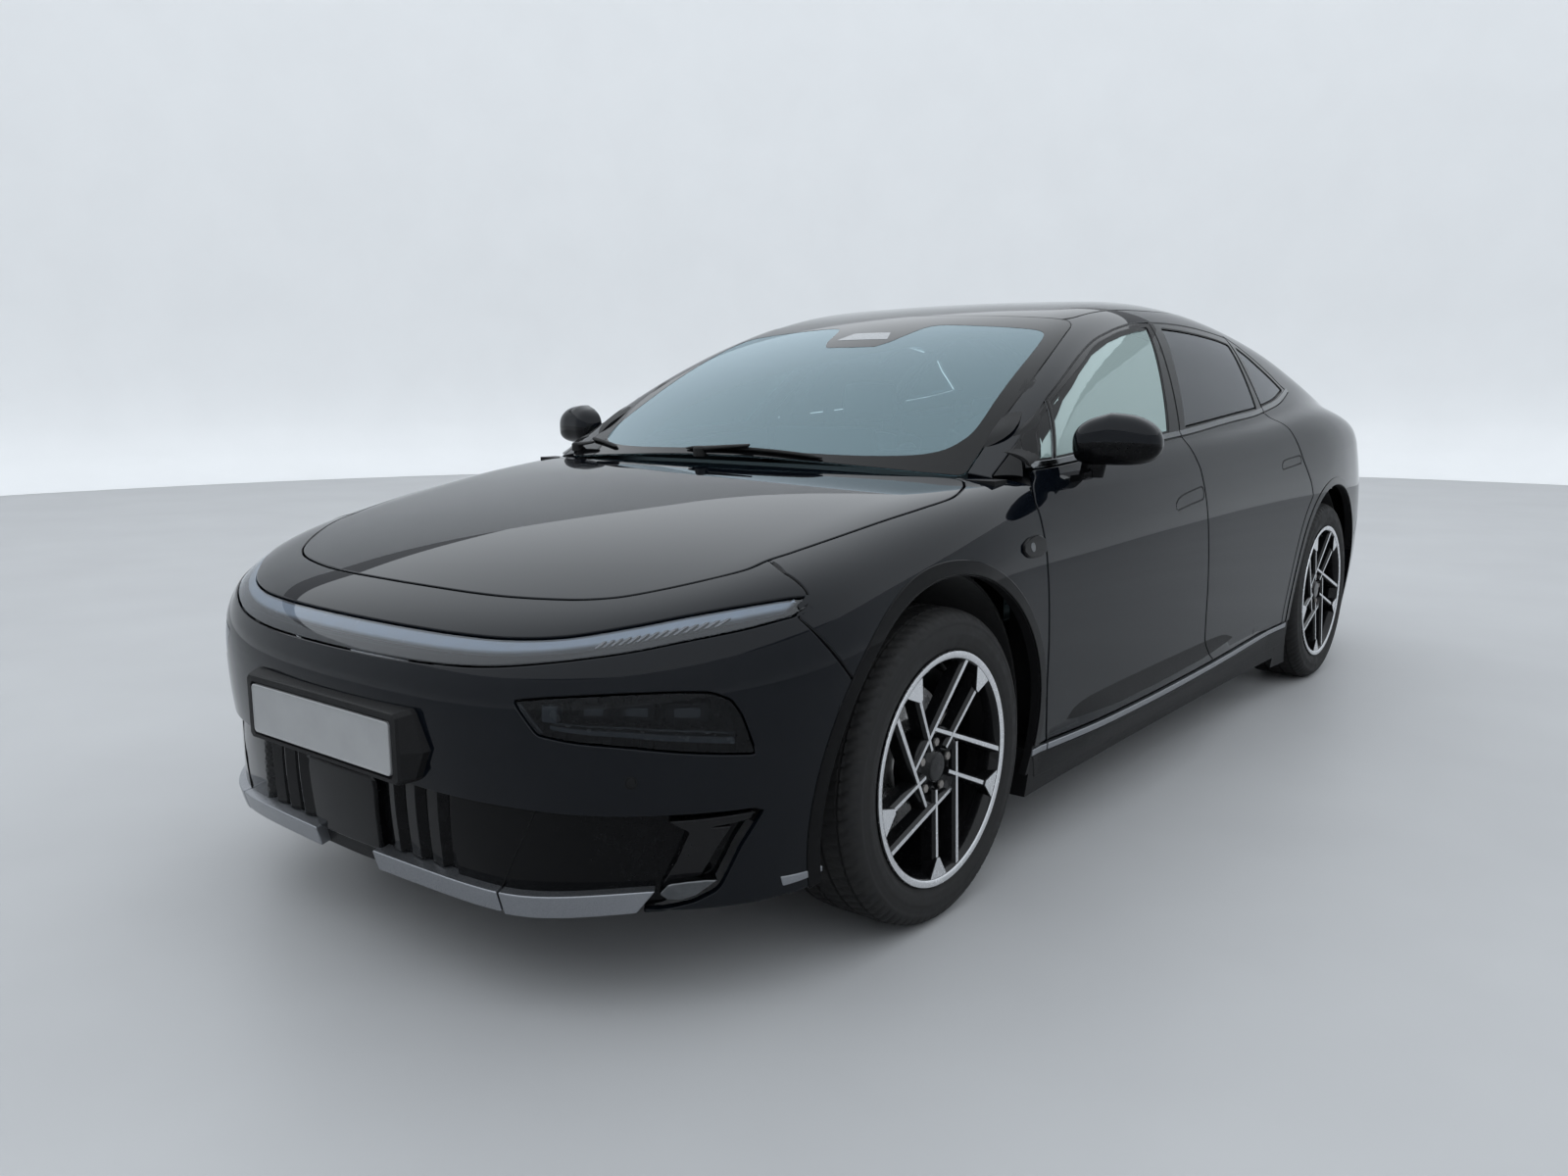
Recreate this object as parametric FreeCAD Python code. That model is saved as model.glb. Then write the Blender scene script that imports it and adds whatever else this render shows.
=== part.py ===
import FreeCAD, Part
import os, math

# Five-door fastback saloon, full size, millimetres.
# +X is the car's left, -Y its front, +Z up, origin on the ground under the middle.

# ---------------------------------------------------------------- driving dimensions
WHEELBASE = 3000.0
FRONT_Y = -1564.0                 # front axle
REAR_Y = FRONT_Y + WHEELBASE      # rear axle
WHEEL_R = 364.0                   # 245/45 R20
TYRE_W = 245.0
WHEEL_OUT = 945.0                 # outer sidewall plane
WHEEL_IN = WHEEL_OUT - TYRE_W
BEAD_R = 254.0
FLANGE_R = 268.0
KINGPIN_X = 760.0
ARCH_R = 440.0
LINER_R = 444.0
NOSE_Y = -2543.0                  # plate face, the front-most point
TAIL_Y = 2543.0
HALF_GAP = 4.0                    # half of a shut gap beside a moving panel
SKIN = 25.0                       # fender, quarter and bumper walls
PILLAR_T = 45.0                   # roof rail and pillars
FRAME_T = 35.0                    # door frame round the glass
DOOR_IN = 845.0                   # inner face of the door below the belt
ROOF_T = 30.0
LID_T = 30.0
GATE_T = 35.0
GLASS_T = 6.0
FLOOR_Z = 255.0
DOOR_Z = 306.0
SILL_Z0, SILL_Z1 = 170.0, 298.0
HINGE_X = 935.0                   # door hinge axes, close under the skin
FRONT_HINGE_Y = -1035.0
REAR_HINGE_Y = 85.0
PLATE_W, PLATE_H = 520.0, 110.0

V = FreeCAD.Vector
os.makedirs("parts", exist_ok=True)


# ---------------------------------------------------------------- smooth functions
class Spl:
    """Natural cubic through points given in metres, straight outside, used in mm."""
    def __init__(self, pts, sx=1000.0, sy=1000.0):
        x = [p[0] * sx for p in pts]
        y = [p[1] * sy for p in pts]
        n = len(x)
        h = [x[i + 1] - x[i] for i in range(n - 1)]
        m = [0.0] * n
        if n > 2:
            a = [0.0] * n
            b = [1.0] * n
            c = [0.0] * n
            d = [0.0] * n
            for i in range(1, n - 1):
                a[i] = h[i - 1]
                b[i] = 2 * (h[i - 1] + h[i])
                c[i] = h[i]
                d[i] = 6 * ((y[i + 1] - y[i]) / h[i] - (y[i] - y[i - 1]) / h[i - 1])
            for i in range(1, n):
                w = a[i] / b[i - 1]
                b[i] -= w * c[i - 1]
                d[i] -= w * d[i - 1]
            m[n - 1] = d[n - 1] / b[n - 1]
            for i in range(n - 2, -1, -1):
                m[i] = (d[i] - c[i] * m[i + 1]) / b[i]
        self.x, self.y, self.m, self.h = x, y, m, h
        self.s0 = (y[1] - y[0]) / h[0] - h[0] * m[1] / 6
        self.s1 = (y[-1] - y[-2]) / h[-1] + h[-1] * m[-2] / 6

    def __call__(self, t):
        x, y, m = self.x, self.y, self.m
        if t <= x[0]:
            return y[0] + self.s0 * (t - x[0])
        if t >= x[-1]:
            return y[-1] + self.s1 * (t - x[-1])
        i = 0
        while x[i + 1] < t:
            i += 1
        h = self.h[i]
        a = (x[i + 1] - t) / h
        b = (t - x[i]) / h
        return a * y[i] + b * y[i + 1] + ((a ** 3 - a) * m[i] + (b ** 3 - b) * m[i + 1]) * h * h / 6


def smax(a, b, k):
    h = 1 - abs(a - b) / k
    if h <= 0:
        return a if a > b else b
    return max(a, b) + h * h * h * k / 6


# lower body: half width by length and height
W0 = Spl([(-2.7, .860), (-2.3, .925), (-2.0, .952), (-1.7, .962), (-1.45, .965), (-1.1, .957), (-.6, .950), (0, .949),
          (.6, .952), (1.05, .961), (1.436, .966), (1.75, .950), (2.1, .910), (2.4, .862), (2.7, .80)])
SLOW = Spl([(.10, -.055), (.20, -.040), (.30, -.026), (.40, -.013), (.50, -.004), (.60, 0), (.70, 0), (.80, 0)])
SUP = Spl([(-.60, 0), (-.45, 0), (-.35, -.001), (-.25, -.006), (-.16, -.017), (-.09, -.032), (-.04, -.049), (0, -.068),
           (.05, -.105), (.12, -.17)])
ZS = Spl([(-2.6, .92), (-2.1, .955), (-1.6, .985), (-1.1, 1.005), (-.6, 1.03), (0, 1.062), (.7, 1.10), (1.3, 1.12),
          (1.8, 1.10), (2.2, 1.055), (2.6, .99)])
# bonnet and deck height on the centre line, and their crown
H0 = Spl([(-2.75, .56), (-2.60, .655), (-2.45, .736), (-2.25, .815), (-2.0, .883), (-1.7, .941), (-1.4, .985),
          (-1.1, 1.010), (-.6, 1.03), (0, 1.06), (.7, 1.09), (1.3, 1.115), (1.9, 1.12), (2.3, 1.105), (2.6, 1.10)])
CR = Spl([(-2.6, .07), (-2.2, .05), (-1.7, .04), (-1.2, .036), (-.5, .02), (1., .02), (1.8, .05), (2.2, .14),
          (2.6, .20)], 1000.0, .001)
# nose and tail faces on the centre line by height
Y0F = Spl([(.12, -2.415), (.18, -2.440), (.26, -2.465), (.36, -2.490), (.48, -2.508), (.58, -2.513), (.68, -2.513),
           (.76, -2.505), (.9, -2.48)])
Y0R = Spl([(.15, 2.40), (.25, 2.47), (.40, 2.520), (.55, 2.5375), (.66, 2.5427), (.76, 2.533), (.86, 2.503), (.94, 2.486),
           (1.0, 2.492), (1.06, 2.514), (1.12, 2.535), (1.2, 2.55)])
K12 = Spl([(-2.6, .16), (-2.2, .22), (-1.7, .24), (-1.2, .16), (-.8, .10), (.5, .10), (1.3, .14), (1.8, .14),
           (2.2, .08), (2.6, .05)])
# cabin above the belt
WB = Spl([(-1.6, .815), (-1.1, .862), (-.6, .875), (0, .880), (.6, .876), (1.1, .855), (1.5, .82), (1.9, .765),
          (2.3, .69), (2.6, .63)])
HC = Spl([(-1.75, .76), (-1.45, .915), (-1.2, 1.048), (-.9, 1.212), (-.6, 1.345), (-.35, 1.428), (-.1, 1.481),
          (.2, 1.507), (.5, 1.511), (.8, 1.492), (1.15, 1.438), (1.5, 1.362), (1.85, 1.265), (2.15, 1.175),
          (2.4, 1.10), (2.7, 1.02)])
CWY = Spl([(-1.8, .20), (-1.0, .19), (-.4, .13), (.0, .06), (.4, 0), (1.0, -.04), (1.6, -.10), (2.4, -.12)],
          1000.0, .001)
KG = Spl([(-1.5, .07), (-.9, .09), (-.3, .14), (.5, .22), (1.5, .16), (2.4, .10)])


# height of the crease low on the doors, below which the wall turns outwards
ZC = Spl([(-1.07, .309), (-.92, .335), (-.766, .354), (-.60, .362), (-.462, .365), (-.234, .364), (.086, .355),
          (.338, .341), (.60, .320), (.75, .308), (.9, .300)])


def kick(y, z):
    a = .62 * (ZC(y) - DOOR_Z)
    if a <= 0 or y < -1075 or z < 190 or z > 400:
        return 0.0
    if z > 262:
        return a * min(max((ZC(y) - z) / (ZC(y) - DOOR_Z), 0.0), 1.0)
    return a * (z - 190) / 72.0


def FLB(x, y, z):
    """Below 0 inside the lower body."""
    x = abs(x)
    f1 = x - (W0(y) + SLOW(z) + SUP(z - ZS(y)) + kick(y, z))
    f3 = Y0F(z) + .145e-3 * x * x + .31e-9 * x ** 4 - y
    f4 = y - (Y0R(z) - .16e-3 * x * x - .22e-9 * x ** 4)
    f2 = z - (H0(y) - CR(y) * x * x)
    return smax(smax(smax(f1, f3, 340.0), f4, 420.0), f2, K12(y))


def WG(y, z):
    d = max(z - 1030.0, -80.0)
    return WB(y) - .42 * d - .42e-3 * d * abs(d)


def FGH(x, y, z):
    """Below 0 inside the cabin."""
    x = abs(x)
    return smax(x - WG(y, z), z - (HC(y - CWY(y) * x * x) - .040e-3 * x * x), KG(y))


def FALL(x, y, z):
    if y < -1600:
        return FLB(x, y, z)
    g = FGH(x, y, z)
    if y > 1800:
        g = max(g, y - (Y0R(z) - .16e-3 * x * x - .22e-9 * x ** 4))
    return min(FLB(x, y, z), g)


# ---------------------------------------------------------------- building blocks
def root(f, a, b):
    """Outermost crossing of f on [a, b], negative inside."""
    n = 24
    hi = b
    for i in range(1, n + 1):
        r = b - (b - a) * i / n
        if f(r) < 0:
            a = r
            break
        hi = r
    lo = a
    for _ in range(26):
        m = (lo + hi) / 2
        if f(m) < 0:
            lo = m
        else:
            hi = m
    return (lo + hi) / 2


def fan(F, ox, oy, ux, uy, rc, zc, a0, a1, n, t, rmax=1500.0):
    """Outer and inner points of a vertical section, by angle about (rc, zc)."""
    out, inn = [], []
    for i in range(n):
        a = math.radians(a0 + (a1 - a0) * i / (n - 1))
        ca, sa = math.cos(a), math.sin(a)
        def P(r):
            return (ox + ux * (rc + r * ca), oy + uy * (rc + r * ca), zc + r * sa)
        r = root(lambda q: F(*P(q)), 0.0, rmax)
        out.append(V(*P(r)))
        inn.append(V(*P(r - t)))
    return out, inn


def curve(pts):
    c = Part.BSplineCurve()
    c.interpolate(Points=pts, Parameters=[float(i) for i in range(len(pts))])
    return c.toShape()


def ring(out, inn):
    """Closed section wire between an outer and an inner curve."""
    return Part.Wire([curve(out), Part.makeLine(out[-1], inn[-1]), curve(inn[::-1]), Part.makeLine(inn[0], out[0])])


def block(out, pts):
    """Closed section wire of an outer curve and straight inner lines."""
    e = [curve(out)]
    q = [out[-1]] + pts + [out[0]]
    for a, b in zip(q, q[1:]):
        e.append(Part.makeLine(a, b))
    return Part.Wire(e)


def loft(wires):
    s = Part.makeLoft(wires, True, False)
    if s.Volume < 0:
        s.reverse()
    return s


def face(pts):
    return Part.Face(Part.makePolygon(pts + [pts[0]]))


def prism_x(poly, x0, x1):
    return face([V(x0, p[0], p[1]) for p in poly]).extrude(V(x1 - x0, 0, 0))


def prism_y(poly, y0, y1):
    return face([V(p[0], y0, p[1]) for p in poly]).extrude(V(0, y1 - y0, 0))


def prism_z(poly, z0, z1):
    return face([V(p[0], p[1], z0) for p in poly]).extrude(V(0, 0, z1 - z0))


def area2(p):
    return sum(p[i][0] * p[(i + 1) % len(p)][1] - p[(i + 1) % len(p)][0] * p[i][1] for i in range(len(p)))


def inset(poly, d):
    """Polygon moved inwards by d, outwards if d is negative."""
    p = list(poly)
    if area2(p) < 0:
        p = p[::-1]
    out = []
    n = len(p)
    for i in range(n):
        a, b, c = p[i - 1], p[i], p[(i + 1) % n]
        u = (b[0] - a[0], b[1] - a[1])
        v = (c[0] - b[0], c[1] - b[1])
        lu = math.hypot(*u)
        lv = math.hypot(*v)
        nu = (-u[1] / lu, u[0] / lu)
        nv = (-v[1] / lv, v[0] / lv)
        k = 1 + nu[0] * nv[0] + nu[1] * nv[1]
        k = max(k, .35)
        out.append((b[0] + (nu[0] + nv[0]) * d / k, b[1] + (nu[1] + nv[1]) * d / k))
    return out


def mm(poly):
    return [(p[0] * 1000.0, p[1] * 1000.0) for p in poly]


def sym(poly):
    """Close a half outline (x from 0 to 0) by its mirror image."""
    return poly + [(-p[0], p[1]) for p in poly[::-1] if abs(p[0]) > 1e-6]


def box(x0, x1, y0, y1, z0, z1):
    return Part.makeBox(x1 - x0, y1 - y0, z1 - z0, V(x0, y0, z0))


def cyl_x(r, x0, x1, y, z):
    return Part.makeCylinder(r, x1 - x0, V(x0, y, z), V(1, 0, 0))


def rod(a, b, r):
    a, b = V(*a), V(*b)
    return Part.makeCylinder(r, (b - a).Length, a, b - a)


def bar(a, b, w, h):
    """Rectangular bar between two points, w along the horizontal normal."""
    a, b = V(*a), V(*b)
    d = b - a
    L = d.Length
    d = d.normalize()
    side = d.cross(V(0, 0, 1)).normalize()
    up = side.cross(d).normalize()
    q = [a + side * (sx * w / 2) + up * (sz * h / 2) for sx, sz in ((-1, -1), (1, -1), (1, 1), (-1, 1))]
    return face(q).extrude(d * L)


def mirror(s):
    return s.mirror(V(0, 0, 0), V(1, 0, 0))


def big(s):
    """The largest solid of a boolean result."""
    return max(s.Solids, key=lambda q: q.Volume)


def fuse(lst):
    s = lst[0]
    if len(lst) > 1:
        s = s.multiFuse(lst[1:])
    return s


NODES = {}


def put(name, shape, solids=None):
    if solids:
        q = sorted(shape.Solids, key=lambda q: -q.Volume)[:solids]
        shape = Part.makeCompound(q) if len(q) > 1 else q[0]
    else:
        q = [k for k in shape.Solids if k.Volume > 500.0]
        shape = Part.makeCompound(q) if len(q) > 1 else q[0]
    NODES[name] = shape
    bb = shape.optimalBoundingBox(False, False)
    print("%-24s solids %d valid %s vol %.4f  x %.0f..%.0f y %.0f..%.0f z %.0f..%.0f" % (
        name, len(shape.Solids), shape.isValid(), shape.Volume / 1e9, bb.XMin, bb.XMax, bb.YMin, bb.YMax, bb.ZMin, bb.ZMax))


def pair(name, left, solids=None):
    put(name, Part.makeCompound([left, mirror(left)]), solids)


# ---------------------------------------------------------------- outlines (metres, turned to mm)
# doors in side view (y, z)
B_SHUT = [(.127, .306), (.094, .357), (.060, .46), (.044, .563), (.032, .693), (.020, .80), (.006, .88), (-.015, .95),
          (-.040, 1.01), (-.052, 1.062), (.213, 1.430)]
FRONT_DOOR = mm([(-1.048, .306), (-1.066, .36), (-1.093, .464), (-1.105, .594), (-1.109, .719), (-1.112, .82),
                 (-1.118, .88), (-1.116, .93), (-1.09, .965), (-1.05, .992), (-1.046, 1.052), (-.95, 1.107),
                 (-.75, 1.209), (-.58, 1.279), (-.42, 1.339), (-.25, 1.378), (-.11, 1.402), (.05, 1.421)]
                + [(.213, 1.430)] + B_SHUT[-2::-1])
ARC = [(REAR_Y / 1000 - .52 * math.cos(math.radians(t)), .364 + .52 * math.sin(math.radians(t)))
       for t in (54, 44, 34, 24, 14, 4, -1)]
REAR_DOOR = mm(B_SHUT + [(.42, 1.431), (.62, 1.424), (.80, 1.409), (.945, 1.392), (.895, 1.262), (.843, 1.128),
                         (.89, 1.094), (.93, 1.055), (.953, 1.015), (.985, .97), (1.018, .924), (1.06, .88),
                         (1.10, .837)] + ARC + [(.920, .32), (.925, .306)])
FRONT_WIN = mm([(-1.005, 1.030), (-.93, 1.075), (-.74, 1.175), (-.58, 1.243), (-.42, 1.302), (-.25, 1.343),
                (-.11, 1.367), (.02, 1.384), (.140, 1.393), (-.138, 1.072), (-.5, 1.055), (-.93, 1.033)])
REAR_WIN = mm([(.015, 1.079), (.28, 1.402), (.45, 1.398), (.62, 1.389), (.78, 1.376), (.90, 1.360), (.802, 1.124),
               (.5, 1.108)])
QUARTER_WIN = mm([(.978, 1.350), (1.05, 1.318), (1.119, 1.281), (1.22, 1.232), (1.31, 1.185), (1.10, 1.152),
                  (.880, 1.131)])
# plan outlines (x, y)
BONNET = sym(mm([(0, -1.262), (.20, -1.258), (.40, -1.246), (.55, -1.228), (.66, -1.208), (.725, -1.196),
                 (.765, -1.212), (.80, -1.27), (.828, -1.37), (.822, -1.49), (.805, -1.627), (.784, -1.784),
                 (.762, -1.90), (.746, -1.955), (.735, -2.02), (.671, -2.121), (.591, -2.205), (.52, -2.245),
                 (.435, -2.271), (.33, -2.292), (.224, -2.303), (.11, -2.308), (0, -2.310)]))
WINDSCREEN = sym(mm([(0, -1.248), (.20, -1.242), (.40, -1.226), (.60, -1.194), (.722, -1.165), (.735, -1.150),
                     (.716, -.999), (.69, -.79), (.653, -.548), (.605, -.345), (.585, -.315), (.40, -.308),
                     (.20, -.304), (0, -.303)]))
ROOF = sym(mm([(0, -.296), (.20, -.297), (.40, -.301), (.575, -.307), (.593, -.25), (.590, 0), (.575, .40),
               (.545, .70), (.515, .90), (.49, .937), (.40, .941), (0, .941)]))
TAILGATE = sym(mm([(0, .949), (.40, .949), (.49, .956), (.525, 1.02), (.56, 1.20), (.59, 1.40), (.615, 1.60),
                   (.645, 1.80), (.675, 2.00), (.70, 2.15), (.715, 2.30), (.72, 2.45), (.72, 2.65), (0, 2.65)]))
REAR_WINDOW = sym(mm([(0, 1.05), (.42, 1.05), (.47, 1.09), (.52, 1.40), (.555, 1.70), (.585, 1.95), (.56, 2.05),
                      (.40, 2.10), (0, 2.12)]))
# front view outlines (x, z)
LIGHT_BAR = sym(mm([(0, .737), (.172, .737), (.314, .7375), (.45, .7405), (.57, .7515), (.68, .774), (.745, .790),
                    (.805, .803), (.86, .8125), (.883, .812), (.893, .800), (.885, .783), (.846, .769), (.781, .753),
                    (.704, .734), (.575, .711), (.458, .695), (.340, .687), (.200, .684), (0, .683)]))
HEADLAMP = mm([(.528, .639), (.596, .650), (.725, .662), (.827, .661), (.855, .645), (.867, .613), (.880, .536),
               (.804, .550), (.726, .563), (.633, .571), (.576, .580)])
GRILLE = sym(mm([(0, .433), (.197, .433), (.312, .428), (.504, .424), (.654, .422), (.797, .424), (.878, .417),
                 (.855, .336), (.820, .276), (.775, .2700), (.722, .2695), (.457, .2695), (.246, .2695), (0, .2695)]))
SPLITTER = sym(mm([(0, .268), (.246, .268), (.457, .268), (.738, .268), (.708, .229), (.60, .227), (.45, .228), (0, .228)]))
LIP = Spl([(0, .032), (.30, .037), (.42, .045), (.52, .046), (.62, .027), (.72, .006), (.80, .0), (.95, 0)])   # how far the lip stands forward

# ---------------------------------------------------------------- blanks
NA = 13


def side_secs(ys, a0, a1, t, zc=650.0, rc=500.0, F=FLB, n=NA):
    return [ring(*fan(F, 0, y, 1, 0, rc, zc, a0, a1, n, t)) for y in ys]


def steps(a, b, n):
    return [a + (b - a) * i / (n - 1) for i in range(n)]


arch_f = cyl_x(ARCH_R, 600, 1100, FRONT_Y, WHEEL_R)
arch_r = cyl_x(ARCH_R, 600, 1100, REAR_Y, WHEEL_R)

cabin_shell = loft([ring(*fan(FGH, 0, y, 1, 0, 350.0, 850.0, 13.0, 80.0, 12, PILLAR_T)) for y in
                    steps(-1230.0, 2050.0, 19)])
quarter_shell = loft(side_secs(steps(905.0, 2100.0, 9), -52.0, 64.0, SKIN))
fender_shell = loft(side_secs(steps(-2075.0, -1085.0, 9), -52.0, 62.0, SKIN))


def door_blank(y0, y1, n):
    w = []
    for y in steps(y0, y1, n):
        o, _ = fan(FLB, 0, y, 1, 0, 500.0, 650.0, -41.0, 51.0, 20, 10.0)
        top = o[-1]
        w.append(block(o, [V(top.x, y, top.z - 25.0), V(DOOR_IN, y, 900.0), V(DOOR_IN, y, o[0].z)]))
    return loft(w)


def frame_blank(t, y0, y1, n, lift=0.0):
    def F(x, y, z):
        return FGH(x, y, z) + lift
    return loft([ring(*fan(F, 0, y, 1, 0, 350.0, 850.0, 18.0, 72.0, 11, t)) for y in steps(y0, y1, n)])


# ---------------------------------------------------------------- doors
def door(outline, window, y0, y1, n):
    cut = prism_x(inset(outline, HALF_GAP), 500, 1100)
    lower = door_blank(y0, y1, n).common(cut)
    frame = frame_blank(FRAME_T, y0, y1, n).common(cut)
    d = big(lower).fuse(big(frame))
    d = d.cut(prism_x(window, 500, 1100))
    glass = frame_blank(GLASS_T, y0, y1, n, 3.0).common(prism_x(inset(window, 1.0), 500, 1100))
    return big(d), big(glass)


fd, fg = door(FRONT_DOOR, FRONT_WIN, -1150.0, 240.0, 10)
rd, rg = door(REAR_DOOR, REAR_WIN, -90.0, 1170.0, 10)
for side, f in (("left", lambda s: s), ("right", mirror)):
    put("front_door_" + side, f(fd))
    put("front_door_glass_" + side, f(fg))
    put("rear_door_" + side, f(rd))
    put("rear_door_glass_" + side, f(rg))

# mirrors: arm from the belt and a head, on the front doors
head = Part.makeSphere(1.0)
m = FreeCAD.Matrix()
m.scale(V(118.0, 62.0, 64.0))
head = head.transformGeometry(m)
m = FreeCAD.Matrix()
m.rotateZ(math.radians(14))
m.move(V(1012.0, -855.0, 1072.0))
head = head.transformGeometry(m)
head = head.common(box(880, 1135, -960, -842, 1010, 1140))
arm = loft([Part.makePolygon([V(x, -905 + q, z - h), V(x, -835 + q, z - h), V(x, -835 + q, z + h), V(x, -905 + q, z + h),
                              V(x, -905 + q, z - h)]) for x, q, z, h in ((905.0, 0, 975.0, 9.0), (945.0, -5, 985.0, 9.0))])
post = bar((925, -880, 984), (965, -880, 1030), 40, 34)
mir = big(fuse([head, arm, post])).cut(fd)
for side, f in (("left", lambda s: s), ("right", mirror)):
    put("mirror_" + side, f(big(mir)))

# ---------------------------------------------------------------- body sides
hole_f = prism_x(inset(FRONT_DOOR, -HALF_GAP), 560, 1100)
hole_r = prism_x(inset(REAR_DOOR, -HALF_GAP), 560, 1100)
screen_hole = prism_z(inset(WINDSCREEN, -3.0), 900, 1600)
roof_hole = prism_z(inset(ROOF, -3.0), 1300, 1600)
gate_hole = prism_z(inset(TAILGATE, -HALF_GAP), 600, 1600)

pillars = cabin_shell.cut(fuse([hole_f, hole_r]))
pillars = pillars.cut(screen_hole).cut(roof_hole).cut(gate_hole)
pillars = big(pillars)
quarter = quarter_shell.cut(hole_r).cut(gate_hole).cut(arch_r)
REAR_SHUT = mm([(1.84, .30), (1.86, .52), (1.95, .60), (2.05, .66), (2.20, .70), (2.70, .715)])
quarter = quarter.cut(prism_x(REAR_SHUT + [(2700.0, 100.0), (1800.0, 100.0)], 500, 1100))
quarter = big(quarter)
# keep the flange above the belt inside the cabin short
sill = loft([block(fan(FLB, 0, y, 1, 0, 500.0, 650.0, -52.0, -38.0, 9, 10.0)[0], [V(790.0, y, SILL_Z1 + 8), V(790.0, y, SILL_Z0 - 8)])
             for y in steps(-1125.0, 995.0, 11)])
sill = sill.common(box(780, 1000, -1125, 995, SILL_Z0, SILL_Z1))
sill = sill.cut(arch_f).cut(arch_r)
upstand = box(765, 800, -1100, 930, SILL_Z0 + 20, 340)
a_post = box(740, 788, -1105, -1030, 200, 935).fuse(box(740, 788, -1200, -1030, 860, 935)).fuse(
    box(740, 845, -1200, -1137, 930, 985))


def rect(x0, x1, y0, y1, z):
    return Part.makePolygon([V(x0, y0, z), V(x1, y0, z), V(x1, y1, z), V(x0, y1, z), V(x0, y0, z)])


b_post = fuse([Part.makeLoft([rect(*p), rect(*q)], True, True) for p, q in (
    ((755, 812, -40, 80, 200), (755, 812, -40, 80, 850)),
    ((755, 812, -40, 80, 850), (690, 748, -90, 30, 1010)),
    ((690, 748, -90, 30, 1010), (688, 742, -60, 60, 1100)),
    ((688, 742, -60, 60, 1100), (520, 578, 150, 270, 1448)))])
room = frame_blank(FRAME_T + 9, 60.0, 330.0, 5).common(prism_x(mm([(.04, 1.15), (.30, 1.15), (.30, 1.4365), (.04, 1.4365)]), 500, 660))
b_post = b_post.cut(room)
c_post = Part.makeLoft([rect(770, 812, 935, 990, 200), rect(770, 812, 935, 990, 460)], True, True)
body = fuse([pillars, quarter, sill, upstand, a_post, b_post, c_post])
body = body.cut(prism_z(inset(ROOF, -3.0), 1360, 1600))
pads = fuse([box(800, 860, y - 30, y + 30, SILL_Z0 - 20, SILL_Z0 + 30) for y in (-850, 800)])
body = body.fuse(pads)
body = big(body.cut(hole_f.common(box(830, 1100, -1300, 400, 280, 1100))).cut(hole_r.common(box(830, 1100, -200, 1300, 280, 1100))))
put("body_side_left", body)
put("body_side_right", mirror(body))
qg = loft([ring(*fan(lambda x, y, z: FGH(x, y, z) + 3.0, 0, y, 1, 0, 350.0, 850.0, 18.0, 72.0, 9, GLASS_T)) for y in
           steps(840.0, 1350.0, 6)]).common(prism_x(inset(QUARTER_WIN, 1.0), 500, 1100))
body_cut = prism_x(QUARTER_WIN, 500, 1100)
for s in ("left", "right"):
    NODES["body_side_" + s] = big(NODES["body_side_" + s].cut(body_cut if s == "left" else mirror(body_cut)))
pair("quarter_glass", big(qg), 2)

# ---------------------------------------------------------------- bonnet, fenders, nose
bonnet_blank = loft([ring(*fan(FLB, x, -1750.0, 0, -1, 0.0, 400.0, 33.0, 140.0, 16, LID_T)) for x in
                     steps(-850.0, 850.0, 15)])
bonnet = big(bonnet_blank.common(prism_z(inset(BONNET, HALF_GAP), 700, 1100)))
put("bonnet", bonnet)
bonnet_hole = prism_z(inset(BONNET, -HALF_GAP), 700, 1100)
FRONT_SHUT = mm([(-1.88, .30), (-1.90, .55), (-1.927, .631), (-1.946, .654), (-2.006, .731), (-2.043, .777),
                 (-1.994, .816), (-1.982, .851), (-1.955, .87), (-1.955, 1.1)])
fender_side = prism_x([(p[0] + 2.0, p[1]) for p in FRONT_SHUT] +
                      [(-1000.0, 1100.0), (-1046.0 - 8, 1100.0)] +
                      [(p[0] - 2 * HALF_GAP, p[1]) for p in FRONT_DOOR[9::-1]] + [(-1040.0, 235.0), (-1880.0, 235.0)],
                      600, 1100)
fender_plan = prism_z(mm([(.60, -2.15), (1.05, -2.15), (1.05, -.95), (.83, -.95), (.80, -1.12), (.72, -1.19),
                          (.60, -1.3)]), 100, 1200)
fender = big(fender_shell.common(fender_side).common(fender_plan).cut(bonnet_hole).cut(arch_f))
fender = big(fender.cut(cabin_shell).cut(body).cut(sill))
fender = big(fender.cut(prism_z(inset(WINDSCREEN, -3.0), 800, 1200)))
pair("front_fenders", fender)

NOSE_PH = [-66.0, -60.0, -53.0, -45.0, -36.0, -27.0, -18.0, -9.0, 0.0]
NOSE_PH = NOSE_PH + [-p for p in NOSE_PH[-2::-1]]


def nose(t, a0=-36.0, a1=52.0, lift=0.0, n=16):
    def F(x, y, z):
        return FLB(x, y, z) + (lift(x, z) if callable(lift) else lift)
    return loft([ring(*fan(F, 0, -1500.0, math.sin(math.radians(p)), -math.cos(math.radians(p)), 450.0, 480.0, a0, a1,
                           n, t)) for p in NOSE_PH])


def both(f):
    return fuse([f, mirror(f)])


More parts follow.
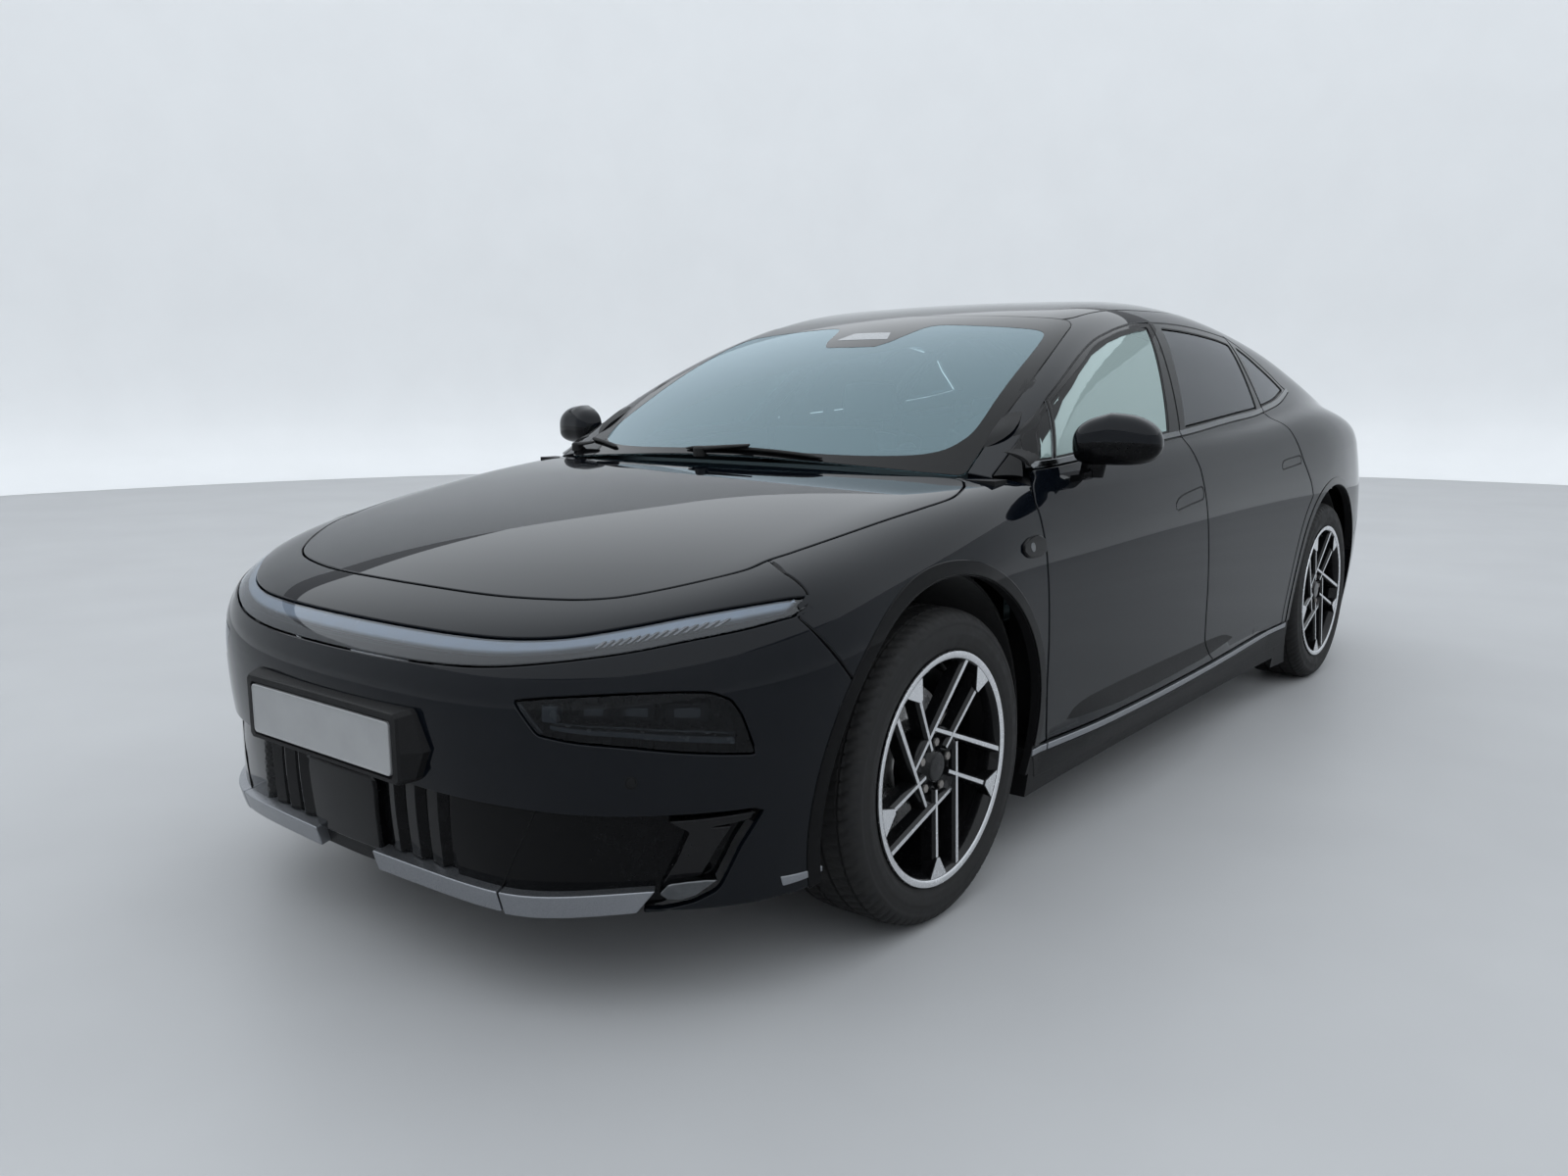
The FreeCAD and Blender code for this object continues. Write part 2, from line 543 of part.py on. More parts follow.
bumper_zone = prism_x([(p[0] - 2.0, p[1]) for p in FRONT_SHUT] + [(-2700.0, 1100.0), (-2700.0, 100.0), (-1850.0, 100.0)],
                      -1100, 1100)
arches_f = fuse([arch_f, mirror(arch_f)])
shell = nose(SKIN + 5.0)
shell = shell.common(bumper_zone).cut(bonnet_hole).cut(arches_f)
shell = shell.cut(box(-1100, 1100, -2700, -1700, 0, 214))
bumper = shell.cut(prism_y(inset(LIGHT_BAR, -1.5), -2700, -1900))
bumper = bumper.cut(both(prism_y(inset(HEADLAMP, -1.5), -2700, -1900)))
bumper = bumper.cut(prism_y(inset(GRILLE, -1.5), -2700, -1900))
bumper = bumper.cut(prism_y(sym(mm([(0, .280), (.246, .280), (.457, .280), (.747, .280), (.747, .215), (.74, .10), (0, .10)])),
                            -2700, -1900))
parts_b = sorted([q for q in bumper.Solids if q.Volume > 1e5], key=lambda q: q.CenterOfMass.z)
put("nose_panel", parts_b[-1])
bumper = parts_b[0]
# towing-eye socket: a boss behind the skin with a plain threaded-size bore
TOW_X, TOW_Z, TOW_R = -400.0, 480.0, 9.0
tow_y = root(lambda q: FLB(TOW_X, -q, TOW_Z), 1500.0, 2700.0)
boss = Part.makeCylinder(18.0, 60.0, V(TOW_X, -tow_y + 6.0, TOW_Z), V(0, 1, 0))
bumper = bumper.fuse(boss).cut(Part.makeCylinder(TOW_R, 80.0, V(TOW_X, -tow_y - 20.0, TOW_Z), V(0, 1, 0)))
put("front_bumper", bumper)
shell_t = nose(20.0, -36.0, 45.0, 1.5)
put("light_bar", shell_t.common(prism_y(LIGHT_BAR, -2700, -1925)).common(bumper_zone))
lampy = nose(45.0, -10.0, 35.0, 2.0, 10)
pair("headlamps", big(lampy.common(prism_y(HEADLAMP, -2700, -1925)).common(box(0, 1100, -2700, -1900, 0, 1000))), 2)
grille = nose(18.0, -36.0, 10.0, lambda x, z: 16.0 - LIP(abs(x)) * min(max((430.0 - z) / 160.0, 0.0), 1.0), 12).common(prism_y(GRILLE, -2700, -1900)).common(
    box(-1100, 1100, -2700, -2010, 0, 1000))
grille = grille.cut(cyl_x(LINER_R + 14, -1000, 1000, FRONT_Y, WHEEL_R))
put("lower_grille", grille, 1)
split = nose(42.0, -42.0, 0.0, lambda x, z: -LIP(abs(x)), 9).common(prism_y(SPLITTER, -2700, -2000))
put("front_splitter", split, 1)

# ---------------------------------------------------------------- roof, glass, cowl
def top_z(F, x, y, z0=700.0):
    return root(lambda z: F(x, y, z), z0, 1700.0)


def top_sec(F, y, hx, n, t):
    o = [V(x, y, top_z(F, x, y)) for x in steps(-hx, hx, n)]
    return ring(o, [V(p.x, p.y, p.z - t) for p in o])


roof = loft([top_sec(FGH, y, 615.0, 11, ROOF_T) for y in steps(-330.0, 960.0, 8)])
put("roof_panel", roof.common(prism_z(ROOF, 1200, 1600)), 1)
screen = loft([top_sec(FGH, y, 750.0, 15, 14.0) for y in steps(-1262.0, -290.0, 10)])
put("windscreen", screen.common(prism_z(WINDSCREEN, 850, 1600)).cut(hole_f).cut(mirror(hole_f)), 1)
cowl = prism_z(sym(mm([(0, -1.250), (.40, -1.234), (.66, -1.196), (.70, -1.186), (.70, -1.12), (0, -1.12)])), 930, 968)
put("cowl_panel", cowl)

# ---------------------------------------------------------------- tail
TAIL_PH = [-72.0, -64.0, -55.0, -45.0, -35.0, -26.0, -17.0, -8.5, 0.0]
TAIL_PH = TAIL_PH + [-p for p in TAIL_PH[-2::-1]]


def tail(t, a0=-46.0, a1=52.0, lift=0.0, n=14):
    def F(x, y, z):
        return FLB(x, y, z) + lift
    return loft([ring(*fan(F, 0, 1450.0, math.sin(math.radians(p)), math.cos(math.radians(p)), 450.0, 600.0, a0, a1,
                           n, t)) for p in TAIL_PH])


tshell = tail(SKIN + 5.0)
low_zone = prism_x([(p[0], p[1] - 2.0) for p in REAR_SHUT] + [(2700.0, 100.0), (1800.0, 100.0)], -1100, 1100)
arches_r = fuse([arch_r, mirror(arch_r)])
rbumper = tshell.common(low_zone).cut(arches_r).cut(box(-1100, 1100, 1500, 2700, 0, 175))
rbumper = rbumper.cut(box(-728, 728, 2200, 2700, 712, 1000))
rbumper = rbumper.cut(box(-285, 285, 2505, 2700, 430, 570))
put("rear_bumper", rbumper, 1)
shut_low = prism_x([(p[0], p[1] + 2.0) for p in REAR_SHUT] + [(2700.0, 100.0), (1800.0, 100.0)], -1100, 1100)
corner = tshell.common(box(300, 1100, 2104, 2700, 600, 1200)).cut(shut_low).cut(gate_hole)
LAMP = mm([(.60, .895), (.60, .985), (.90, .972), (.95, .935), (.90, .90)])
lamp_prism = prism_y(LAMP, 2180, 2700)
corner_l = big(corner.cut(prism_y(inset(LAMP, -1.5), 2178, 2700)))
pair("rear_corner_panels", corner_l, 2)
lamp = tail(24.0, 10.0, 45.0, 1.0, 8).common(lamp_prism).common(box(0, 1100, 2180, 2700, 600, 1200)).cut(
    prism_z(inset(TAILGATE, -HALF_GAP), 600, 1600))
pair("rear_corner_lamps", big(lamp), 2)

gate_blank = loft([ring(*fan(FALL, x, 1500.0, 0, 1, 0.0, 600.0, 4.5, 124.0, 24, GATE_T)) for x in
                   steps(-740.0, 740.0, 15)])
gate = gate_blank.common(prism_z(inset(TAILGATE, HALF_GAP), 600, 1600)).cut(box(-1100, 1100, 1500, 2700, 0, 720))
gate = gate.cut(prism_z(REAR_WINDOW, 1000, 1700))
GLAMP = mm([(-.73, .905), (-.73, .975), (.73, .975), (.73, .905)])
gate = big(gate)


def lamp_band(lift, t, poly):
    w = [ring(*fan(lambda a, b, c: FALL(a, b, c) + lift, x, 1500.0, 0, 1, 0.0, 600.0, 12.0, 26.0, 8, t)) for x in
         steps(-740.0, 740.0, 13)]
    return loft(w).common(prism_y(poly, 2200, 2700))


gate = big(gate.cut(lamp_band(-6.0, 22.0, inset(GLAMP, -1.5))))
put("tailgate", gate)
put("tail_lamp_bar", lamp_band(1.0, 13.0, GLAMP).common(prism_z(inset(TAILGATE, HALF_GAP + 1.0), 600, 1600)), 1)
rw = loft([ring(*fan(lambda a, b, c: FALL(a, b, c) + 3.0, x, 1500.0, 0, 1, 0.0, 600.0, 30.0, 124.0, 16, GLASS_T)) for x in
           steps(-620.0, 620.0, 11)])
put("rear_window", rw.common(prism_z(inset(REAR_WINDOW, 1.0), 900, 1700)), 1)

# plates: a deep holder box with the bare plate at the front, a bare plate in the tail recess
front_plate = box(-PLATE_W / 2, PLATE_W / 2, NOSE_Y, NOSE_Y + 7, 462, 462 + PLATE_H)
holder = box(-282, 282, NOSE_Y + 4, NOSE_Y + 34, 448, 590).cut(box(-262, 262, NOSE_Y, NOSE_Y + 7, 460, 574))
rear_plate = box(-PLATE_W / 2, PLATE_W / 2, 2512, 2518, 445, 445 + PLATE_H)
ph = holder.fuse(front_plate)
put("number_plates", Part.makeCompound([big(ph), rear_plate]), 2)
bumper = NODES["front_bumper"].cut(box(-284, 284, NOSE_Y - 10, NOSE_Y + 36, 446, 592))
put("front_bumper", bumper, 1)

# ---------------------------------------------------------------- floor and running gear
floor = box(-785, 785, -1100, 1000, FLOOR_Z, FLOOR_Z + 25)
firewall = box(-735, 735, -1105, -1080, FLOOR_Z, 925)
heel = box(-755, 755, 975, 1000, FLOOR_Z, 500)
boot = box(-520, 520, 975, 2400, 475, 500)
toe = box(-520, 520, 2375, 2400, 475, 690)
floor = fuse([floor, firewall, heel, boot, toe])
sides = [NODES["body_side_left"], NODES["body_side_right"]]
floor = floor.cut(sides[0]).cut(sides[1])
put("floor_pan", floor, 1)
put("battery_pack", box(-640, 640, -1000, 900, 152, 250))

arm_l = bar((330, FRONT_Y - 60, 205), (735, FRONT_Y, 172), 60, 24)
arm_r = bar((330, FRONT_Y + 200, 205), (735, FRONT_Y, 172), 45, 24)
joint = Part.makeCylinder(24, 30, V(KINGPIN_X, FRONT_Y, 156))
lower = fuse([arm_l, arm_r, joint])
strut = fuse([rod((590, FRONT_Y, 200), (585, FRONT_Y, 600), 22), rod((587, FRONT_Y, 500), (582, FRONT_Y, 800), 40)])
mem = fuse([box(-340, 340, FRONT_Y - 130, FRONT_Y - 20, 180, 240), box(-340, 340, FRONT_Y + 150, FRONT_Y + 260, 180, 240),
            box(270, 340, FRONT_Y - 130, FRONT_Y + 260, 180, 240), box(-340, -270, FRONT_Y - 130, FRONT_Y + 260, 180, 240),
            box(300, 345, -2340, FRONT_Y - 100, 215, 300), box(-345, -300, -2340, FRONT_Y - 100, 215, 300),
            box(-415, 415, -2345, -2300, 245, 330),
            box(300, 345, FRONT_Y + 200, -1106, 215, 255), box(-345, -300, FRONT_Y + 200, -1106, 215, 255)])
put("front_subframe", fuse([mem, lower, mirror(lower), strut, mirror(strut)]))

rmem = fuse([box(-420, 420, REAR_Y - 230, REAR_Y - 160, 200, 260), box(-420, 420, REAR_Y + 190, REAR_Y + 260, 200, 260),
             box(350, 420, REAR_Y - 230, REAR_Y + 260, 200, 260), box(-420, -350, REAR_Y - 230, REAR_Y + 260, 200, 260),
             box(350, 420, 1001, REAR_Y - 200, 255, 300), box(-420, -350, 1001, REAR_Y - 200, 255, 300)])
rarm = fuse([bar((400, REAR_Y - 195, 225), (720, REAR_Y - 40, 215), 50, 26), bar((400, REAR_Y + 225, 225), (720, REAR_Y + 40, 215), 50, 26),
             box(690, 730, REAR_Y - 70, REAR_Y + 70, 200, 470), cyl_x(62, 700, 770, REAR_Y, WHEEL_R)])
rcal = box(779, 845, REAR_Y + 110, REAR_Y + 165, 290, 440).cut(box(795, 833, REAR_Y + 60, REAR_Y + 150, 280, 450)).fuse(
    box(700, 790, REAR_Y + 60, REAR_Y + 165, 330, 400).cut(box(779, 845, REAR_Y + 50, REAR_Y + 108, 290, 440)))
rst = fuse([rod((600, REAR_Y + 60, 225), (590, REAR_Y + 60, 640), 22), rod((594, REAR_Y + 60, 430), (590, REAR_Y + 60, 620), 42)])
rst = rst.cut(box(400, 800, REAR_Y - 200, REAR_Y + 300, 640, 800))
rlink = bar((585, REAR_Y + 60, 225), (700, REAR_Y + 60, 225), 40, 26)
rear_side = fuse([rarm, rst, rlink])
put("rear_subframe", fuse([rmem, rear_side, mirror(rear_side)]))
unit = box(-230, 230, REAR_Y - 155, REAR_Y + 185, 205, 465)
put("rear_drive_unit", fuse([unit, rod((-688, REAR_Y, WHEEL_R), (688, REAR_Y, WHEEL_R), 20)]))


def liner(y, x0, wall):
    c = Part.makeCylinder(LINER_R + 8, 880 - x0, V(x0, y, WHEEL_R), V(1, 0, 0)).cut(
        Part.makeCylinder(LINER_R, 880 - x0 - wall, V(x0 + wall, y, WHEEL_R), V(1, 0, 0)))
    return c


lf = liner(FRONT_Y, 480, 8).cut(box(400, 900, FRONT_Y - 600, FRONT_Y + 600, -200, 330))
lf = lf.cut(box(470, 500, FRONT_Y - 150, FRONT_Y + 260, 100, 560))
lf = big(lf.cut(NODES["body_side_left"]).cut(NODES["floor_pan"]))
lr = liner(REAR_Y, 640, 8).cut(box(500, 900, REAR_Y - 600, REAR_Y + 600, -200, 330))
lr = lr.cut(box(630, 660, REAR_Y - 260, REAR_Y + 260, 100, 640))
lr = big(lr.cut(NODES["body_side_left"]).cut(NODES["floor_pan"]))
put("wheel_arch_liners", Part.makeCompound([big(lf), mirror(big(lf)), big(lr), mirror(big(lr))]), 4)

deck = box(-690, 690, -2215, -1210, 735, 750)
deck = deck.cut(cyl_x(462, 470, 800, FRONT_Y, WHEEL_R)).cut(cyl_x(462, -800, -470, FRONT_Y, WHEEL_R))
tub = box(-360, 360, -2080, -1400, 450, 736)
deck = deck.fuse(tub).cut(box(-345, 345, -2065, -1415, 465, 900))
deck = deck.cut(box(400, 800, -2300, -1950, 700, 800).cut(prism_z(mm([(.40, -1.95), (.66, -1.95), (.40, -2.2)]), 690, 810)))
deck = deck.cut(box(-800, -400, -2300, -1950, 700, 800).cut(prism_z(mm([(-.40, -1.95), (-.66, -1.95), (-.40, -2.2)]), 690, 810)))
put("front_trunk", deck, 1)

# ---------------------------------------------------------------- cabin
dash = prism_x(mm([(-1.075, .70), (-1.075, .93), (-1.0, .985), (-.86, .975), (-.74, .93), (-.70, .86), (-.74, .74),
                   (-.86, .66)]), -715, 715)
dash = dash.cut(prism_x(mm([(-.80, .66), (-.76, .80), (-.60, .80), (-.60, .60)]), 180, 560))
console = prism_x(mm([(-.95, .281), (-.95, .70), (-.80, .70), (-.62, .56), (-.10, .56), (.12, .52), (.12, .281)]), -105, 105)
put("dashboard", dash.fuse(console))
COL_D = V(0, .906, .423)
HUB = V(370.0, -560.0, 845.0)
sw = Part.makeTorus(178.0, 15.0, V(0, 0, 0), V(0, 0, 1))
boss2 = Part.makeCylinder(62, 40, V(0, 0, -30))
spk = fuse([boss2, box(-178, 178, -22, 22, -14, 6), box(-20, 20, -178, 0, -14, 6)])
stalk = Part.makeCylinder(26, 130, V(0, 0, -160))
sw = fuse([sw, spk, stalk])
rot = FreeCAD.Rotation(V(0, 0, 1), COL_D)
sw.Placement = FreeCAD.Placement(HUB, rot)
put("steering_wheel", sw)
NODES["dashboard"] = big(NODES["dashboard"].cut(
    Part.makeCylinder(36, 260, HUB - COL_D * 260.0, COL_D)))


def seat(x):
    c = prism_x(mm([(-.62, .38), (-.63, .50), (-.55, .545), (-.10, .50), (-.06, .40), (-.10, .36)]), x - 255, x + 255)
    b = prism_x(mm([(-.13, .48), (-.20, .52), (-.02, 1.08), (.07, 1.08), (.12, 1.02), (-.02, .44)]), x - 250, x + 250)
    h = prism_x(mm([(-.03, 1.06), (-.015, 1.22), (.05, 1.24), (.09, 1.20), (.07, 1.06)]), x - 130, x + 130)
    base = box(x - 200, x + 200, -500, -150, FLOOR_Z + 25, 385)
    return fuse([c, b, h, base])


put("front_seats", Part.makeCompound([seat(370), seat(-370)]), 2)
rc = prism_x(mm([(.42, .30), (.40, .50), (.45, .545), (.86, .50), (.90, .30)]), -640, 640)
rb = prism_x(mm([(.83, .48), (.80, .52), (1.02, 1.06), (1.14, 1.06), (1.14, 1.0), (.96, .505), (.90, .48)]), -620, 620)
put("rear_bench", rc.fuse(rb.cut(box(-1000, 1000, 960, 1300, 200, 502))), 1)


# ---------------------------------------------------------------- wheels and knuckles
def rev(profile, y):
    """Revolve (x, r) points about the axle at y."""
    f = face([V(p[0], y, WHEEL_R + p[1]) for p in profile])
    return f.revolve(V(0, y, WHEEL_R), V(1, 0, 0), 360)


def tyre(y):
    a, b = WHEEL_IN, WHEEL_OUT
    return rev([(a + 14.5, 254.5), (a + 13.5, 272), (a + 3, 292), (a, 312), (a + 4, 338), (a + 16, 354), (a + 36, 362), (a + 70, WHEEL_R),
                (b - 70, WHEEL_R), (b - 36, 362), (b - 16, 354), (b - 4, 338), (b, 312), (b - 3, 292), (b - 13.5, 272), (b - 14.5, 254.5)], y)


def rim(y):
    a, b = WHEEL_IN, WHEEL_OUT
    barrel = rev([(a + 2, 238), (a + 2, FLANGE_R - 3), (a + 12, FLANGE_R - 3), (a + 13, 253.5), (a + 60, 246), (b - 60, 246),
                  (b - 13, 253.5), (b - 12, FLANGE_R), (b - 2, FLANGE_R), (b - 2, 244), (b - 20, 238)], y)
    hub = cyl_x(80, b - 75, b - 28, y, WHEEL_R)
    out = [barrel, hub]
    for i in range(5):
        for t0, r0, w0, t1, r1, w1 in ((-60.0, 105.0, 9.0, 39.0, 243.0, 11.0), (60.0, 55.0, 9.0, 60.0, 243.0, 18.0)):
            a0 = math.radians(180.0 - t0 - 72 * i)
            a1 = math.radians(180.0 - t1 - 72 * i)
            p = V(0, y + r0 * math.cos(a0), WHEEL_R + r0 * math.sin(a0))
            q = V(0, y + r1 * math.cos(a1), WHEEL_R + r1 * math.sin(a1))
            d = (q - p).normalize()
            n = V(0, -d.z, d.y)
            f = face([V(b - 42, 0, 0) + p + n * w0, V(b - 42, 0, 0) + p - n * w0, V(b - 42, 0, 0) + q - n * w1,
                      V(b - 42, 0, 0) + q + n * w1])
            out.append(f.extrude(V(32, 0, 0)))
    disc = cyl_x(178, 801, 827, y, WHEEL_R).fuse(cyl_x(80, 801, b - 74, y, WHEEL_R))
    return fuse(out + [disc])


wheels = {"front_left": (FRONT_Y, False), "front_right": (FRONT_Y, True), "rear_left": (REAR_Y, False),
          "rear_right": (REAR_Y, True)}
cache = {}
for name, (y, right) in wheels.items():
    if y not in cache:
        cache[y] = (tyre(y), rim(y))
    t, r = cache[y]
    put("tyre_" + name, mirror(t) if right else t)
    put("rim_" + name, mirror(r) if right else r)

hub = cyl_x(62, 720, 796, FRONT_Y, WHEEL_R)
up = box(735, 775, FRONT_Y - 30, FRONT_Y + 30, 194, 500)
steer = bar((745, FRONT_Y + 20, 330), (725, FRONT_Y + 150, 320), 30, 26)
cal = box(779, 845, FRONT_Y + 112, FRONT_Y + 200, 285, 445).cut(box(795, 833, FRONT_Y + 60, FRONT_Y + 186, 280, 450)).cut(
    cyl_x(186, 790, 850, FRONT_Y, WHEEL_R).cut(fuse([box(779, 795, FRONT_Y + 112, FRONT_Y + 200, 280, 450),
                                                      box(833, 845, FRONT_Y + 112, FRONT_Y + 200, 280, 450)])))
brk = box(745, 782, FRONT_Y + 20, FRONT_Y + 150, 335, 395)
kn = fuse([hub, up, steer, cal, brk])
kn = big(kn)
put("front_knuckle_left", kn)
put("front_knuckle_right", mirror(kn))

for name, s in NODES.items():
    s.exportStep("parts/%s.step" % name)
allb = FreeCAD.BoundBox()
for s in NODES.values():
    allb.add(s.optimalBoundingBox(False, False))
print("nodes", len(NODES), "box", [round(v, 1) for v in (allb.XMin, allb.XMax, allb.YMin, allb.YMax, allb.ZMin, allb.ZMax)])
print("tow eye", TOW_X, -tow_y, TOW_Z)
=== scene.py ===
import bpy
import math
import numpy as np
from mathutils import Vector, Matrix
from mathutils.geometry import delaunay_2d_cdt


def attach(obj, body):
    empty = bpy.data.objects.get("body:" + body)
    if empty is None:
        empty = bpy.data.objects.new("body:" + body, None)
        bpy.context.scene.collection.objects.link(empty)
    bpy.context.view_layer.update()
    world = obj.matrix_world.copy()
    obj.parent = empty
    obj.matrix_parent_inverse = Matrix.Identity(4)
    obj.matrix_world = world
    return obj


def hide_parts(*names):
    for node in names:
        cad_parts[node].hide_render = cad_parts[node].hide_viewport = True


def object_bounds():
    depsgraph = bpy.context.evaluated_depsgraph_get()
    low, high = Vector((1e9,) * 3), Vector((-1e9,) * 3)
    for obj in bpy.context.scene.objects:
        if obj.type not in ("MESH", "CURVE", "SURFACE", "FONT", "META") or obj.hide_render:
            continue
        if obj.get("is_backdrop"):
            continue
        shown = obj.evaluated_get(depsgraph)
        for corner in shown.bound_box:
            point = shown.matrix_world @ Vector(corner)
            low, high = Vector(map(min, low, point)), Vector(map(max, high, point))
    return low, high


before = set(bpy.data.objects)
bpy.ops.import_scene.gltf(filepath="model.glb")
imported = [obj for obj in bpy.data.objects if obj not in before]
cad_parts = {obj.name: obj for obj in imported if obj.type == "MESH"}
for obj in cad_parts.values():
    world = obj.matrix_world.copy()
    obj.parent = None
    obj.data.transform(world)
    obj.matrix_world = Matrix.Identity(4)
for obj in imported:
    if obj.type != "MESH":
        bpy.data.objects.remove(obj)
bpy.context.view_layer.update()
SC = bpy.context.scene
COL = SC.collection
RAD = math.radians

# =====================================================================================
# body surfaces, the same smooth functions as the model, in metres
# =====================================================================================


class Spl:
    """Natural cubic through points, straight outside."""
    def __init__(self, pts):
        x = np.array([p[0] for p in pts], float)
        y = np.array([p[1] for p in pts], float)
        n = len(x)
        h = np.diff(x)
        A = np.zeros((n, n))
        b = np.zeros(n)
        A[0, 0] = A[-1, -1] = 1
        for i in range(1, n - 1):
            A[i, i - 1] = h[i - 1]
            A[i, i] = 2 * (h[i - 1] + h[i])
            A[i, i + 1] = h[i]
            b[i] = 6 * ((y[i + 1] - y[i]) / h[i] - (y[i] - y[i - 1]) / h[i - 1])
        m = np.linalg.solve(A, b)
        self.x, self.y, self.m, self.h = x, y, m, h
        self.s0 = (y[1] - y[0]) / h[0] - h[0] * m[1] / 6
        self.s1 = (y[-1] - y[-2]) / h[-1] + h[-1] * m[-2] / 6

    def __call__(self, t):
        t = np.asarray(t, float)
        i = np.clip(np.searchsorted(self.x, t) - 1, 0, len(self.h) - 1)
        h = self.h[i]
        a = (self.x[i + 1] - t) / h
        b = (t - self.x[i]) / h
        v = a * self.y[i] + b * self.y[i + 1] + ((a ** 3 - a) * self.m[i] + (b ** 3 - b) * self.m[i + 1]) * h * h / 6
        v = np.where(t < self.x[0], self.y[0] + self.s0 * (t - self.x[0]), v)
        return np.where(t > self.x[-1], self.y[-1] + self.s1 * (t - self.x[-1]), v)


def smax(a, b, k):
    h = np.clip(1 - np.abs(a - b) / k, 0, None)
    return np.maximum(a, b) + h * h * h * k / 6


W0 = Spl([(-2.7, .860), (-2.3, .925), (-2.0, .952), (-1.7, .962), (-1.45, .965), (-1.1, .957), (-.6, .950), (0, .949),
          (.6, .952), (1.05, .961), (1.436, .966), (1.75, .950), (2.1, .910), (2.4, .862), (2.7, .80)])
SLOW = Spl([(.10, -.055), (.20, -.040), (.30, -.026), (.40, -.013), (.50, -.004), (.60, 0), (.70, 0), (.80, 0)])
SUP = Spl([(-.60, 0), (-.45, 0), (-.35, -.001), (-.25, -.006), (-.16, -.017), (-.09, -.032), (-.04, -.049), (0, -.068),
           (.05, -.105), (.12, -.17)])
ZS = Spl([(-2.6, .92), (-2.1, .955), (-1.6, .985), (-1.1, 1.005), (-.6, 1.03), (0, 1.062), (.7, 1.10), (1.3, 1.12),
          (1.8, 1.10), (2.2, 1.055), (2.6, .99)])
H0 = Spl([(-2.75, .56), (-2.60, .655), (-2.45, .736), (-2.25, .815), (-2.0, .883), (-1.7, .941), (-1.4, .985),
          (-1.1, 1.010), (-.6, 1.03), (0, 1.06), (.7, 1.09), (1.3, 1.115), (1.9, 1.12), (2.3, 1.105), (2.6, 1.10)])
CR = Spl([(-2.6, .07), (-2.2, .05), (-1.7, .04), (-1.2, .036), (-.5, .02), (1., .02), (1.8, .05), (2.2, .14),
          (2.6, .20)])
Y0F = Spl([(.12, -2.415), (.18, -2.440), (.26, -2.465), (.36, -2.490), (.48, -2.508), (.58, -2.513), (.68, -2.513),
           (.76, -2.505), (.9, -2.48)])
Y0R = Spl([(.15, 2.40), (.25, 2.47), (.40, 2.520), (.55, 2.5375), (.66, 2.5427), (.76, 2.533), (.86, 2.503), (.94, 2.486),
           (1.0, 2.492), (1.06, 2.514), (1.12, 2.535), (1.2, 2.55)])
K12 = Spl([(-2.6, .16), (-2.2, .22), (-1.7, .24), (-1.2, .16), (-.8, .10), (.5, .10), (1.3, .14), (1.8, .14),
           (2.2, .08), (2.6, .05)])
WB = Spl([(-1.6, .815), (-1.1, .862), (-.6, .875), (0, .880), (.6, .876), (1.1, .855), (1.5, .82), (1.9, .765),
          (2.3, .69), (2.6, .63)])
HC = Spl([(-1.75, .76), (-1.45, .915), (-1.2, 1.048), (-.9, 1.212), (-.6, 1.345), (-.35, 1.428), (-.1, 1.481),
          (.2, 1.507), (.5, 1.511), (.8, 1.492), (1.15, 1.438), (1.5, 1.362), (1.85, 1.265), (2.15, 1.175),
          (2.4, 1.10), (2.7, 1.02)])
CWY = Spl([(-1.8, .20), (-1.0, .19), (-.4, .13), (.0, .06), (.4, 0), (1.0, -.04), (1.6, -.10), (2.4, -.12)])
KG = Spl([(-1.5, .07), (-.9, .09), (-.3, .14), (.5, .22), (1.5, .16), (2.4, .10)])
ZC = Spl([(-1.07, .309), (-.92, .335), (-.766, .354), (-.60, .362), (-.462, .365), (-.234, .364), (.086, .355),
          (.338, .341), (.60, .320), (.75, .308), (.9, .300)])
DOOR_Z = .306


def kick(y, z):
    a = np.clip(.62 * (ZC(y) - DOOR_Z), 0, None)
    a = np.where(y < -1.075, 0, a)
    up = np.clip((ZC(y) - z) / np.maximum(ZC(y) - DOOR_Z, 1e-4), 0, 1)
    dn = np.clip((z - .190) / .072, 0, 1)
    return a * np.where(z > .262, up, dn)


def FLB(x, y, z):
    x = np.abs(x)
    f1 = x - (W0(y) + SLOW(z) + SUP(z - ZS(y)) + kick(y, z))
    f3 = Y0F(z) + .145 * x * x + .31 * x ** 4 - y
    f4 = y - (Y0R(z) - .16 * x * x - .22 * x ** 4)
    f2 = z - (H0(y) - CR(y) * x * x)
    return smax(smax(smax(f1, f3, .34), f4, .42), f2, K12(y))


def FGH(x, y, z):
    x = np.abs(x)
    d = np.maximum(z - 1.03, -.08)
    wg = WB(y) - .42 * d - .42 * d * np.abs(d)
    return smax(x - wg, z - (HC(y - CWY(y) * x * x) - .040 * x * x), KG(y))


KU = Spl([(-1.3, .012), (-1.0, .03), (-.2, .035), (.7, .035), (1.0, .06), (1.4, .14), (1.8, .20), (2.2, .20), (2.6, .16)])


def FV(x, y, z):
    """Lower body and cabin with a rounded valley between them."""
    a = FLB(x, y, z)
    g = FGH(x, y, z)
    g = np.where(y > 1.8, np.maximum(g, y - (Y0R(z) - .16 * x * x - .22 * x ** 4)), g)
    return -smax(-a, -g, np.clip(KU(y), .01, None))


def grad(F, P, h=.0006):
    x, y, z = P[:, 0], P[:, 1], P[:, 2]
    g = np.stack([F(x + h, y, z) - F(x - h, y, z), F(x, y + h, z) - F(x, y - h, z), F(x, y, z + h) - F(x, y, z - h)], 1)
    return g / np.maximum(np.linalg.norm(g, axis=1, keepdims=True), 1e-9)


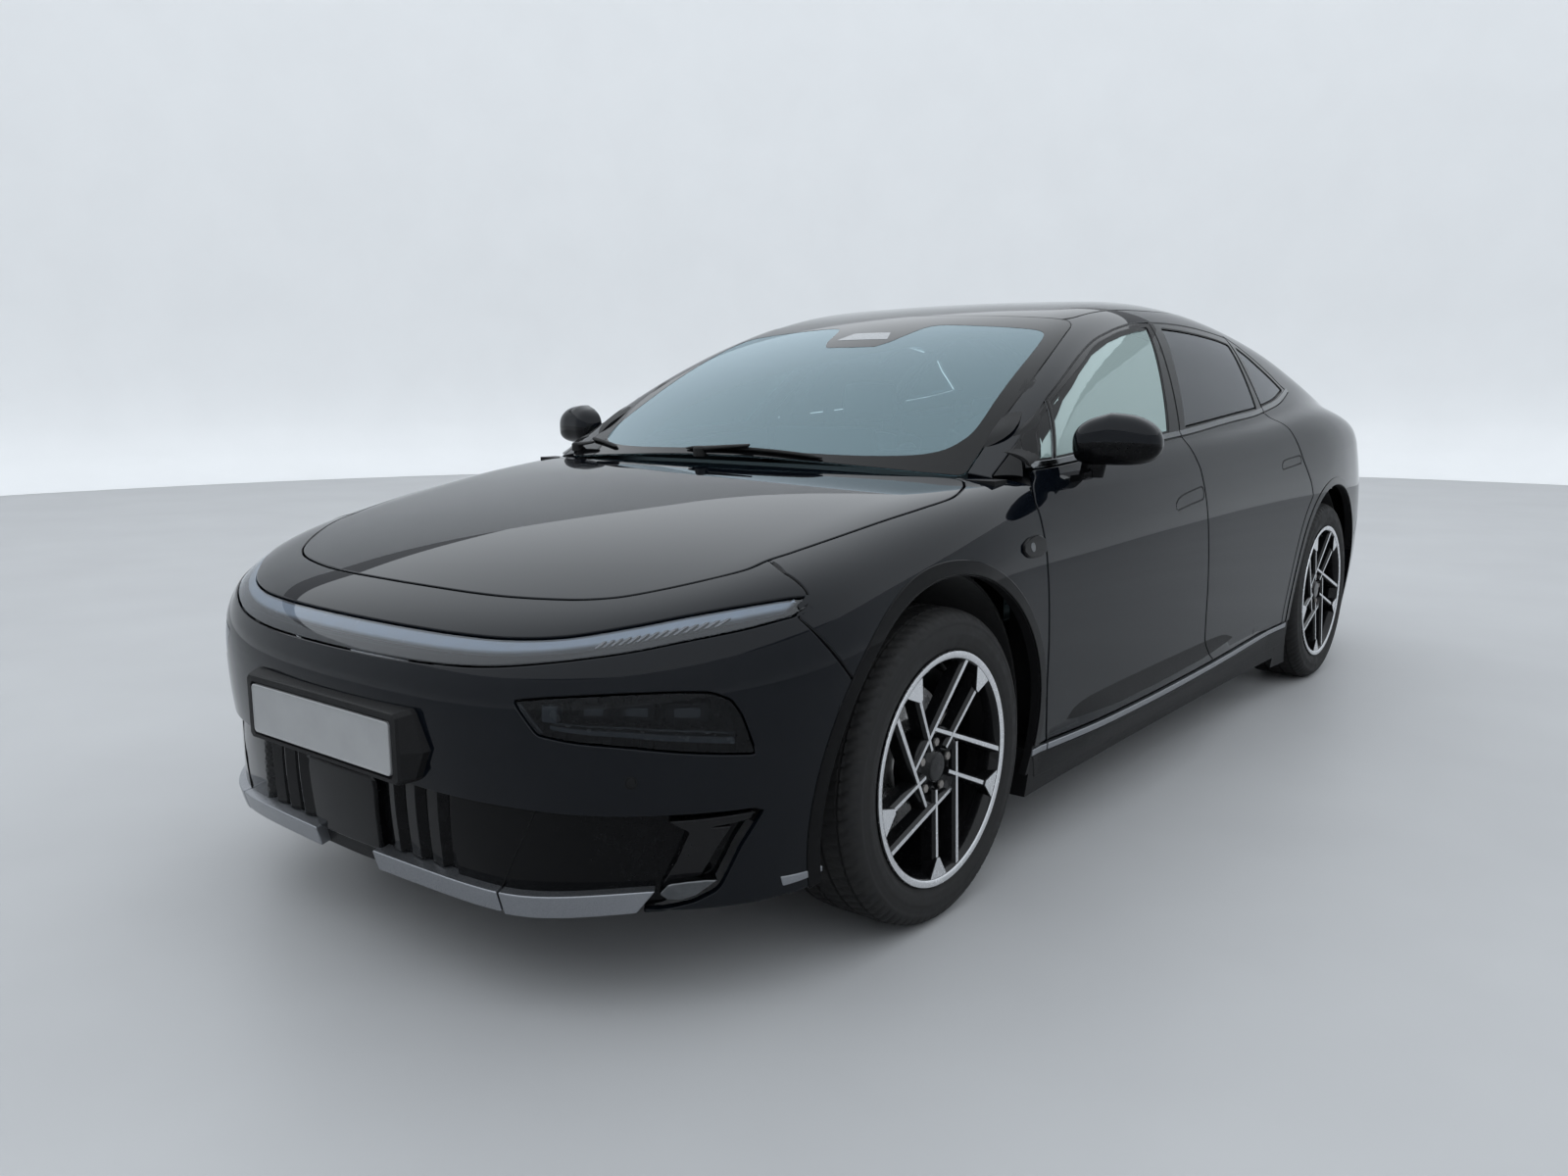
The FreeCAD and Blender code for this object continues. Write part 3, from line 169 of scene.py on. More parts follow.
def roots(F, O, D, lo, hi, n=28):
    """Outermost crossing of F along rays O + r D."""
    m = len(O)

    def f(r):
        Q = O + D * r[:, None]
        return F(Q[:, 0], Q[:, 1], Q[:, 2])
    a = np.full(m, lo, float)
    b = np.full(m, hi, float)
    live = np.ones(m, bool)
    prev = np.full(m, hi, float)
    for i in range(1, n + 1):
        r = np.full(m, hi - (hi - lo) * i / n)
        v = f(r)
        hit = live & (v < 0)
        a[hit] = r[hit]
        b[hit] = prev[hit]
        live &= ~hit
        prev = r
        if not live.any():
            break
    for _ in range(24):
        c = (a + b) / 2
        v = f(c) < 0
        a = np.where(v, c, a)
        b = np.where(v, b, c)
    return (a + b) / 2


class Chart:
    """A sheet of the surface as seen along rays: u, v in metres, roughly."""
    SPEC = {"side": (.45, .70), "nose": (.45, .48), "tail": (.45, .60)}

    def __init__(self, kind, F=FLB):
        self.kind, self.F = kind, F

    def ray(self, u, v):
        k = self.kind
        n = len(u)
        O = np.zeros((n, 3))
        D = np.zeros((n, 3))
        if k == "side":
            a = v / .5
            O[:, 0], O[:, 1], O[:, 2] = .45, u, .70
            D[:, 0], D[:, 2] = np.cos(a), np.sin(a)
        elif k == "top":
            O[:, 0], O[:, 1], O[:, 2] = u, v, .72
            D[:, 2] = 1
        elif k == "bon":
            a = v / .55
            O[:, 0], O[:, 1], O[:, 2] = u, -1.75, .40
            D[:, 1], D[:, 2] = -np.cos(a), np.sin(a)
        elif k == "gate":
            a = v / .8
            O[:, 0], O[:, 1], O[:, 2] = u, 1.5, .60
            D[:, 1], D[:, 2] = np.cos(a), np.sin(a)
        elif k == "nose":
            p, a = u / .95, v / .5
            O[:, 0], O[:, 1], O[:, 2] = .45 * np.sin(p), -1.5 - .45 * np.cos(p), .48
            D[:, 0], D[:, 1], D[:, 2] = np.sin(p) * np.cos(a), -np.cos(p) * np.cos(a), np.sin(a)
        elif k == "tail":
            p, a = u / .95, v / .5
            O[:, 0], O[:, 1], O[:, 2] = .45 * np.sin(p), 1.45 + .45 * np.cos(p), .60
            D[:, 0], D[:, 1], D[:, 2] = np.sin(p) * np.cos(a), np.cos(p) * np.cos(a), np.sin(a)
        return O, D

    def P(self, uv, lift=0.0):
        O, D = self.ray(uv[:, 0], uv[:, 1])
        F = self.F if not lift else (lambda x, y, z: self.F(x, y, z) - lift)
        r = roots(F, O, D, .02, 1.5)
        return O + D * r[:, None]

    def inv(self, P):
        x, y, z = P[:, 0], P[:, 1], P[:, 2]
        k = self.kind
        if k == "side":
            return np.stack([y, np.arctan2(z - .70, x - .45) * .5], 1)
        if k == "top":
            return np.stack([x, y], 1)
        if k == "bon":
            return np.stack([x, np.arctan2(z - .40, -(y + 1.75)) * .55], 1)
        if k == "gate":
            return np.stack([x, np.arctan2(z - .60, y - 1.5) * .8], 1)
        if k == "nose":
            R = np.hypot(x, y + 1.5)
            return np.stack([np.arctan2(x, -(y + 1.5)) * .95, np.arctan2(z - .48, R - .45) * .5], 1)
        R = np.hypot(x, y - 1.45)
        return np.stack([np.arctan2(x, y - 1.45) * .95, np.arctan2(z - .60, R - .45) * .5], 1)


# =====================================================================================
# lines
# =====================================================================================


def smooth(pts, step=.008, corner=34.0, closed=False):
    """Dense line through points, smooth except at corners."""
    p = np.array(pts, float)
    n = len(p)
    if closed:
        p = np.vstack([p[-1:], p, p[:2]])
        rng = range(1, n + 1)
    else:
        p = np.vstack([2 * p[0] - p[1], p, 2 * p[-1] - p[-2]])
        rng = range(1, n)

    def sharp(i):
        a, b = p[i] - p[i - 1], p[(i + 1) % len(p)] - p[i]
        c = np.dot(a, b) / max(np.linalg.norm(a) * np.linalg.norm(b), 1e-12)
        return math.degrees(math.acos(max(-1, min(1, c)))) > corner
    out = []
    for i in rng:
        a, b = p[i], p[i + 1]
        L = np.linalg.norm(b - a)
        t0 = (p[i + 1] - p[i - 1]) / max(np.linalg.norm(p[i + 1] - p[i]) + np.linalg.norm(p[i] - p[i - 1]), 1e-9) * L
        t1 = (p[i + 2] - p[i]) / max(np.linalg.norm(p[i + 2] - p[i + 1]) + np.linalg.norm(p[i + 1] - p[i]), 1e-9) * L
        if sharp(i):
            t0 = b - a
        if sharp(i + 1):
            t1 = b - a
        m = max(1, int(math.ceil(L / step)))
        for j in range(m):
            t = j / m
            h00, h10, h01, h11 = 2 * t ** 3 - 3 * t * t + 1, t ** 3 - 2 * t * t + t, -2 * t ** 3 + 3 * t * t, t ** 3 - t * t
            out.append(h00 * a + h10 * t0 + h01 * b + h11 * t1)
    if not closed:
        out.append(p[-2])
    return np.array(out)


def lx(pts, F=FV, sm=True, **k):
    """Side-view points (y, z) onto the left wall."""
    q = smooth(pts, **k) if sm else np.array(pts, float)
    O = np.stack([np.full(len(q), .10), q[:, 0], q[:, 1]], 1)
    D = np.tile([1., 0, 0], (len(q), 1))
    return O + D * roots(F, O, D, 0, 1.1, 40)[:, None]


def lz(pts, F=FLB, sm=True, **k):
    """Plan points (x, y) onto the top."""
    q = smooth(pts, **k) if sm else np.array(pts, float)
    O = np.stack([q[:, 0], q[:, 1], np.full(len(q), .6)], 1)
    D = np.tile([0, 0, 1.], (len(q), 1))
    return O + D * roots(F, O, D, 0, 1.1, 40)[:, None]


def lyf(pts, F=FLB, sm=True, **k):
    """Front-view points (x, z) onto the nose."""
    q = smooth(pts, **k) if sm else np.array(pts, float)
    O = np.stack([q[:, 0], np.full(len(q), -1.6), q[:, 1]], 1)
    D = np.tile([0, -1., 0], (len(q), 1))
    return O + D * roots(F, O, D, 0, 1.1, 40)[:, None]


def lyr(pts, F=FV, sm=True, **k):
    """Rear-view points (x, z) onto the tail."""
    q = smooth(pts, **k) if sm else np.array(pts, float)
    O = np.stack([q[:, 0], np.full(len(q), 1.7), q[:, 1]], 1)
    D = np.tile([0, 1., 0], (len(q), 1))
    return O + D * roots(F, O, D, 0, 1.1, 40)[:, None]


def arc_pts(cy, cz, r, a0, a1, n=60):
    t = np.radians(np.linspace(a0, a1, n))
    return np.stack([cy + r * np.cos(t), cz + r * np.sin(t)], 1)


def flip(P):
    return np.asarray(P)[:, ::1] * np.array([-1., 1, 1])


def inside(poly, q):
    x, y = q[:, 0][:, None], q[:, 1][:, None]
    a = poly
    b = np.roll(poly, -1, 0)
    out = np.zeros(len(q), bool)
    for s in range(0, len(q), 4000):
        xs, ys = x[s:s + 4000], y[s:s + 4000]
        c = ((a[:, 1] > ys) != (b[:, 1] > ys))
        with np.errstate(divide="ignore", invalid="ignore"):
            xi = (b[:, 0] - a[:, 0]) * (ys - a[:, 1]) / (b[:, 1] - a[:, 1]) + a[:, 0]
        out[s:s + 4000] = (np.sum(c & (xs < xi), 1) % 2) == 1
    return out


def area(p):
    x, y = p[:, 0], p[:, 1]
    return .5 * np.sum(x * np.roll(y, -1) - np.roll(x, -1) * y)


# =====================================================================================
# pieces
# =====================================================================================
PIECES = {}


def tail_fit(co):
    """Sets the rear end in by the few centimetres that the field stands out over the panels there."""
    co = np.array(co, float)
    d = np.interp(np.abs(co[:, 0]), [0, .70, .76, .80, .85, .90, .95], [.0288, .0288, .0255, .0140, .0066, .0050, .0])
    t = np.clip((co[:, 1] - 2.05) / .30, 0, 1)
    co[:, 1] -= d * t * t * (3 - 2 * t)
    return co


def add(name, co, faces, normals=None, mats=(), body="root", slot=None, fmat=None, replaces=(), flat=False):
    if body in ("root", "tailgate") and not name.startswith("plate"):
        co = tail_fit(co)
    if name == "plate_pocket":
        co = tail_fit(co)
    me = bpy.data.meshes.new(name)
    me.from_pydata([tuple(map(float, c)) for c in co], [], [tuple(map(int, f)) for f in faces])
    for m in mats:
        me.materials.append(m)
    if fmat is not None:
        me.polygons.foreach_set("material_index", np.asarray(fmat, np.int32))
    me.polygons.foreach_set("use_smooth", np.full(len(me.polygons), not flat))
    me.validate(clean_customdata=False)
    me.update()
    if normals is not None and len(me.vertices) == len(normals):
        me.normals_split_custom_set_from_vertices([tuple(map(float, n)) for n in normals])
    o = bpy.data.objects.new(name, me)
    COL.objects.link(o)
    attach(o, body)
    if replaces:
        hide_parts(*replaces)
    PIECES[name] = o
    return o


def resample(P, step):
    d = np.linalg.norm(np.diff(P, axis=0), axis=1)
    s = np.concatenate([[0], np.cumsum(d)])
    n = max(1, int(round(s[-1] / step)))
    t = np.linspace(0, s[-1], n + 1)
    return np.stack([np.interp(t, s, P[:, i]) for i in range(3)], 1)


def build(chart, loops, du=.018, off=.0015, gap=.0025, r=.003, flange=.016, rc=.010, step=.009, thick=None, lift=0.0):
    """Sheet inside the loops with rolled edges. loops: lists of (points, hem)."""
    L2, hem_e, P0 = [], [], []
    for loop in loops:
        pts, hem = [], []
        for seg in loop:
            q, h = seg[0], seg[1]
            q = resample(np.asarray(q, float), step)
            if len(pts) and np.linalg.norm(q[0] - pts[-1]) < step * .45:
                q = q[1:]
            for i, c in enumerate(q):
                pts.append(c)
                hem.append(h if i < len(q) - 1 else h)
        pts = np.array(pts)
        if np.linalg.norm(pts[0] - pts[-1]) < step * .45:
            pts, hem = pts[:-1], hem[:-1]
        hem = np.array(hem, bool)       # edge i -> i+1
        # round the corners between two hemmed edges
        if rc:
            for _ in range(1):
                n = len(pts)
                e = np.roll(pts, -1, 0) - pts
                e /= np.maximum(np.linalg.norm(e, axis=1, keepdims=True), 1e-9)
                turn = np.degrees(np.arccos(np.clip(np.sum(np.roll(e, 1, 0) * e, 1), -1, 1)))
                newp, newh = [], []
                for i in range(n):
                    if turn[i] > 28 and hem[i] and hem[i - 1]:
                        a = pts[i] - np.roll(e, 1, 0)[i] * min(rc, step * .9)
                        b = pts[i] + e[i] * min(rc, step * .9)
                        for t in (.0, .34, .67, 1.):
                            newp.append((1 - t) ** 2 * a + 2 * t * (1 - t) * pts[i] + t * t * b)
                            newh.append(True)
                    else:
                        newp.append(pts[i])
                        newh.append(hem[i])
                pts, hem = np.array(newp), np.array(newh)
        P0.append(pts)
        hem_e.append(hem)
    uv_raw = [chart.inv(p) for p in P0]
    outer = uv_raw[0]
    V3, N3, B3, M3, uvs = [], [], [], [], []
    for k, (pts, hem) in enumerate(zip(P0, hem_e)):
        N = grad(chart.F, pts)
        T = np.roll(pts, -1, 0) - pts
        T /= np.maximum(np.linalg.norm(T, axis=1, keepdims=True), 1e-9)
        Bn = np.cross(T, N)
        Bn /= np.maximum(np.linalg.norm(Bn, axis=1, keepdims=True), 1e-9)
        mid = (pts + np.roll(pts, -1, 0)) / 2
        test = chart.inv(mid + Bn * .0015)
        ins = inside(uv_raw[k], test)
        grow = (~ins) if k == 0 else ins
        if np.mean(grow) < .5:
            Bn = -Bn
        Bp = np.roll(Bn, 1, 0)
        dn = np.where(hem, gap + r, 0.0)
        dp = np.roll(dn, 1)
        c = np.clip(np.sum(Bn * Bp, 1), -.9, 1)
        det = 1 - c * c
        al = np.where(det < .02, -(dp + dn) / 4, (-dp + c * dn) / np.maximum(det, .02))
        be = np.where(det < .02, -(dp + dn) / 4, (-dn + c * dp) / np.maximum(det, .02))
        s = Bp * al[:, None] + Bn * be[:, None]
        ln = np.linalg.norm(s, axis=1)
        lim = 2.2 * (gap + r)
        s *= np.where(ln > lim, lim / np.maximum(ln, 1e-9), 1)[:, None]
        ln = np.minimum(ln, lim)
        q = pts + s
        uv = chart.inv(q)
        uvs.append(uv)
        B = -s / np.maximum(ln, 1e-9)[:, None]
        bad = ln < 1e-6
        B[bad] = (Bn + Bp)[bad] / np.maximum(np.linalg.norm((Bn + Bp)[bad], axis=1, keepdims=True), 1e-9)
        B3.append(B)
        M3.append(np.where(gap + r > 0, ln / (gap + r), 1.0))
    allb = np.vstack(uvs)
    lo, hi = uvs[0].min(0), uvs[0].max(0)
    gu = np.arange(lo[0] + du * .5, hi[0], du)
    gv = np.arange(lo[1] + du * .43, hi[1], du * .866)
    G = []
    for j, v in enumerate(gv):
        G.append(np.stack([gu + (du * .5 if j % 2 else 0), np.full(len(gu), v)], 1))
    G = np.vstack(G) if G else np.zeros((0, 2))
    keep = inside(uvs[0], G)
    for h in uvs[1:]:
        keep &= ~inside(h, G)
    G = G[keep]
    if len(G):
        near = np.full(len(G), 9.)
        for sidx in range(0, len(allb), 300):
            dd = np.linalg.norm(G[:, None, :] - allb[None, sidx:sidx + 300, :], axis=2)
            near = np.minimum(near, dd.min(1))
        G = G[near > min(du, step) * .62]
    verts = [Vector((float(a), float(b))) for a, b in np.vstack([allb, G])]
    edges = []
    base = 0
    for uv in uvs:
        n = len(uv)
        edges += [(base + i, base + (i + 1) % n) for i in range(n)]
        base += n
    vo, eo, fo, ov, oe, of_ = delaunay_2d_cdt(verts, edges, [], 0, 1e-7)
    VO = np.array([(v.x, v.y) for v in vo])
    tri = np.array([f for f in fo if len(f) == 3], int)
    cen = VO[tri].mean(1)
    k = inside(uvs[0], cen)
    for h in uvs[1:]:
        k &= ~inside(h, cen)
    tri = tri[k]
    inmap = {}
    for i, src in enumerate(ov):
        for s_ in src:
            inmap[s_] = i
    P = chart.P(VO, lift)
    N = grad(chart.F, P)
    P = P + N * (off(P)[:, None] if callable(off) else off)
    # face direction follows the normal
    e1, e2 = P[tri[:, 1]] - P[tri[:, 0]], P[tri[:, 2]] - P[tri[:, 0]]
    sgn = np.sum(np.cross(e1, e2) * N[tri].mean(1), 1)
    tri[sgn < 0] = tri[sgn < 0][:, ::-1]
    co = [P]
    no = [N]
    faces = [tuple(t) for t in tri]
    cnt = len(P)
    mi = [0] * len(faces)
    base = 0
    feet = []
    for uv, B, M, hem in zip(uvs, B3, M3, hem_e):
        n = len(uv)
        idx = np.array([inmap.get(base + i, 0) for i in range(n)])
        base += n
        if not hem.any():
            continue
        p, nn = P[idx], N[idx]
        B = B - nn * np.sum(B * nn, 1, keepdims=True)
        B /= np.maximum(np.linalg.norm(B, axis=1, keepdims=True), 1e-9)
        rings = [idx]
        for th in ((35., 65., 90.) if r > 0 else ()):
            t = RAD(th)
            co.append(p + B * (M * r * math.sin(t))[:, None] - nn * (r * (1 - math.cos(t))))
            no.append(nn * math.cos(t) + B * math.sin(t))
            rings.append(np.arange(cnt, cnt + n))
            cnt += n
        co.append(p + B * (M * r)[:, None] - nn * (r + flange))
        no.append(B)
        rings.append(np.arange(cnt, cnt + n))
        cnt += n
        ca, na = np.vstack(co), np.vstack(no)
        ra, rb_ = rings[-2], rings[-1]
        w_ = np.cross(ca[np.roll(ra, -1)] - ca[ra], ca[rb_] - ca[ra])
        fl = np.sum(np.sign(np.sum(w_ * (na[ra] + na[rb_]), 1))[hem]) < 0
        for a, b in zip(rings, rings[1:]):
            for i in range(n):
                if not hem[i]:
                    continue
                j = (i + 1) % n
                q = (a[i], a[j], b[j], b[i])
                faces.append(q[::-1] if fl else q)
                mi.append(0)
        feet.append((rings[-1][::-1], idx[::-1], np.roll(hem[::-1], -1)) if fl else (rings[-1], idx, hem))
    if thick:
        for a, b, hem in feet:
            n = len(a)
            for i in range(n):
                if hem[i]:
                    j = (i + 1) % n
                    faces.append((a[i], a[j], b[j] + cnt, b[i] + cnt))
                    mi.append(1)
        # inner skin, joined to the flange foot
        Pi = P - N * thick
        co.append(Pi)
        no.append(-N)
        faces += [tuple(t[::-1] + cnt) for t in tri]
        mi += [1] * len(tri)
        cnt += len(P)
    return np.vstack(co), faces, np.vstack(no), mi


def skin(name, chart, loops, mat, body="root", slot="paint", mirrored=True, **k):
    """A skin on the left and its mirror image on the right; {} in names is the side."""
    rep = k.pop("replaces", ())
    mats = k.pop("mats", [mat])
    co, fa, no, mi = build(chart, loops, **k)
    if max(mi) >= len(mats):
        mi = [0] * len(mi)
    if not mirrored:
        return add(name, co, fa, no, mats, body, slot, mi, rep)
    out = []
    for side, s in (("left", 1), ("right", -1)):
        c = co * np.array([s, 1, 1])
        n = no * np.array([s, 1, 1])
        f = fa if s > 0 else [t[::-1] for t in fa]
        out.append(add(name.format(side), c, f, n, mats, body.format(side), slot, mi, [q.format(side) for q in rep]))
    return out


# =====================================================================================
# materials
# =====================================================================================


def nodes_of(m):
    m.use_nodes = True
    nt = m.node_tree
    nt.nodes.clear()
    out = nt.nodes.new("ShaderNodeOutputMaterial")
    return nt, out


def principled(nt, base, rough, metal=0.0, coat=0.0, coat_r=.03, spec=.5, sheen=0.0):
    b = nt.nodes.new("ShaderNodeBsdfPrincipled")
    b.inputs["Base Color"].default_value = (*base, 1)
    b.inputs["Roughness"].default_value = rough
    b.inputs["Metallic"].default_value = metal
    b.inputs["Coat Weight"].default_value = coat
    b.inputs["Coat Roughness"].default_value = coat_r
    b.inputs["Specular IOR Level"].default_value = spec
    if sheen:
        b.inputs["Sheen Weight"].default_value = sheen
    return b


def noise(nt, scale, detail=3, rough=.5, stretch=None):
    tc = nt.nodes.new("ShaderNodeTexCoord")
    n = nt.nodes.new("ShaderNodeTexNoise")
    n.inputs["Scale"].default_value = scale
    n.inputs["Detail"].default_value = detail
    n.inputs["Roughness"].default_value = rough
    src = tc.outputs["Object"]
    if stretch:
        mp = nt.nodes.new("ShaderNodeMapping")
        mp.inputs["Scale"].default_value = stretch
        nt.links.new(src, mp.inputs["Vector"])
        src = mp.outputs["Vector"]
    nt.links.new(src, n.inputs["Vector"])
    return n


def ramp(nt, src, stops):
    r = nt.nodes.new("ShaderNodeValToRGB")
    e = r.color_ramp.elements
    e[0].position, e[0].color = stops[0][0], (*stops[0][1], 1)
    e[1].position, e[1].color = stops[-1][0], (*stops[-1][1], 1)
    for p, c in stops[1:-1]:
        k = e.new(p)
        k.color = (*c, 1)
    nt.links.new(src, r.inputs["Fac"])
    return r


def bump(nt, src, strength, dist, into):
    b = nt.nodes.new("ShaderNodeBump")
    b.inputs["Strength"].default_value = strength
    b.inputs["Distance"].default_value = dist
    nt.links.new(src, b.inputs["Height"])
    nt.links.new(b.outputs["Normal"], into.inputs["Normal"])
    return b


def rough_map(nt, src, a, b, into):
    m = nt.nodes.new("ShaderNodeMapRange")
    m.inputs["To Min"].default_value = a
    m.inputs["To Max"].default_value = b
    m.inputs["From Min"].default_value = .3
    m.inputs["From Max"].default_value = .7
    nt.links.new(src, m.inputs["Value"])
    nt.links.new(m.outputs["Result"], into.inputs["Roughness"])


def mk(name, base, rough, metal=0.0, coat=0.0, coat_r=.03, spec=.5, var=None, scale=30, bmp=None, rr=None, sheen=0.0,
       stretch=None, bscale=None, cior=1.5):
    """A solid material with its own fine colour, roughness and surface variation."""
    m = bpy.data.materials.new(name)
    nt, out = nodes_of(m)
    b = principled(nt, base, rough, metal, coat, coat_r, spec, sheen)
    b.inputs["Coat IOR"].default_value = cior
    n = noise(nt, scale, stretch=stretch)
    if var:
        r = ramp(nt, n.outputs["Fac"], [(.3, base), (.7, var)])
        nt.links.new(r.outputs["Color"], b.inputs["Base Color"])
    if rr:
        rough_map(nt, n.outputs["Fac"], rr[0], rr[1], b)
    if bmp:
        nb = n if bscale is None else noise(nt, bscale, 2, stretch=stretch)
        bump(nt, nb.outputs["Fac"], bmp[0], bmp[1], b)
    nt.links.new(b.outputs[0], out.inputs["Surface"])
    return m


M = {}
M["paint"] = mk("paint", (.0018, .0026, .0042), .34, coat=1.0, coat_r=.012, spec=.0, var=(.0026, .0038, .0062), scale=900,
                rr=(.28, .40), cior=1.29)
M["piano"] = mk("piano", (.0018, .0019, .0022), .10, coat=.7, coat_r=.015, spec=.02, cior=1.22, var=(.0036, .0037, .0041), scale=60, rr=(.07, .13))
M["trim"] = mk("trim", (.0045, .0045, .005), .48, spec=.16, var=(.009, .009, .0095), scale=400, bmp=(.25, .0004), rr=(.42, .58))
M["dark"] = mk("dark", (.004, .004, .0045), .75, spec=.15, var=(.007, .007, .007), scale=80, bmp=(.3, .001))
M["satin"] = mk("satin", (.24, .25, .27), .30, metal=.9, var=(.30, .31, .33), scale=260, rr=(.24, .36), stretch=(1, 8, 8))
M["chrome"] = mk("chrome", (.60, .61, .63), .09, metal=1.0, var=(.66, .67, .69), scale=40, rr=(.06, .14))
M["dchrome"] = mk("dchrome", (.10, .105, .11), .16, metal=1.0, var=(.13, .135, .14), scale=60, rr=(.12, .20))
M["machined"] = mk("machined", (.72, .73, .75), .24, metal=1.0, var=(.80, .81, .83), scale=90, rr=(.18, .30))
M["rimblack"] = mk("rimblack", (.003, .003, .0035), .22, coat=.7, coat_r=.04, spec=.1, cior=1.3, var=(.006, .006, .0065), scale=120, rr=(.16, .28))
M["tyre"] = mk("tyre", (.011, .011, .0115), .72, spec=.25, var=(.019, .0185, .018), scale=34, bmp=(.35, .0006), bscale=700, rr=(.60, .82))
M["rubber"] = mk("rubber", (.007, .007, .007), .62, spec=.25, var=(.011, .011, .011), scale=90, bmp=(.2, .0004), rr=(.55, .70))
M["liner"] = mk("liner", (.006, .006, .0065), .92, spec=.2, var=(.012, .012, .012), scale=220, bmp=(.6, .0015), rr=(.85, 1.0), sheen=.1)
M["under"] = mk("under", (.020, .020, .021), .60, var=(.035, .034, .033), scale=18, bmp=(.25, .001), rr=(.5, .75))
M["alloy"] = mk("alloy", (.36, .37, .38), .45, metal=.85, var=(.46, .46, .46), scale=50, bmp=(.25, .0008), bscale=500, rr=(.38, .58))
M["iron"] = mk("iron", (.20, .19, .185), .48, metal=.7, var=(.29, .27, .25), scale=60, bmp=(.3, .0007), bscale=400, rr=(.4, .62))
M["disc"] = mk("disc", (.46, .46, .46), .26, metal=1.0, var=(.56, .55, .54), scale=30, rr=(.2, .34))
M["caliper"] = mk("caliper", (.16, .165, .17), .42, metal=.6, var=(.22, .22, .23), scale=90, bmp=(.2, .0006), rr=(.34, .5))
M["dash"] = mk("dash", (.020, .021, .023), .62, var=(.028, .029, .031), scale=90, bmp=(.5, .0006), bscale=900, rr=(.55, .72))
M["headliner"] = mk("headliner", (.050, .050, .052), .95, var=(.065, .065, .066), scale=300, bmp=(.4, .0008), rr=(.9, 1.0), sheen=.2)
M["carpet"] = mk("carpet", (.018, .018, .019), .98, var=(.034, .033, .033), scale=500, bmp=(.9, .003), rr=(.92, 1.0), sheen=.3)
M["leather"] = mk("leather", (.028, .028, .030), .50, var=(.040, .040, .042), scale=26, bmp=(.45, .0007), bscale=620, rr=(.42, .60))
M["leather2"] = mk("leather2", (.075, .074, .074), .52, var=(.095, .093, .092), scale=26, bmp=(.45, .0007), bscale=620, rr=(.44, .62))
M["plate"] = mk("plate", (.27, .275, .28), .38, var=(.31, .315, .32), scale=14, bmp=(.04, .0004), rr=(.32, .46))
M["screen"] = mk("screen", (.004, .005, .007), .12, coat=.5, var=(.006, .007, .010), scale=12, rr=(.08, .16))


def glass(name, tint, rough=.0, refl=1.0, body=None, add=0.0, sheen=(.95, .97, 1), ior=None):
    """Thin pane: tinted clear view, with a mirror image that grows at grazing angles. A given body colour goes in as a
    flat diffuse at weight add; on the windscreen and the front door glass that diffuse is a painted reflection of the
    pale sky.
    """
    m = bpy.data.materials.new(name)
    nt, out = nodes_of(m)
    tr = nt.nodes.new("ShaderNodeBsdfTransparent")
    tr.inputs["Color"].default_value = (*tint, 1)
    gl = nt.nodes.new("ShaderNodeBsdfGlossy")
    gl.inputs["Color"].default_value = (*sheen, 1)
    gl.inputs["Roughness"].default_value = rough
    fr = nt.nodes.new("ShaderNodeFresnel")
    fr.inputs["IOR"].default_value = ior or (1.45 if refl <= 1 else 1.45 + .25 * (refl - 1))
    mx = nt.nodes.new("ShaderNodeMixShader")
    nt.links.new(fr.outputs[0], mx.inputs["Fac"])
    src = tr.outputs[0]
    # a given body colour is a flat lit diffuse at weight add: on the clear panes a painted reflection of the pale sky
    if body:
        df = nt.nodes.new("ShaderNodeBsdfDiffuse")
        df.inputs["Color"].default_value = (*body, 1)
        m2 = nt.nodes.new("ShaderNodeMixShader")
        m2.inputs["Fac"].default_value = add
        nt.links.new(tr.outputs[0], m2.inputs[1])
        nt.links.new(df.outputs[0], m2.inputs[2])
        src = m2.outputs[0]
    nt.links.new(src, mx.inputs[1])
    nt.links.new(gl.outputs[0], mx.inputs[2])
    nt.links.new(mx.outputs[0], out.inputs["Surface"])
    return m


# the pale blue diffuse body at weight .26 is a painted reflection of the sky on the windscreen
M["screenglass"] = glass("screenglass", (.74, .90, .94), 0, 1.0, (.40, .58, .64), .26, sheen=(.82, .93, 1), ior=1.30)
M["screenfilm"] = glass("screenfilm", (.88, .96, .97), 0, ior=1.05)
# the pale diffuse body at weight .36 is a painted reflection of the sky on the front door glass
M["doorglass"] = glass("doorglass", (.74, .88, .86), 0, 1.8, (.66, .84, .81), .36, sheen=(.84, .97, .97))
M["darkglass"] = glass("darkglass", (.26, .29, .30), 0, 1.0)
M["lens"] = glass("lens", (.55, .58, .62), 0, 1.6)
M["smoke"] = glass("smoke", (.40, .42, .44), 0, ior=1.30)
M["redlens"] = glass("redlens", (.50, .02, .02), .02, 1.6, (.25, .004, .004), .35)
M["frost"] = mk("frost", (.70, .78, .86), .22, coat=.8, coat_r=.03, var=(.70, .75, .80), scale=40, rr=(.16, .28))
M["frost2"] = mk("frost2", (.070, .080, .092), .25, coat=.6, coat_r=.03, cior=1.35, var=(.10, .11, .125), scale=40, rr=(.2, .3))
M["redbody"] = mk("redbody", (.10, .002, .002), .3, coat=.6, var=(.14, .004, .004), scale=30, rr=(.2, .35))


def dress(node, mat):
    """Give a carried-over node its finish."""
    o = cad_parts[node]
    if not o.material_slots:
        o.data.materials.append(mat)
    for sl in o.material_slots:
        sl.material = mat


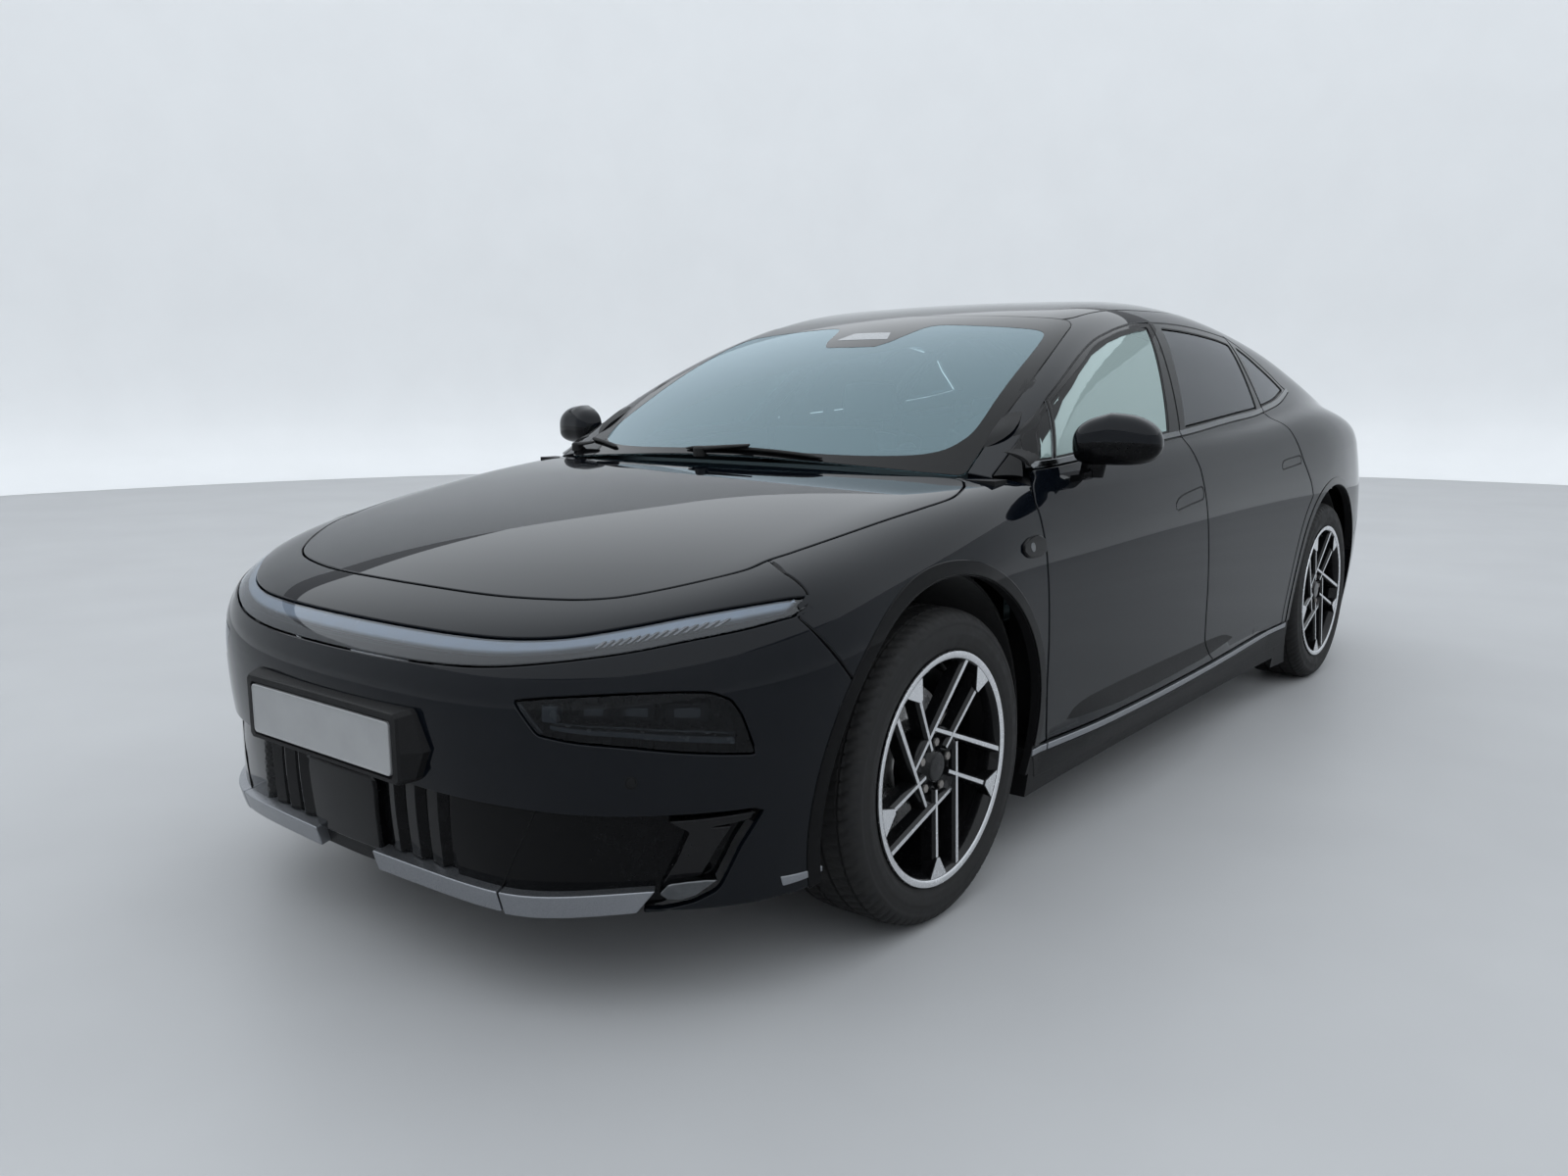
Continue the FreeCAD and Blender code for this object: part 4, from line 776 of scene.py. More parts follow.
for n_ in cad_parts:
    m_ = "dark"
    if n_.startswith("tyre"):
        m_ = "tyre"
    elif n_.startswith("rim"):
        m_ = "rimblack"
    elif n_.startswith("front_door") or n_.startswith("rear_door") or n_ in ("front_fenders", "rear_corner_panels", "nose_panel",
                                                                              "front_bumper", "rear_bumper", "tailgate", "bonnet"):
        m_ = "trim"
    elif n_.startswith("body_side"):
        m_ = "trim"
    elif n_ == "floor_pan":
        m_ = "carpet"
    elif n_ in ("battery_pack", "rear_drive_unit"):
        m_ = "alloy"
    elif n_ in ("front_subframe", "rear_subframe"):
        m_ = "under"
    elif n_ in ("wheel_arch_liners", "front_trunk"):
        m_ = "liner"
    elif n_.startswith("front_knuckle"):
        m_ = "iron"
    elif n_ == "dashboard":
        m_ = "dash"
    elif n_ in ("cowl_panel", "lower_grille"):
        m_ = "trim"
    elif n_ == "roof_panel":
        m_ = "headliner"
    dress(n_, M[m_])

# =====================================================================================
# outlines, as on the model (metres)
# =====================================================================================
FY, RY, WZ, AR = -1.564, 1.436, .364, .44
B_SHUT = [(.127, .306), (.094, .357), (.060, .46), (.044, .563), (.032, .693), (.020, .80), (.006, .88), (-.015, .95),
          (-.040, 1.01), (-.052, 1.062), (.213, 1.430)]
F_FRONT = [(-1.048, .306), (-1.066, .36), (-1.093, .464), (-1.105, .594), (-1.109, .719), (-1.112, .82), (-1.118, .88),
           (-1.116, .93), (-1.09, .965), (-1.05, .992)]
F_TOP = [(-1.046, 1.052), (-.95, 1.107), (-.75, 1.209), (-.58, 1.279), (-.42, 1.339), (-.25, 1.378), (-.11, 1.402),
         (.05, 1.421), (.213, 1.430)]
ARC = [(RY - .52 * math.cos(RAD(t)), .364 + .52 * math.sin(RAD(t))) for t in (54, 44, 34, 24, 14, 4, -1)]
R_TOP = [(.213, 1.430), (.42, 1.431), (.62, 1.424), (.80, 1.409), (.945, 1.392)]
R_BACK = [(.870, 1.108), (.89, 1.094), (.93, 1.055), (.953, 1.015), (.985, .97), (1.018, .924), (1.06, .88), (1.10, .837)]
FRONT_WIN = [(-1.005, 1.030), (-.93, 1.075), (-.74, 1.175), (-.58, 1.243), (-.42, 1.302), (-.25, 1.343),
             (-.11, 1.367), (.02, 1.384), (.140, 1.393), (-.138, 1.072), (-.5, 1.055), (-.93, 1.033)]
REAR_WIN = [(.015, 1.079), (.28, 1.402), (.45, 1.398), (.62, 1.389), (.78, 1.376), (.90, 1.360), (.802, 1.124), (.5, 1.108)]
QUARTER_WIN = [(.978, 1.350), (1.05, 1.318), (1.119, 1.281), (1.22, 1.232), (1.31, 1.185), (1.10, 1.152), (.880, 1.131)]
BONNET = [(0, -1.262), (.20, -1.258), (.40, -1.246), (.55, -1.228), (.66, -1.208), (.725, -1.196),
          (.765, -1.212), (.80, -1.27), (.828, -1.37), (.822, -1.49), (.805, -1.627), (.784, -1.784),
          (.762, -1.90), (.746, -1.955), (.735, -2.02), (.671, -2.121), (.591, -2.205), (.52, -2.245),
          (.435, -2.271), (.33, -2.292), (.224, -2.303), (.11, -2.308), (0, -2.310)]
WINDSCREEN = [(0, -1.248), (.20, -1.242), (.40, -1.226), (.60, -1.194), (.722, -1.165), (.735, -1.150),
              (.716, -.999), (.69, -.79), (.653, -.548), (.605, -.345), (.585, -.315), (.40, -.308), (.20, -.304), (0, -.303)]
ROOF = [(0, -.296), (.20, -.297), (.40, -.301), (.575, -.307), (.593, -.25), (.590, 0), (.575, .40), (.545, .70),
        (.515, .90), (.49, .937), (.40, .941), (0, .941)]
GATE_X = Spl([(.956, .49), (1.02, .525), (1.20, .56), (1.40, .59), (1.60, .615), (1.80, .645), (2.00, .675), (2.15, .70),
              (2.30, .715), (2.45, .72), (2.65, .72)])
REAR_WINDOW = [(0, 1.05), (.42, 1.05), (.47, 1.09), (.52, 1.40), (.555, 1.70), (.585, 1.95), (.56, 2.05), (.40, 2.10), (0, 2.12)]
LB_TOP = [(0, .737), (.172, .737), (.314, .7375), (.45, .7405), (.57, .7515), (.68, .774), (.745, .790), (.805, .803),
          (.86, .8125), (.883, .812)]
LB_BOT = [(.893, .800), (.885, .783), (.846, .769), (.781, .753), (.704, .734), (.575, .711), (.458, .695), (.340, .687),
          (.200, .684), (0, .683)]
HEADLAMP = [(.528, .639), (.596, .650), (.725, .662), (.827, .661), (.855, .645), (.867, .613), (.880, .536),
            (.804, .550), (.726, .563), (.633, .571), (.576, .580)]
GRILLE = [(0, .433), (.197, .433), (.312, .428), (.504, .424), (.654, .422), (.797, .424), (.882, .4229), (.867, .3836),
          (.8506, .3456), (.8353, .3058), (.8149, .2614), (.799, .2487), (.781, .2379), (.744, .2277), (.704, .2230)]
LIP = Spl([(0, .032), (.30, .037), (.42, .045), (.52, .046), (.62, .027), (.72, .006), (.80, .0), (.95, 0)])
BELT = Spl([(-1.05, 1.006), (-.93, 1.011), (-.5, 1.033), (-.138, 1.050), (.015, 1.057), (.5, 1.086), (.802, 1.102),
            (.88, 1.109), (1.10, 1.130), (1.31, 1.163), (1.40, 1.180)])


F_TOPV = [(-.977, 1.0795), (-.889, 1.129), (-.762, 1.194), (-.531, 1.286), (-.35, 1.343), (-.202, 1.374), (-.08, 1.394),
          (.05, 1.410), (.213, 1.419)]
R_TOPV = [(.213, 1.419), (.42, 1.421), (.62, 1.415), (.80, 1.402), (.945, 1.3875)]
P_LOW = [(-1.133, .9905), (-1.092, 1.0135), (-1.040, 1.0432), (-.977, 1.0795)]
FRONT_WINV = [(-.992, 1.030), (-.958, 1.066), (-.930, 1.092), (-.80, 1.166), (-.68, 1.215), (-.524, 1.2705), (-.36, 1.327), (-.22, 1.357),
              (-.10, 1.378), (.02, 1.391), (.148, 1.401), (-.136, 1.068), (-.5, 1.050), (-.93, 1.026)]
SCREEN_SIDE = [(.735, -1.150), (.725, -1.05), (.716, -.945), (.703, -.761), (.676, -.58), (.641, -.415), (.622, -.345), (.600, -.315)]


def belt(y0, y1, dz=0.0, n=40):
    y = np.linspace(y0, y1, n)
    return np.stack([y, BELT(y) + dz], 1)


def sym_xy(pts):
    """Half outline from x = 0 to x = 0, closed by its mirror image."""
    p = smooth(pts, step=.010)
    q = p[::-1] * np.array([-1., 1])
    return p, q


side = Chart("side", FV)
side_l = Chart("side", FLB)
side_g = Chart("side", FGH)
gatec = Chart("gate", FV)
nosec = Chart("nose", FLB)
tailc = Chart("tail", FV)
topg = Chart("top", FGH)
bonc = Chart("bon", FLB)
A = np.array

# ---------------------------------------------------------------- doors
FH = [(-.232, .838), (-.150, .846), (-.060, .853), (-.016, .857), (-.008, .868), (-.010, .888), (-.022, .894), (-.090, .889),
      (-.160, .882), (-.215, .872), (-.238, .858), (-.242, .846)]
RH = [(.778, .904), (.860, .909), (.940, .914), (.984, .917), (.991, .926), (.988, .940), (.975, .944), (.900, .941), (.830, .937),
      (.790, .932), (.776, .920)]


def closed(pts, fn, **k):
    q = smooth(pts, closed=True, **k)
    return [(fn(np.vstack([q, q[:1]]), sm=False), True)]


def on_x(poly):
    return lx(poly, sm=False)


fb = lx([(-1.048, .306), (.127, .306)])
fB = lx(B_SHUT[:9] + [(-.050, 1.054)])
fbelt = on_x(belt(-.050, -1.049))
ffr = lx([(-1.049, 1.006), (-1.05, .992)] + F_FRONT[8::-1])
skin("front_door_skin_{}", side, [[(fb, True), (fB, True), (fbelt, True), (ffr, True)], closed(FH, lx)], M["paint"],
     "front_door_{}", du=.016)
skin("front_handle_{}", side, [closed(FH, lx)], M["paint"], "front_door_{}", du=.012, gap=.0012, r=.002, flange=.004, rc=.004)
rb = lx([(.127, .306), (.925, .306)])
rarc = lx([(.925, .306), (.920, .32)] + ARC[::-1], corner=80)
rback = lx([ARC[0]] + R_BACK[::-1])
rbelt = on_x(belt(.870, -.050))
skin("rear_door_skin_{}", side, [[(rb, True), (rarc, True), (rback, True), (rbelt, True), (fB[::-1], True)], closed(RH, lx)],
     M["paint"], "rear_door_{}", du=.016)
skin("rear_handle_{}", side, [closed(RH, lx)], M["paint"], "rear_door_{}", du=.012, gap=.0012, r=.002, flange=.004, rc=.004)


def win_loop(pts, F=FGH, grow=0.0):
    q = smooth(pts, closed=True, step=.008)
    if grow:
        t = np.roll(q, -1, 0) - np.roll(q, 1, 0)
        t /= np.maximum(np.linalg.norm(t, axis=1, keepdims=True), 1e-9)
        nrm = np.stack([t[:, 1], -t[:, 0]], 1)
        if area(q) < 0:
            nrm = -nrm
        q = q + nrm * grow
    return [(lx(np.vstack([q, q[:1]]), F=F, sm=False), True)]


ftop = lx([(-1.060, 1.010), (-1.028, 1.039)] + F_TOPV, F=FGH, corner=50)
fBu = lx([(.205, 1.419), (-.050, 1.060)], F=FGH)
fbl = lx(belt(-.050, -1.060, .004), F=FGH, sm=False)
skin("front_door_frame_{}", side_g, [[(ftop, True), (fBu, True), (fbl, False)], win_loop(FRONT_WINV)], M["piano"], "front_door_{}",
     slot="gloss_black", du=.014, flange=.012)
rtop = lx([(.205, 1.419)] + R_TOPV[1:], F=FGH)
rbk = lx([(.943, 1.3875), (.895, 1.262), (.870, 1.112)], F=FGH, corner=60)
rbl = lx(belt(.870, -.050, .004), F=FGH, sm=False)
skin("rear_door_frame_{}", side_g, [[(rtop, True), (rbk, True), (rbl, False), (fBu[::-1], True)], win_loop(REAR_WIN)], M["piano"],
     "rear_door_{}", slot="gloss_black", du=.014, flange=.012)
for nm, w, body, mt in (("front_door_glass", FRONT_WINV, "front_door_{}", "doorglass"), ("rear_door_glass", REAR_WIN, "rear_door_{}", "darkglass"),
                        ("quarter_glass", QUARTER_WIN, "root", "darkglass")):
    co, fa, no, mi = build(side_g, [win_loop(w)], du=.03, off=-.002, gap=-.003, r=0, flange=.004, rc=0, thick=.004)
    for sd, s_ in (("left", 1), ("right", -1)):
        c_ = co * A([s_, 1, 1])
        f_ = fa if s_ > 0 else [t[::-1] for t in fa]
        nn = nm + "_" + sd
        o_ = add(nm + "_pane_" + sd, c_, f_, no * A([s_, 1, 1]), [M[mt]], body.format(sd),
                 "door_glass" if mt == "doorglass" else "dark_glass")
        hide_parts(nn if nm != "quarter_glass" else "quarter_glass")
qtop = [(.950, 1.392), (1.05, 1.345), (1.13, 1.305), (1.23, 1.255), (1.32, 1.206), (1.385, 1.180)]
qt = lx(qtop, F=FGH)
qb = lx(belt(1.385, .878, .004), F=FGH, sm=False)
qf = lx([(.878, 1.113), (.903, 1.262), (.950, 1.392)], F=FGH, corner=60)
skin("quarter_frame_{}", side_g, [[(qt, True), (qb, False), (qf, True)], win_loop(QUARTER_WIN)], M["piano"], "root",
     slot="gloss_black", du=.012, flange=.012)
# belt strips, one on each door and one on the quarter
for nm, y0, y1, body in (("front", -1.040, -.054, "front_door_{}"), ("rear", -.046, .868, "rear_door_{}"), ("quarter", .876, 1.392, "root")):
    lo_, hi_ = on_x(belt(y0, y1, .001)), on_x(belt(y1, y0, .017))
    skin("belt_strip_" + nm + "_{}", side, [[(lo_, True), (resample(A([lo_[-1], hi_[0]]), .006), True), (hi_, True),
                                            (resample(A([hi_[-1], lo_[0]]), .006), True)]], M["dchrome"], body, slot="silver_trim",
         du=.008, off=.0035, gap=.0, r=.003, flange=.004, rc=.004, step=.007)

# ---------------------------------------------------------------- body side
SEAM = 2.05
ws = lz(SCREEN_SIDE, F=FGH)
rf = lz([(.585, -.315), (.593, -.25)] + ROOF[5:8] + [(.515, .90), (.489, .945)], F=FGH)


def gate_edge(y_from, y_to=None, z_to=None, n=120):
    """The tailgate's left edge on the surface, from the top down."""
    z0 = float(lz([(float(GATE_X(y_from)), y_from), (float(GATE_X(y_from)) - .001, y_from)], F=FV, sm=False)[0, 2])
    a0 = math.atan2(z0 - .60, y_from - 1.5)
    a1 = math.atan2((z_to or .72) - .60, 2.42 - 1.5) if z_to or y_to is None else math.atan2(1.0 - .60, y_to - 1.5)
    v = np.linspace(a0, a1, n) * .8
    x = np.full(n, .6)
    for _ in range(8):
        P = gatec.P(np.stack([x, v], 1))
        x = GATE_X(P[:, 1])
    return P


ge = gate_edge(.956, z_to=.716)
ge_a = ge[ge[:, 1] < SEAM]
# split exactly at the seam
k_ = int(np.argmax(ge[:, 1] >= SEAM))
t_ = (SEAM - ge[k_ - 1, 1]) / (ge[k_, 1] - ge[k_ - 1, 1])
ge_s = ge[k_ - 1] * (1 - t_) + ge[k_] * t_
ge_a = np.vstack([ge_a, ge_s])
ge_b = np.vstack([ge_s, ge[k_:]])
sh = lx([(SEAM, .66), (1.95, .60), (1.86, .52), (1.857, .492)], F=FV, corner=60)
v0 = side.inv(ge_s[None])[0, 1]
v1 = side.inv(sh[:1])[0, 1]
vv = np.linspace(v0, v1, 90)
seam = side.P(np.stack([np.full(90, SEAM), vv], 1))
seam[0], seam[-1] = ge_s, sh[0]
an0 = math.degrees(math.atan2(.492 - WZ, 1.857 - RY))
an1 = 180 + math.degrees(math.asin((WZ - .306) / AR))
qarch = on_x(arc_pts(RY, WZ, AR, an0, an1, 120))


def geo(chart, pa, pb, n=40):
    """Short way between two points on a surface, in the chart's own coordinates."""
    q = chart.inv(np.stack([pa, pb]))
    t = np.linspace(0, 1, n)[:, None]
    P = chart.P(q[0] * (1 - t) + q[1] * t)
    return P


SEAM2 = .945
roof_pt = lz([(.489, SEAM2)], F=FGH, sm=False)[0]
door_pt = lx([(SEAM2, 1.3880)], F=FGH, sm=False)[0]
va, vb = side_g.inv(roof_pt[None])[0, 1], side_g.inv(door_pt[None])[0, 1]
seam2 = side_g.P(np.stack([np.full(80, SEAM2), np.linspace(va, vb, 80)], 1))
seam2[0], seam2[-1] = roof_pt, door_pt
ws_c = lz([WINDSCREEN[5]], F=FGH, sm=False)[0]
base = lx([(-1.133, .9905), (-1.140, .984)], F=FGH, corner=60)
base2 = geo(side_g, base[-1], ws_c, 12)
pil = [(lx(R_TOPV[::-1] + F_TOPV[::-1][1:] + P_LOW[::-1][1:], F=FGH), True), (base, True), (base2, True), (ws, True), (rf, True), (seam2, False)]
skin("roof_rail_skin_{}", side_g, [pil], M["paint"], "root", du=.013, step=.008)
loop = [(lx([(.925, .306), (.920, .32)] + ARC[::-1], corner=80), True),
        (lx([ARC[0]] + R_BACK[::-1][:-1] + [(.874, 1.105)]), True),
        (on_x(belt(.876, 1.392, .0)), True),
        (lx([(1.392, 1.180)] + qtop[::-1][1:], F=FV), True),
        (np.stack([lx([(.948, 1.396)], F=FV, sm=False)[0], seam2[-1]]), True),
        (seam2[::-1], False), (ge_a, True), (seam, False), (sh, True), (qarch, True),
        (lx([(1.000, .306), (.925, .306)]), True)]
skin("rear_quarter_skin_{}", side, [loop], M["paint"], "root", du=.016)
# corner behind the seam
low = np.vstack([lx([(SEAM, .66), (2.20, .70), (2.30, .708)], F=FV)])
xe = float(ge_b[-1, 0])
pb = low[-1]
m_ = 30
ph0, ph1 = math.atan2(pb[0], pb[1] - 1.45), math.atan2(xe, ge_b[-1, 1] - 1.45)
tt = np.linspace(0, 1, m_)
lowb = []
for q in tt:
    ph = ph0 * (1 - q) + ph1 * q
    zt = pb[2] * (1 - q) + ge_b[-1, 2] * q
    a_ = math.atan2(zt - .60, .55)
    for _ in range(12):
        P_ = tailc.P(A([[ph * .95, a_ * .5]]))[0]
        R_ = math.hypot(P_[0], P_[1] - 1.45) - .45
        a_ = math.atan2(zt - .60, R_)
    lowb.append(P_)
lowb = A(lowb)
GE_, XE_, RB_LOW, RB_LOWB, RB_SH = ge, xe, low, lowb, sh
cl0 = [(x_, .909) for x_ in np.linspace(.754, .822, 16)] + [(x_, .971) for x_ in np.linspace(.816, .754, 16)]
cl_hole = [(lyr(cl0 + cl0[:1], sm=False), True)]
skin("rear_corner_skin_{}", tailc, [[(ge_b, True), (lowb[::-1], True), (low[::-1], True), (seam[::-1], False)], cl_hole], M["paint"], "root",
     du=.016)

# ---------------------------------------------------------------- fender
fsh_low = [(-1.955, .868), (-1.982, .851), (-1.994, .816), (-2.043, .777), (-2.006, .731), (-1.946, .654), (-1.927, .631), (-1.9225, .6205)]
fdoor = lx(F_FRONT[:9], F=FV)
ftopb = lz([(.893, -1.062), (.86, -1.090), (.82, -1.124), (.775, -1.150), (.738, -1.168), (.725, -1.196)], F=FLB)
fbon = lz(BONNET[5:14], F=FLB)
fsh = lx(fsh_low, F=FLB, corner=24)
a0_ = math.degrees(math.atan2(.6205 - WZ, -1.9225 - FY))
farch = lx(arc_pts(FY, WZ, AR, a0_, -math.degrees(math.asin((WZ - .306) / AR)), 120), F=FLB, sm=False)
skin("fender_skin_{}", side_l, [[(lx([(-1.128, .306), (-1.048, .306)]), True), (fdoor, True), (ftopb, True), (fbon, True), (fsh, True),
                                (farch, True)]], M["paint"], "root", du=.015)

# ---------------------------------------------------------------- bonnet
p1, p2 = sym_xy(BONNET)
bl = lz(np.vstack([p1, p2[1:]]), F=FLB, sm=False)
co, fa, no, mi = build(bonc, [[(bl, True)]], du=.020, off=.0015)
add("bonnet_skin", co, fa, no, [M["paint"]], "bonnet", "paint", mi)

# ---------------------------------------------------------------- nose panel, light bar, bumper
bonfront = lz(BONNET[13:], F=FLB)
side_up = lx([(-1.955, .868), (-1.982, .851), (-1.994, .816), (-2.030, .797)], F=FLB, corner=70)
lbt = lyf(LB_TOP, F=FLB)
nl = np.vstack([bonfront, flip(bonfront)[::-1][1:]])
loopn = [(nl, True), (flip(side_up), True), (flip(lbt)[::-1], True), (lbt[1:], True), (side_up[::-1], True)]
co, fa, no, mi = build(nosec, [loopn], du=.018)
add("nose_skin", co, fa, no, [M["paint"]], "root", "paint", mi)
lbb = lyf(LB_BOT, F=FLB)
tip = lyf([(.883, .812), (.893, .800)], F=FLB)
lbl = [(lbt, True), (tip, True), (lbb, True), (flip(lbb)[::-1][1:], True), (flip(tip)[::-1], True), (flip(lbt)[::-1], True)]
co, fa, no, mi = build(nosec, [lbl], du=.012, off=-.0008, gap=.0010, r=.004, flange=.010, rc=.005, step=.007)
add("light_bar_lens", co, fa, no, [M["lens"]], "root", "lamp_clear", mi)

shl = lx([(-2.043, .782), (-2.006, .731), (-1.946, .654), (-1.927, .631), (-1.9225, .6205)], F=FLB, corner=24)
an_lo = 360 - 180 + math.degrees(math.asin((WZ - .2265) / AR))
barch = lx(arc_pts(FY, WZ, AR, a0_, an_lo, 60), F=FLB, sm=False)
pe = barch[-1]
phs = np.linspace(math.atan2(pe[0], -(pe[1] + 1.5)), math.atan2(.704, .800), 60)


def ring_z(ch, cy, zc, phs, z, sgn):
    zt = np.zeros(len(phs)) + z
    a_ = np.arctan2(zt - zc, .5)
    for _ in range(10):
        P_ = ch.P(np.stack([phs * .95, a_ * .5], 1))
        a_ = np.arctan2(zt - zc, np.hypot(P_[:, 0], P_[:, 1] - cy) - .45)
    return P_


blow = ring_z(nosec, -1.5, .48, phs, np.interp(np.linspace(0, 1, 60), [0, .15, .4, .8, 1.0], [.2265, .2205, .2168, .2178, .2215]), -1)
gq = smooth(GRILLE[::-1], step=.006)
gl_half = lyf(gq, F=FLB, sm=False)
half = [(lbb[::-1], True), (lyf([(.893, .800), (.893, .790)], F=FLB), True), (shl, True), (barch, True), (blow, True), (gl_half, True)]
right_ = [(flip(s_[0])[::-1], s_[1]) for s_ in half[::-1]]
headl = closed(HEADLAMP, lyf)
headr = [(flip(headl[0][0])[::-1], True)]
co, fa, no, mi = build(nosec, [half + right_, headl, headr], du=.016, flange=.012, thick=.014)
add("bumper_skin", co, fa, no, [M["paint"], M["dark"]], "root", "paint", mi, ["front_bumper"])


# ---------------------------------------------------------------- roof, screen, tailgate, rear bumper
p1, p2 = sym_xy(ROOF)
rl = lz(np.vstack([p1, p2[1:]]), F=FGH, sm=False)
co, fa, no, mi = build(topg, [[(rl, True)]], du=.030, off=0.0, gap=.0025, thick=.028, flange=.020)
add("roof_skin", co, fa, no, [M["piano"], M["headliner"]], "root", "gloss_black", mi, ["roof_panel"])
p1, p2 = sym_xy(WINDSCREEN[:5] + SCREEN_SIDE + WINDSCREEN[11:])
wl = lz(np.vstack([p1, p2[1:]]), F=FGH, sm=False)
co, fa, no, mi = build(topg, [[(wl, True)]], du=.030, off=.0014, gap=.0022, r=.001, thick=.005, flange=.004)
add("windscreen_pane", co, fa, no, [M["screenglass"], M["screenfilm"]], "root", "screen_glass", mi, ["windscreen"])

# =====================================================================================
# small builders
# =====================================================================================


def merge(parts):
    """Join (co, faces, normals, fmat) tuples."""
    co, fa, no, mi, k = [], [], [], [], 0
    for c, f, n, m in parts:
        co.append(np.asarray(c, float))
        no.append(np.asarray(n, float))
        fa += [tuple(int(q) + k for q in t) for t in f]
        mi += list(m)
        k += len(c)
    return np.vstack(co), fa, np.vstack(no), mi


def put_pair(name, part, mats, body="root", slot=None, replaces=(), both=True):
    co, fa, no, mi = part
    out = []
    for sd, s_ in (("left", 1), ("right", -1)):
        if not both and s_ < 0:
            continue
        c_ = co * A([s_, 1, 1])
        f_ = fa if s_ > 0 else [t[::-1] for t in fa]
        out.append(add(name.format(sd), c_, f_, no * A([s_, 1, 1]), mats, body.format(sd), slot, mi,
                       [q.format(sd) for q in replaces]))
    return out


def flatn(co, faces, mi):
    """Give every face its own corners, so that edges stay sharp."""
    co = np.asarray(co, float)
    C, Fc, Nn, k = [], [], [], 0
    for f in faces:
        p = co[list(f)]
        n = np.zeros(3)
        for i in range(1, len(p) - 1):
            n += np.cross(p[i] - p[0], p[i + 1] - p[0])
        n /= max(np.linalg.norm(n), 1e-12)
        C += list(p)
        Nn += [n] * len(p)
        Fc.append(tuple(range(k, k + len(p))))
        k += len(p)
    return A(C), Fc, A(Nn), list(mi)


def prism(poly, fn, d0, d1, m=0, bevel=0.0, msides=None):
    """Solid between two offsets d0 < d1 of a closed 2-D outline; fn(u, v, d) gives the point. The far rim may be bevelled."""
    poly = A(poly)
    if area(poly) < 0:
        poly = poly[::-1]
    n = len(poly)
    rings = [(poly, d0)]
    if bevel:
        t = np.roll(poly, -1, 0) - np.roll(poly, 1, 0)
        t /= np.maximum(np.linalg.norm(t, axis=1, keepdims=True), 1e-9)
        ins = poly + np.stack([-t[:, 1], t[:, 0]], 1) * bevel
        rings += [(poly, d1 - bevel), (ins, d1)]
    else:
        rings += [(poly, d1)]
    co = []
    for p, d in rings:
        co += [fn(u, v, d) for u, v in p]
    co = A(co)
    f, mi = [], []
    for r_ in range(len(rings) - 1):
        for i in range(n):
            j = (i + 1) % n
            f.append((r_ * n + i, r_ * n + j, (r_ + 1) * n + j, (r_ + 1) * n + i))
            mi.append(m if msides is None else msides)
    k = (len(rings) - 1) * n
    f.append(tuple(range(k, k + n)))
    mi.append(m)
    f.append(tuple(range(n - 1, -1, -1)))
    mi.append(m if msides is None else msides)
    c0 = co.mean(0)
    p0 = co[[f[-2][0], f[-2][1], f[-2][2]]]
    # orientation: outward is from ring 0 to the last ring on the far cap
    out = co[k:].mean(0) - co[:n].mean(0)
    if np.dot(_newell(co[list(f[-2])]), out) < 0:
        f = [t[::-1] for t in f]
    return flatn(co, f, mi)


def _newell(p):
    n = np.zeros(3)
    for i in range(len(p)):
        a, b = p[i], p[(i + 1) % len(p)]
        n += np.cross(a, b)
    return n


def sweep(P, N, prof, closed_path=False, m=0, flatten=False, scale=None):
    """Closed profile of (u, v) carried along the path; u is sideways (T x N), v along N."""
    P, N = A(P), A(N)
    if closed_path:
        T = np.roll(P, -1, 0) - np.roll(P, 1, 0)
    else:
        T = np.gradient(P, axis=0)
    T /= np.maximum(np.linalg.norm(T, axis=1, keepdims=True), 1e-9)
    B = np.cross(T, N)
    B /= np.maximum(np.linalg.norm(B, axis=1, keepdims=True), 1e-9)
    Nn = np.cross(B, T)
    pr = A(prof)
    if area(pr) < 0:
        pr = pr[::-1]
    k, n = len(pr), len(P)
    sc = np.ones(n) if scale is None else A(scale)
    co = (P[:, None, :] + B[:, None, :] * pr[None, :, 0:1] * sc[:, None, None] + Nn[:, None, :] * pr[None, :, 1:2] * sc[:, None, None]).reshape(-1, 3)
    e = np.roll(pr, -1, 0) - pr
    en = np.stack([e[:, 1], -e[:, 0]], 1)
    vn = en + np.roll(en, 1, 0)
    vn /= np.maximum(np.linalg.norm(vn, axis=1, keepdims=True), 1e-9)
    no = (B[:, None, :] * vn[None, :, 0:1] + Nn[:, None, :] * vn[None, :, 1:2]).reshape(-1, 3)
    f, mi = [], []
    for i in range(n if closed_path else n - 1):
        i2 = (i + 1) % n
        for j in range(k):
            j2 = (j + 1) % k
            f.append((i * k + j, i * k + j2, i2 * k + j2, i2 * k + j))
            mi.append(m)
    # winding against the wanted normals
    q = f[0]
    w = np.cross(co[q[1]] - co[q[0]], co[q[3]] - co[q[0]])
    if np.dot(w, no[q[0]] + no[q[1]]) < 0:
        f = [t[::-1] for t in f]
        rev = True
    else:
        rev = False
    if not closed_path:
        a_, b_ = tuple(range(k)), tuple(range((n - 1) * k, n * k))
        if np.dot(_newell(co[list(a_)]), -T[0]) < 0:
            a_ = a_[::-1]
        if np.dot(_newell(co[list(b_)]), T[-1]) < 0:
            b_ = b_[::-1]
        f += [a_, b_]
        mi += [m, m]
    if flatten:
        return flatn(co, f, mi)
    return co, f, no, mi


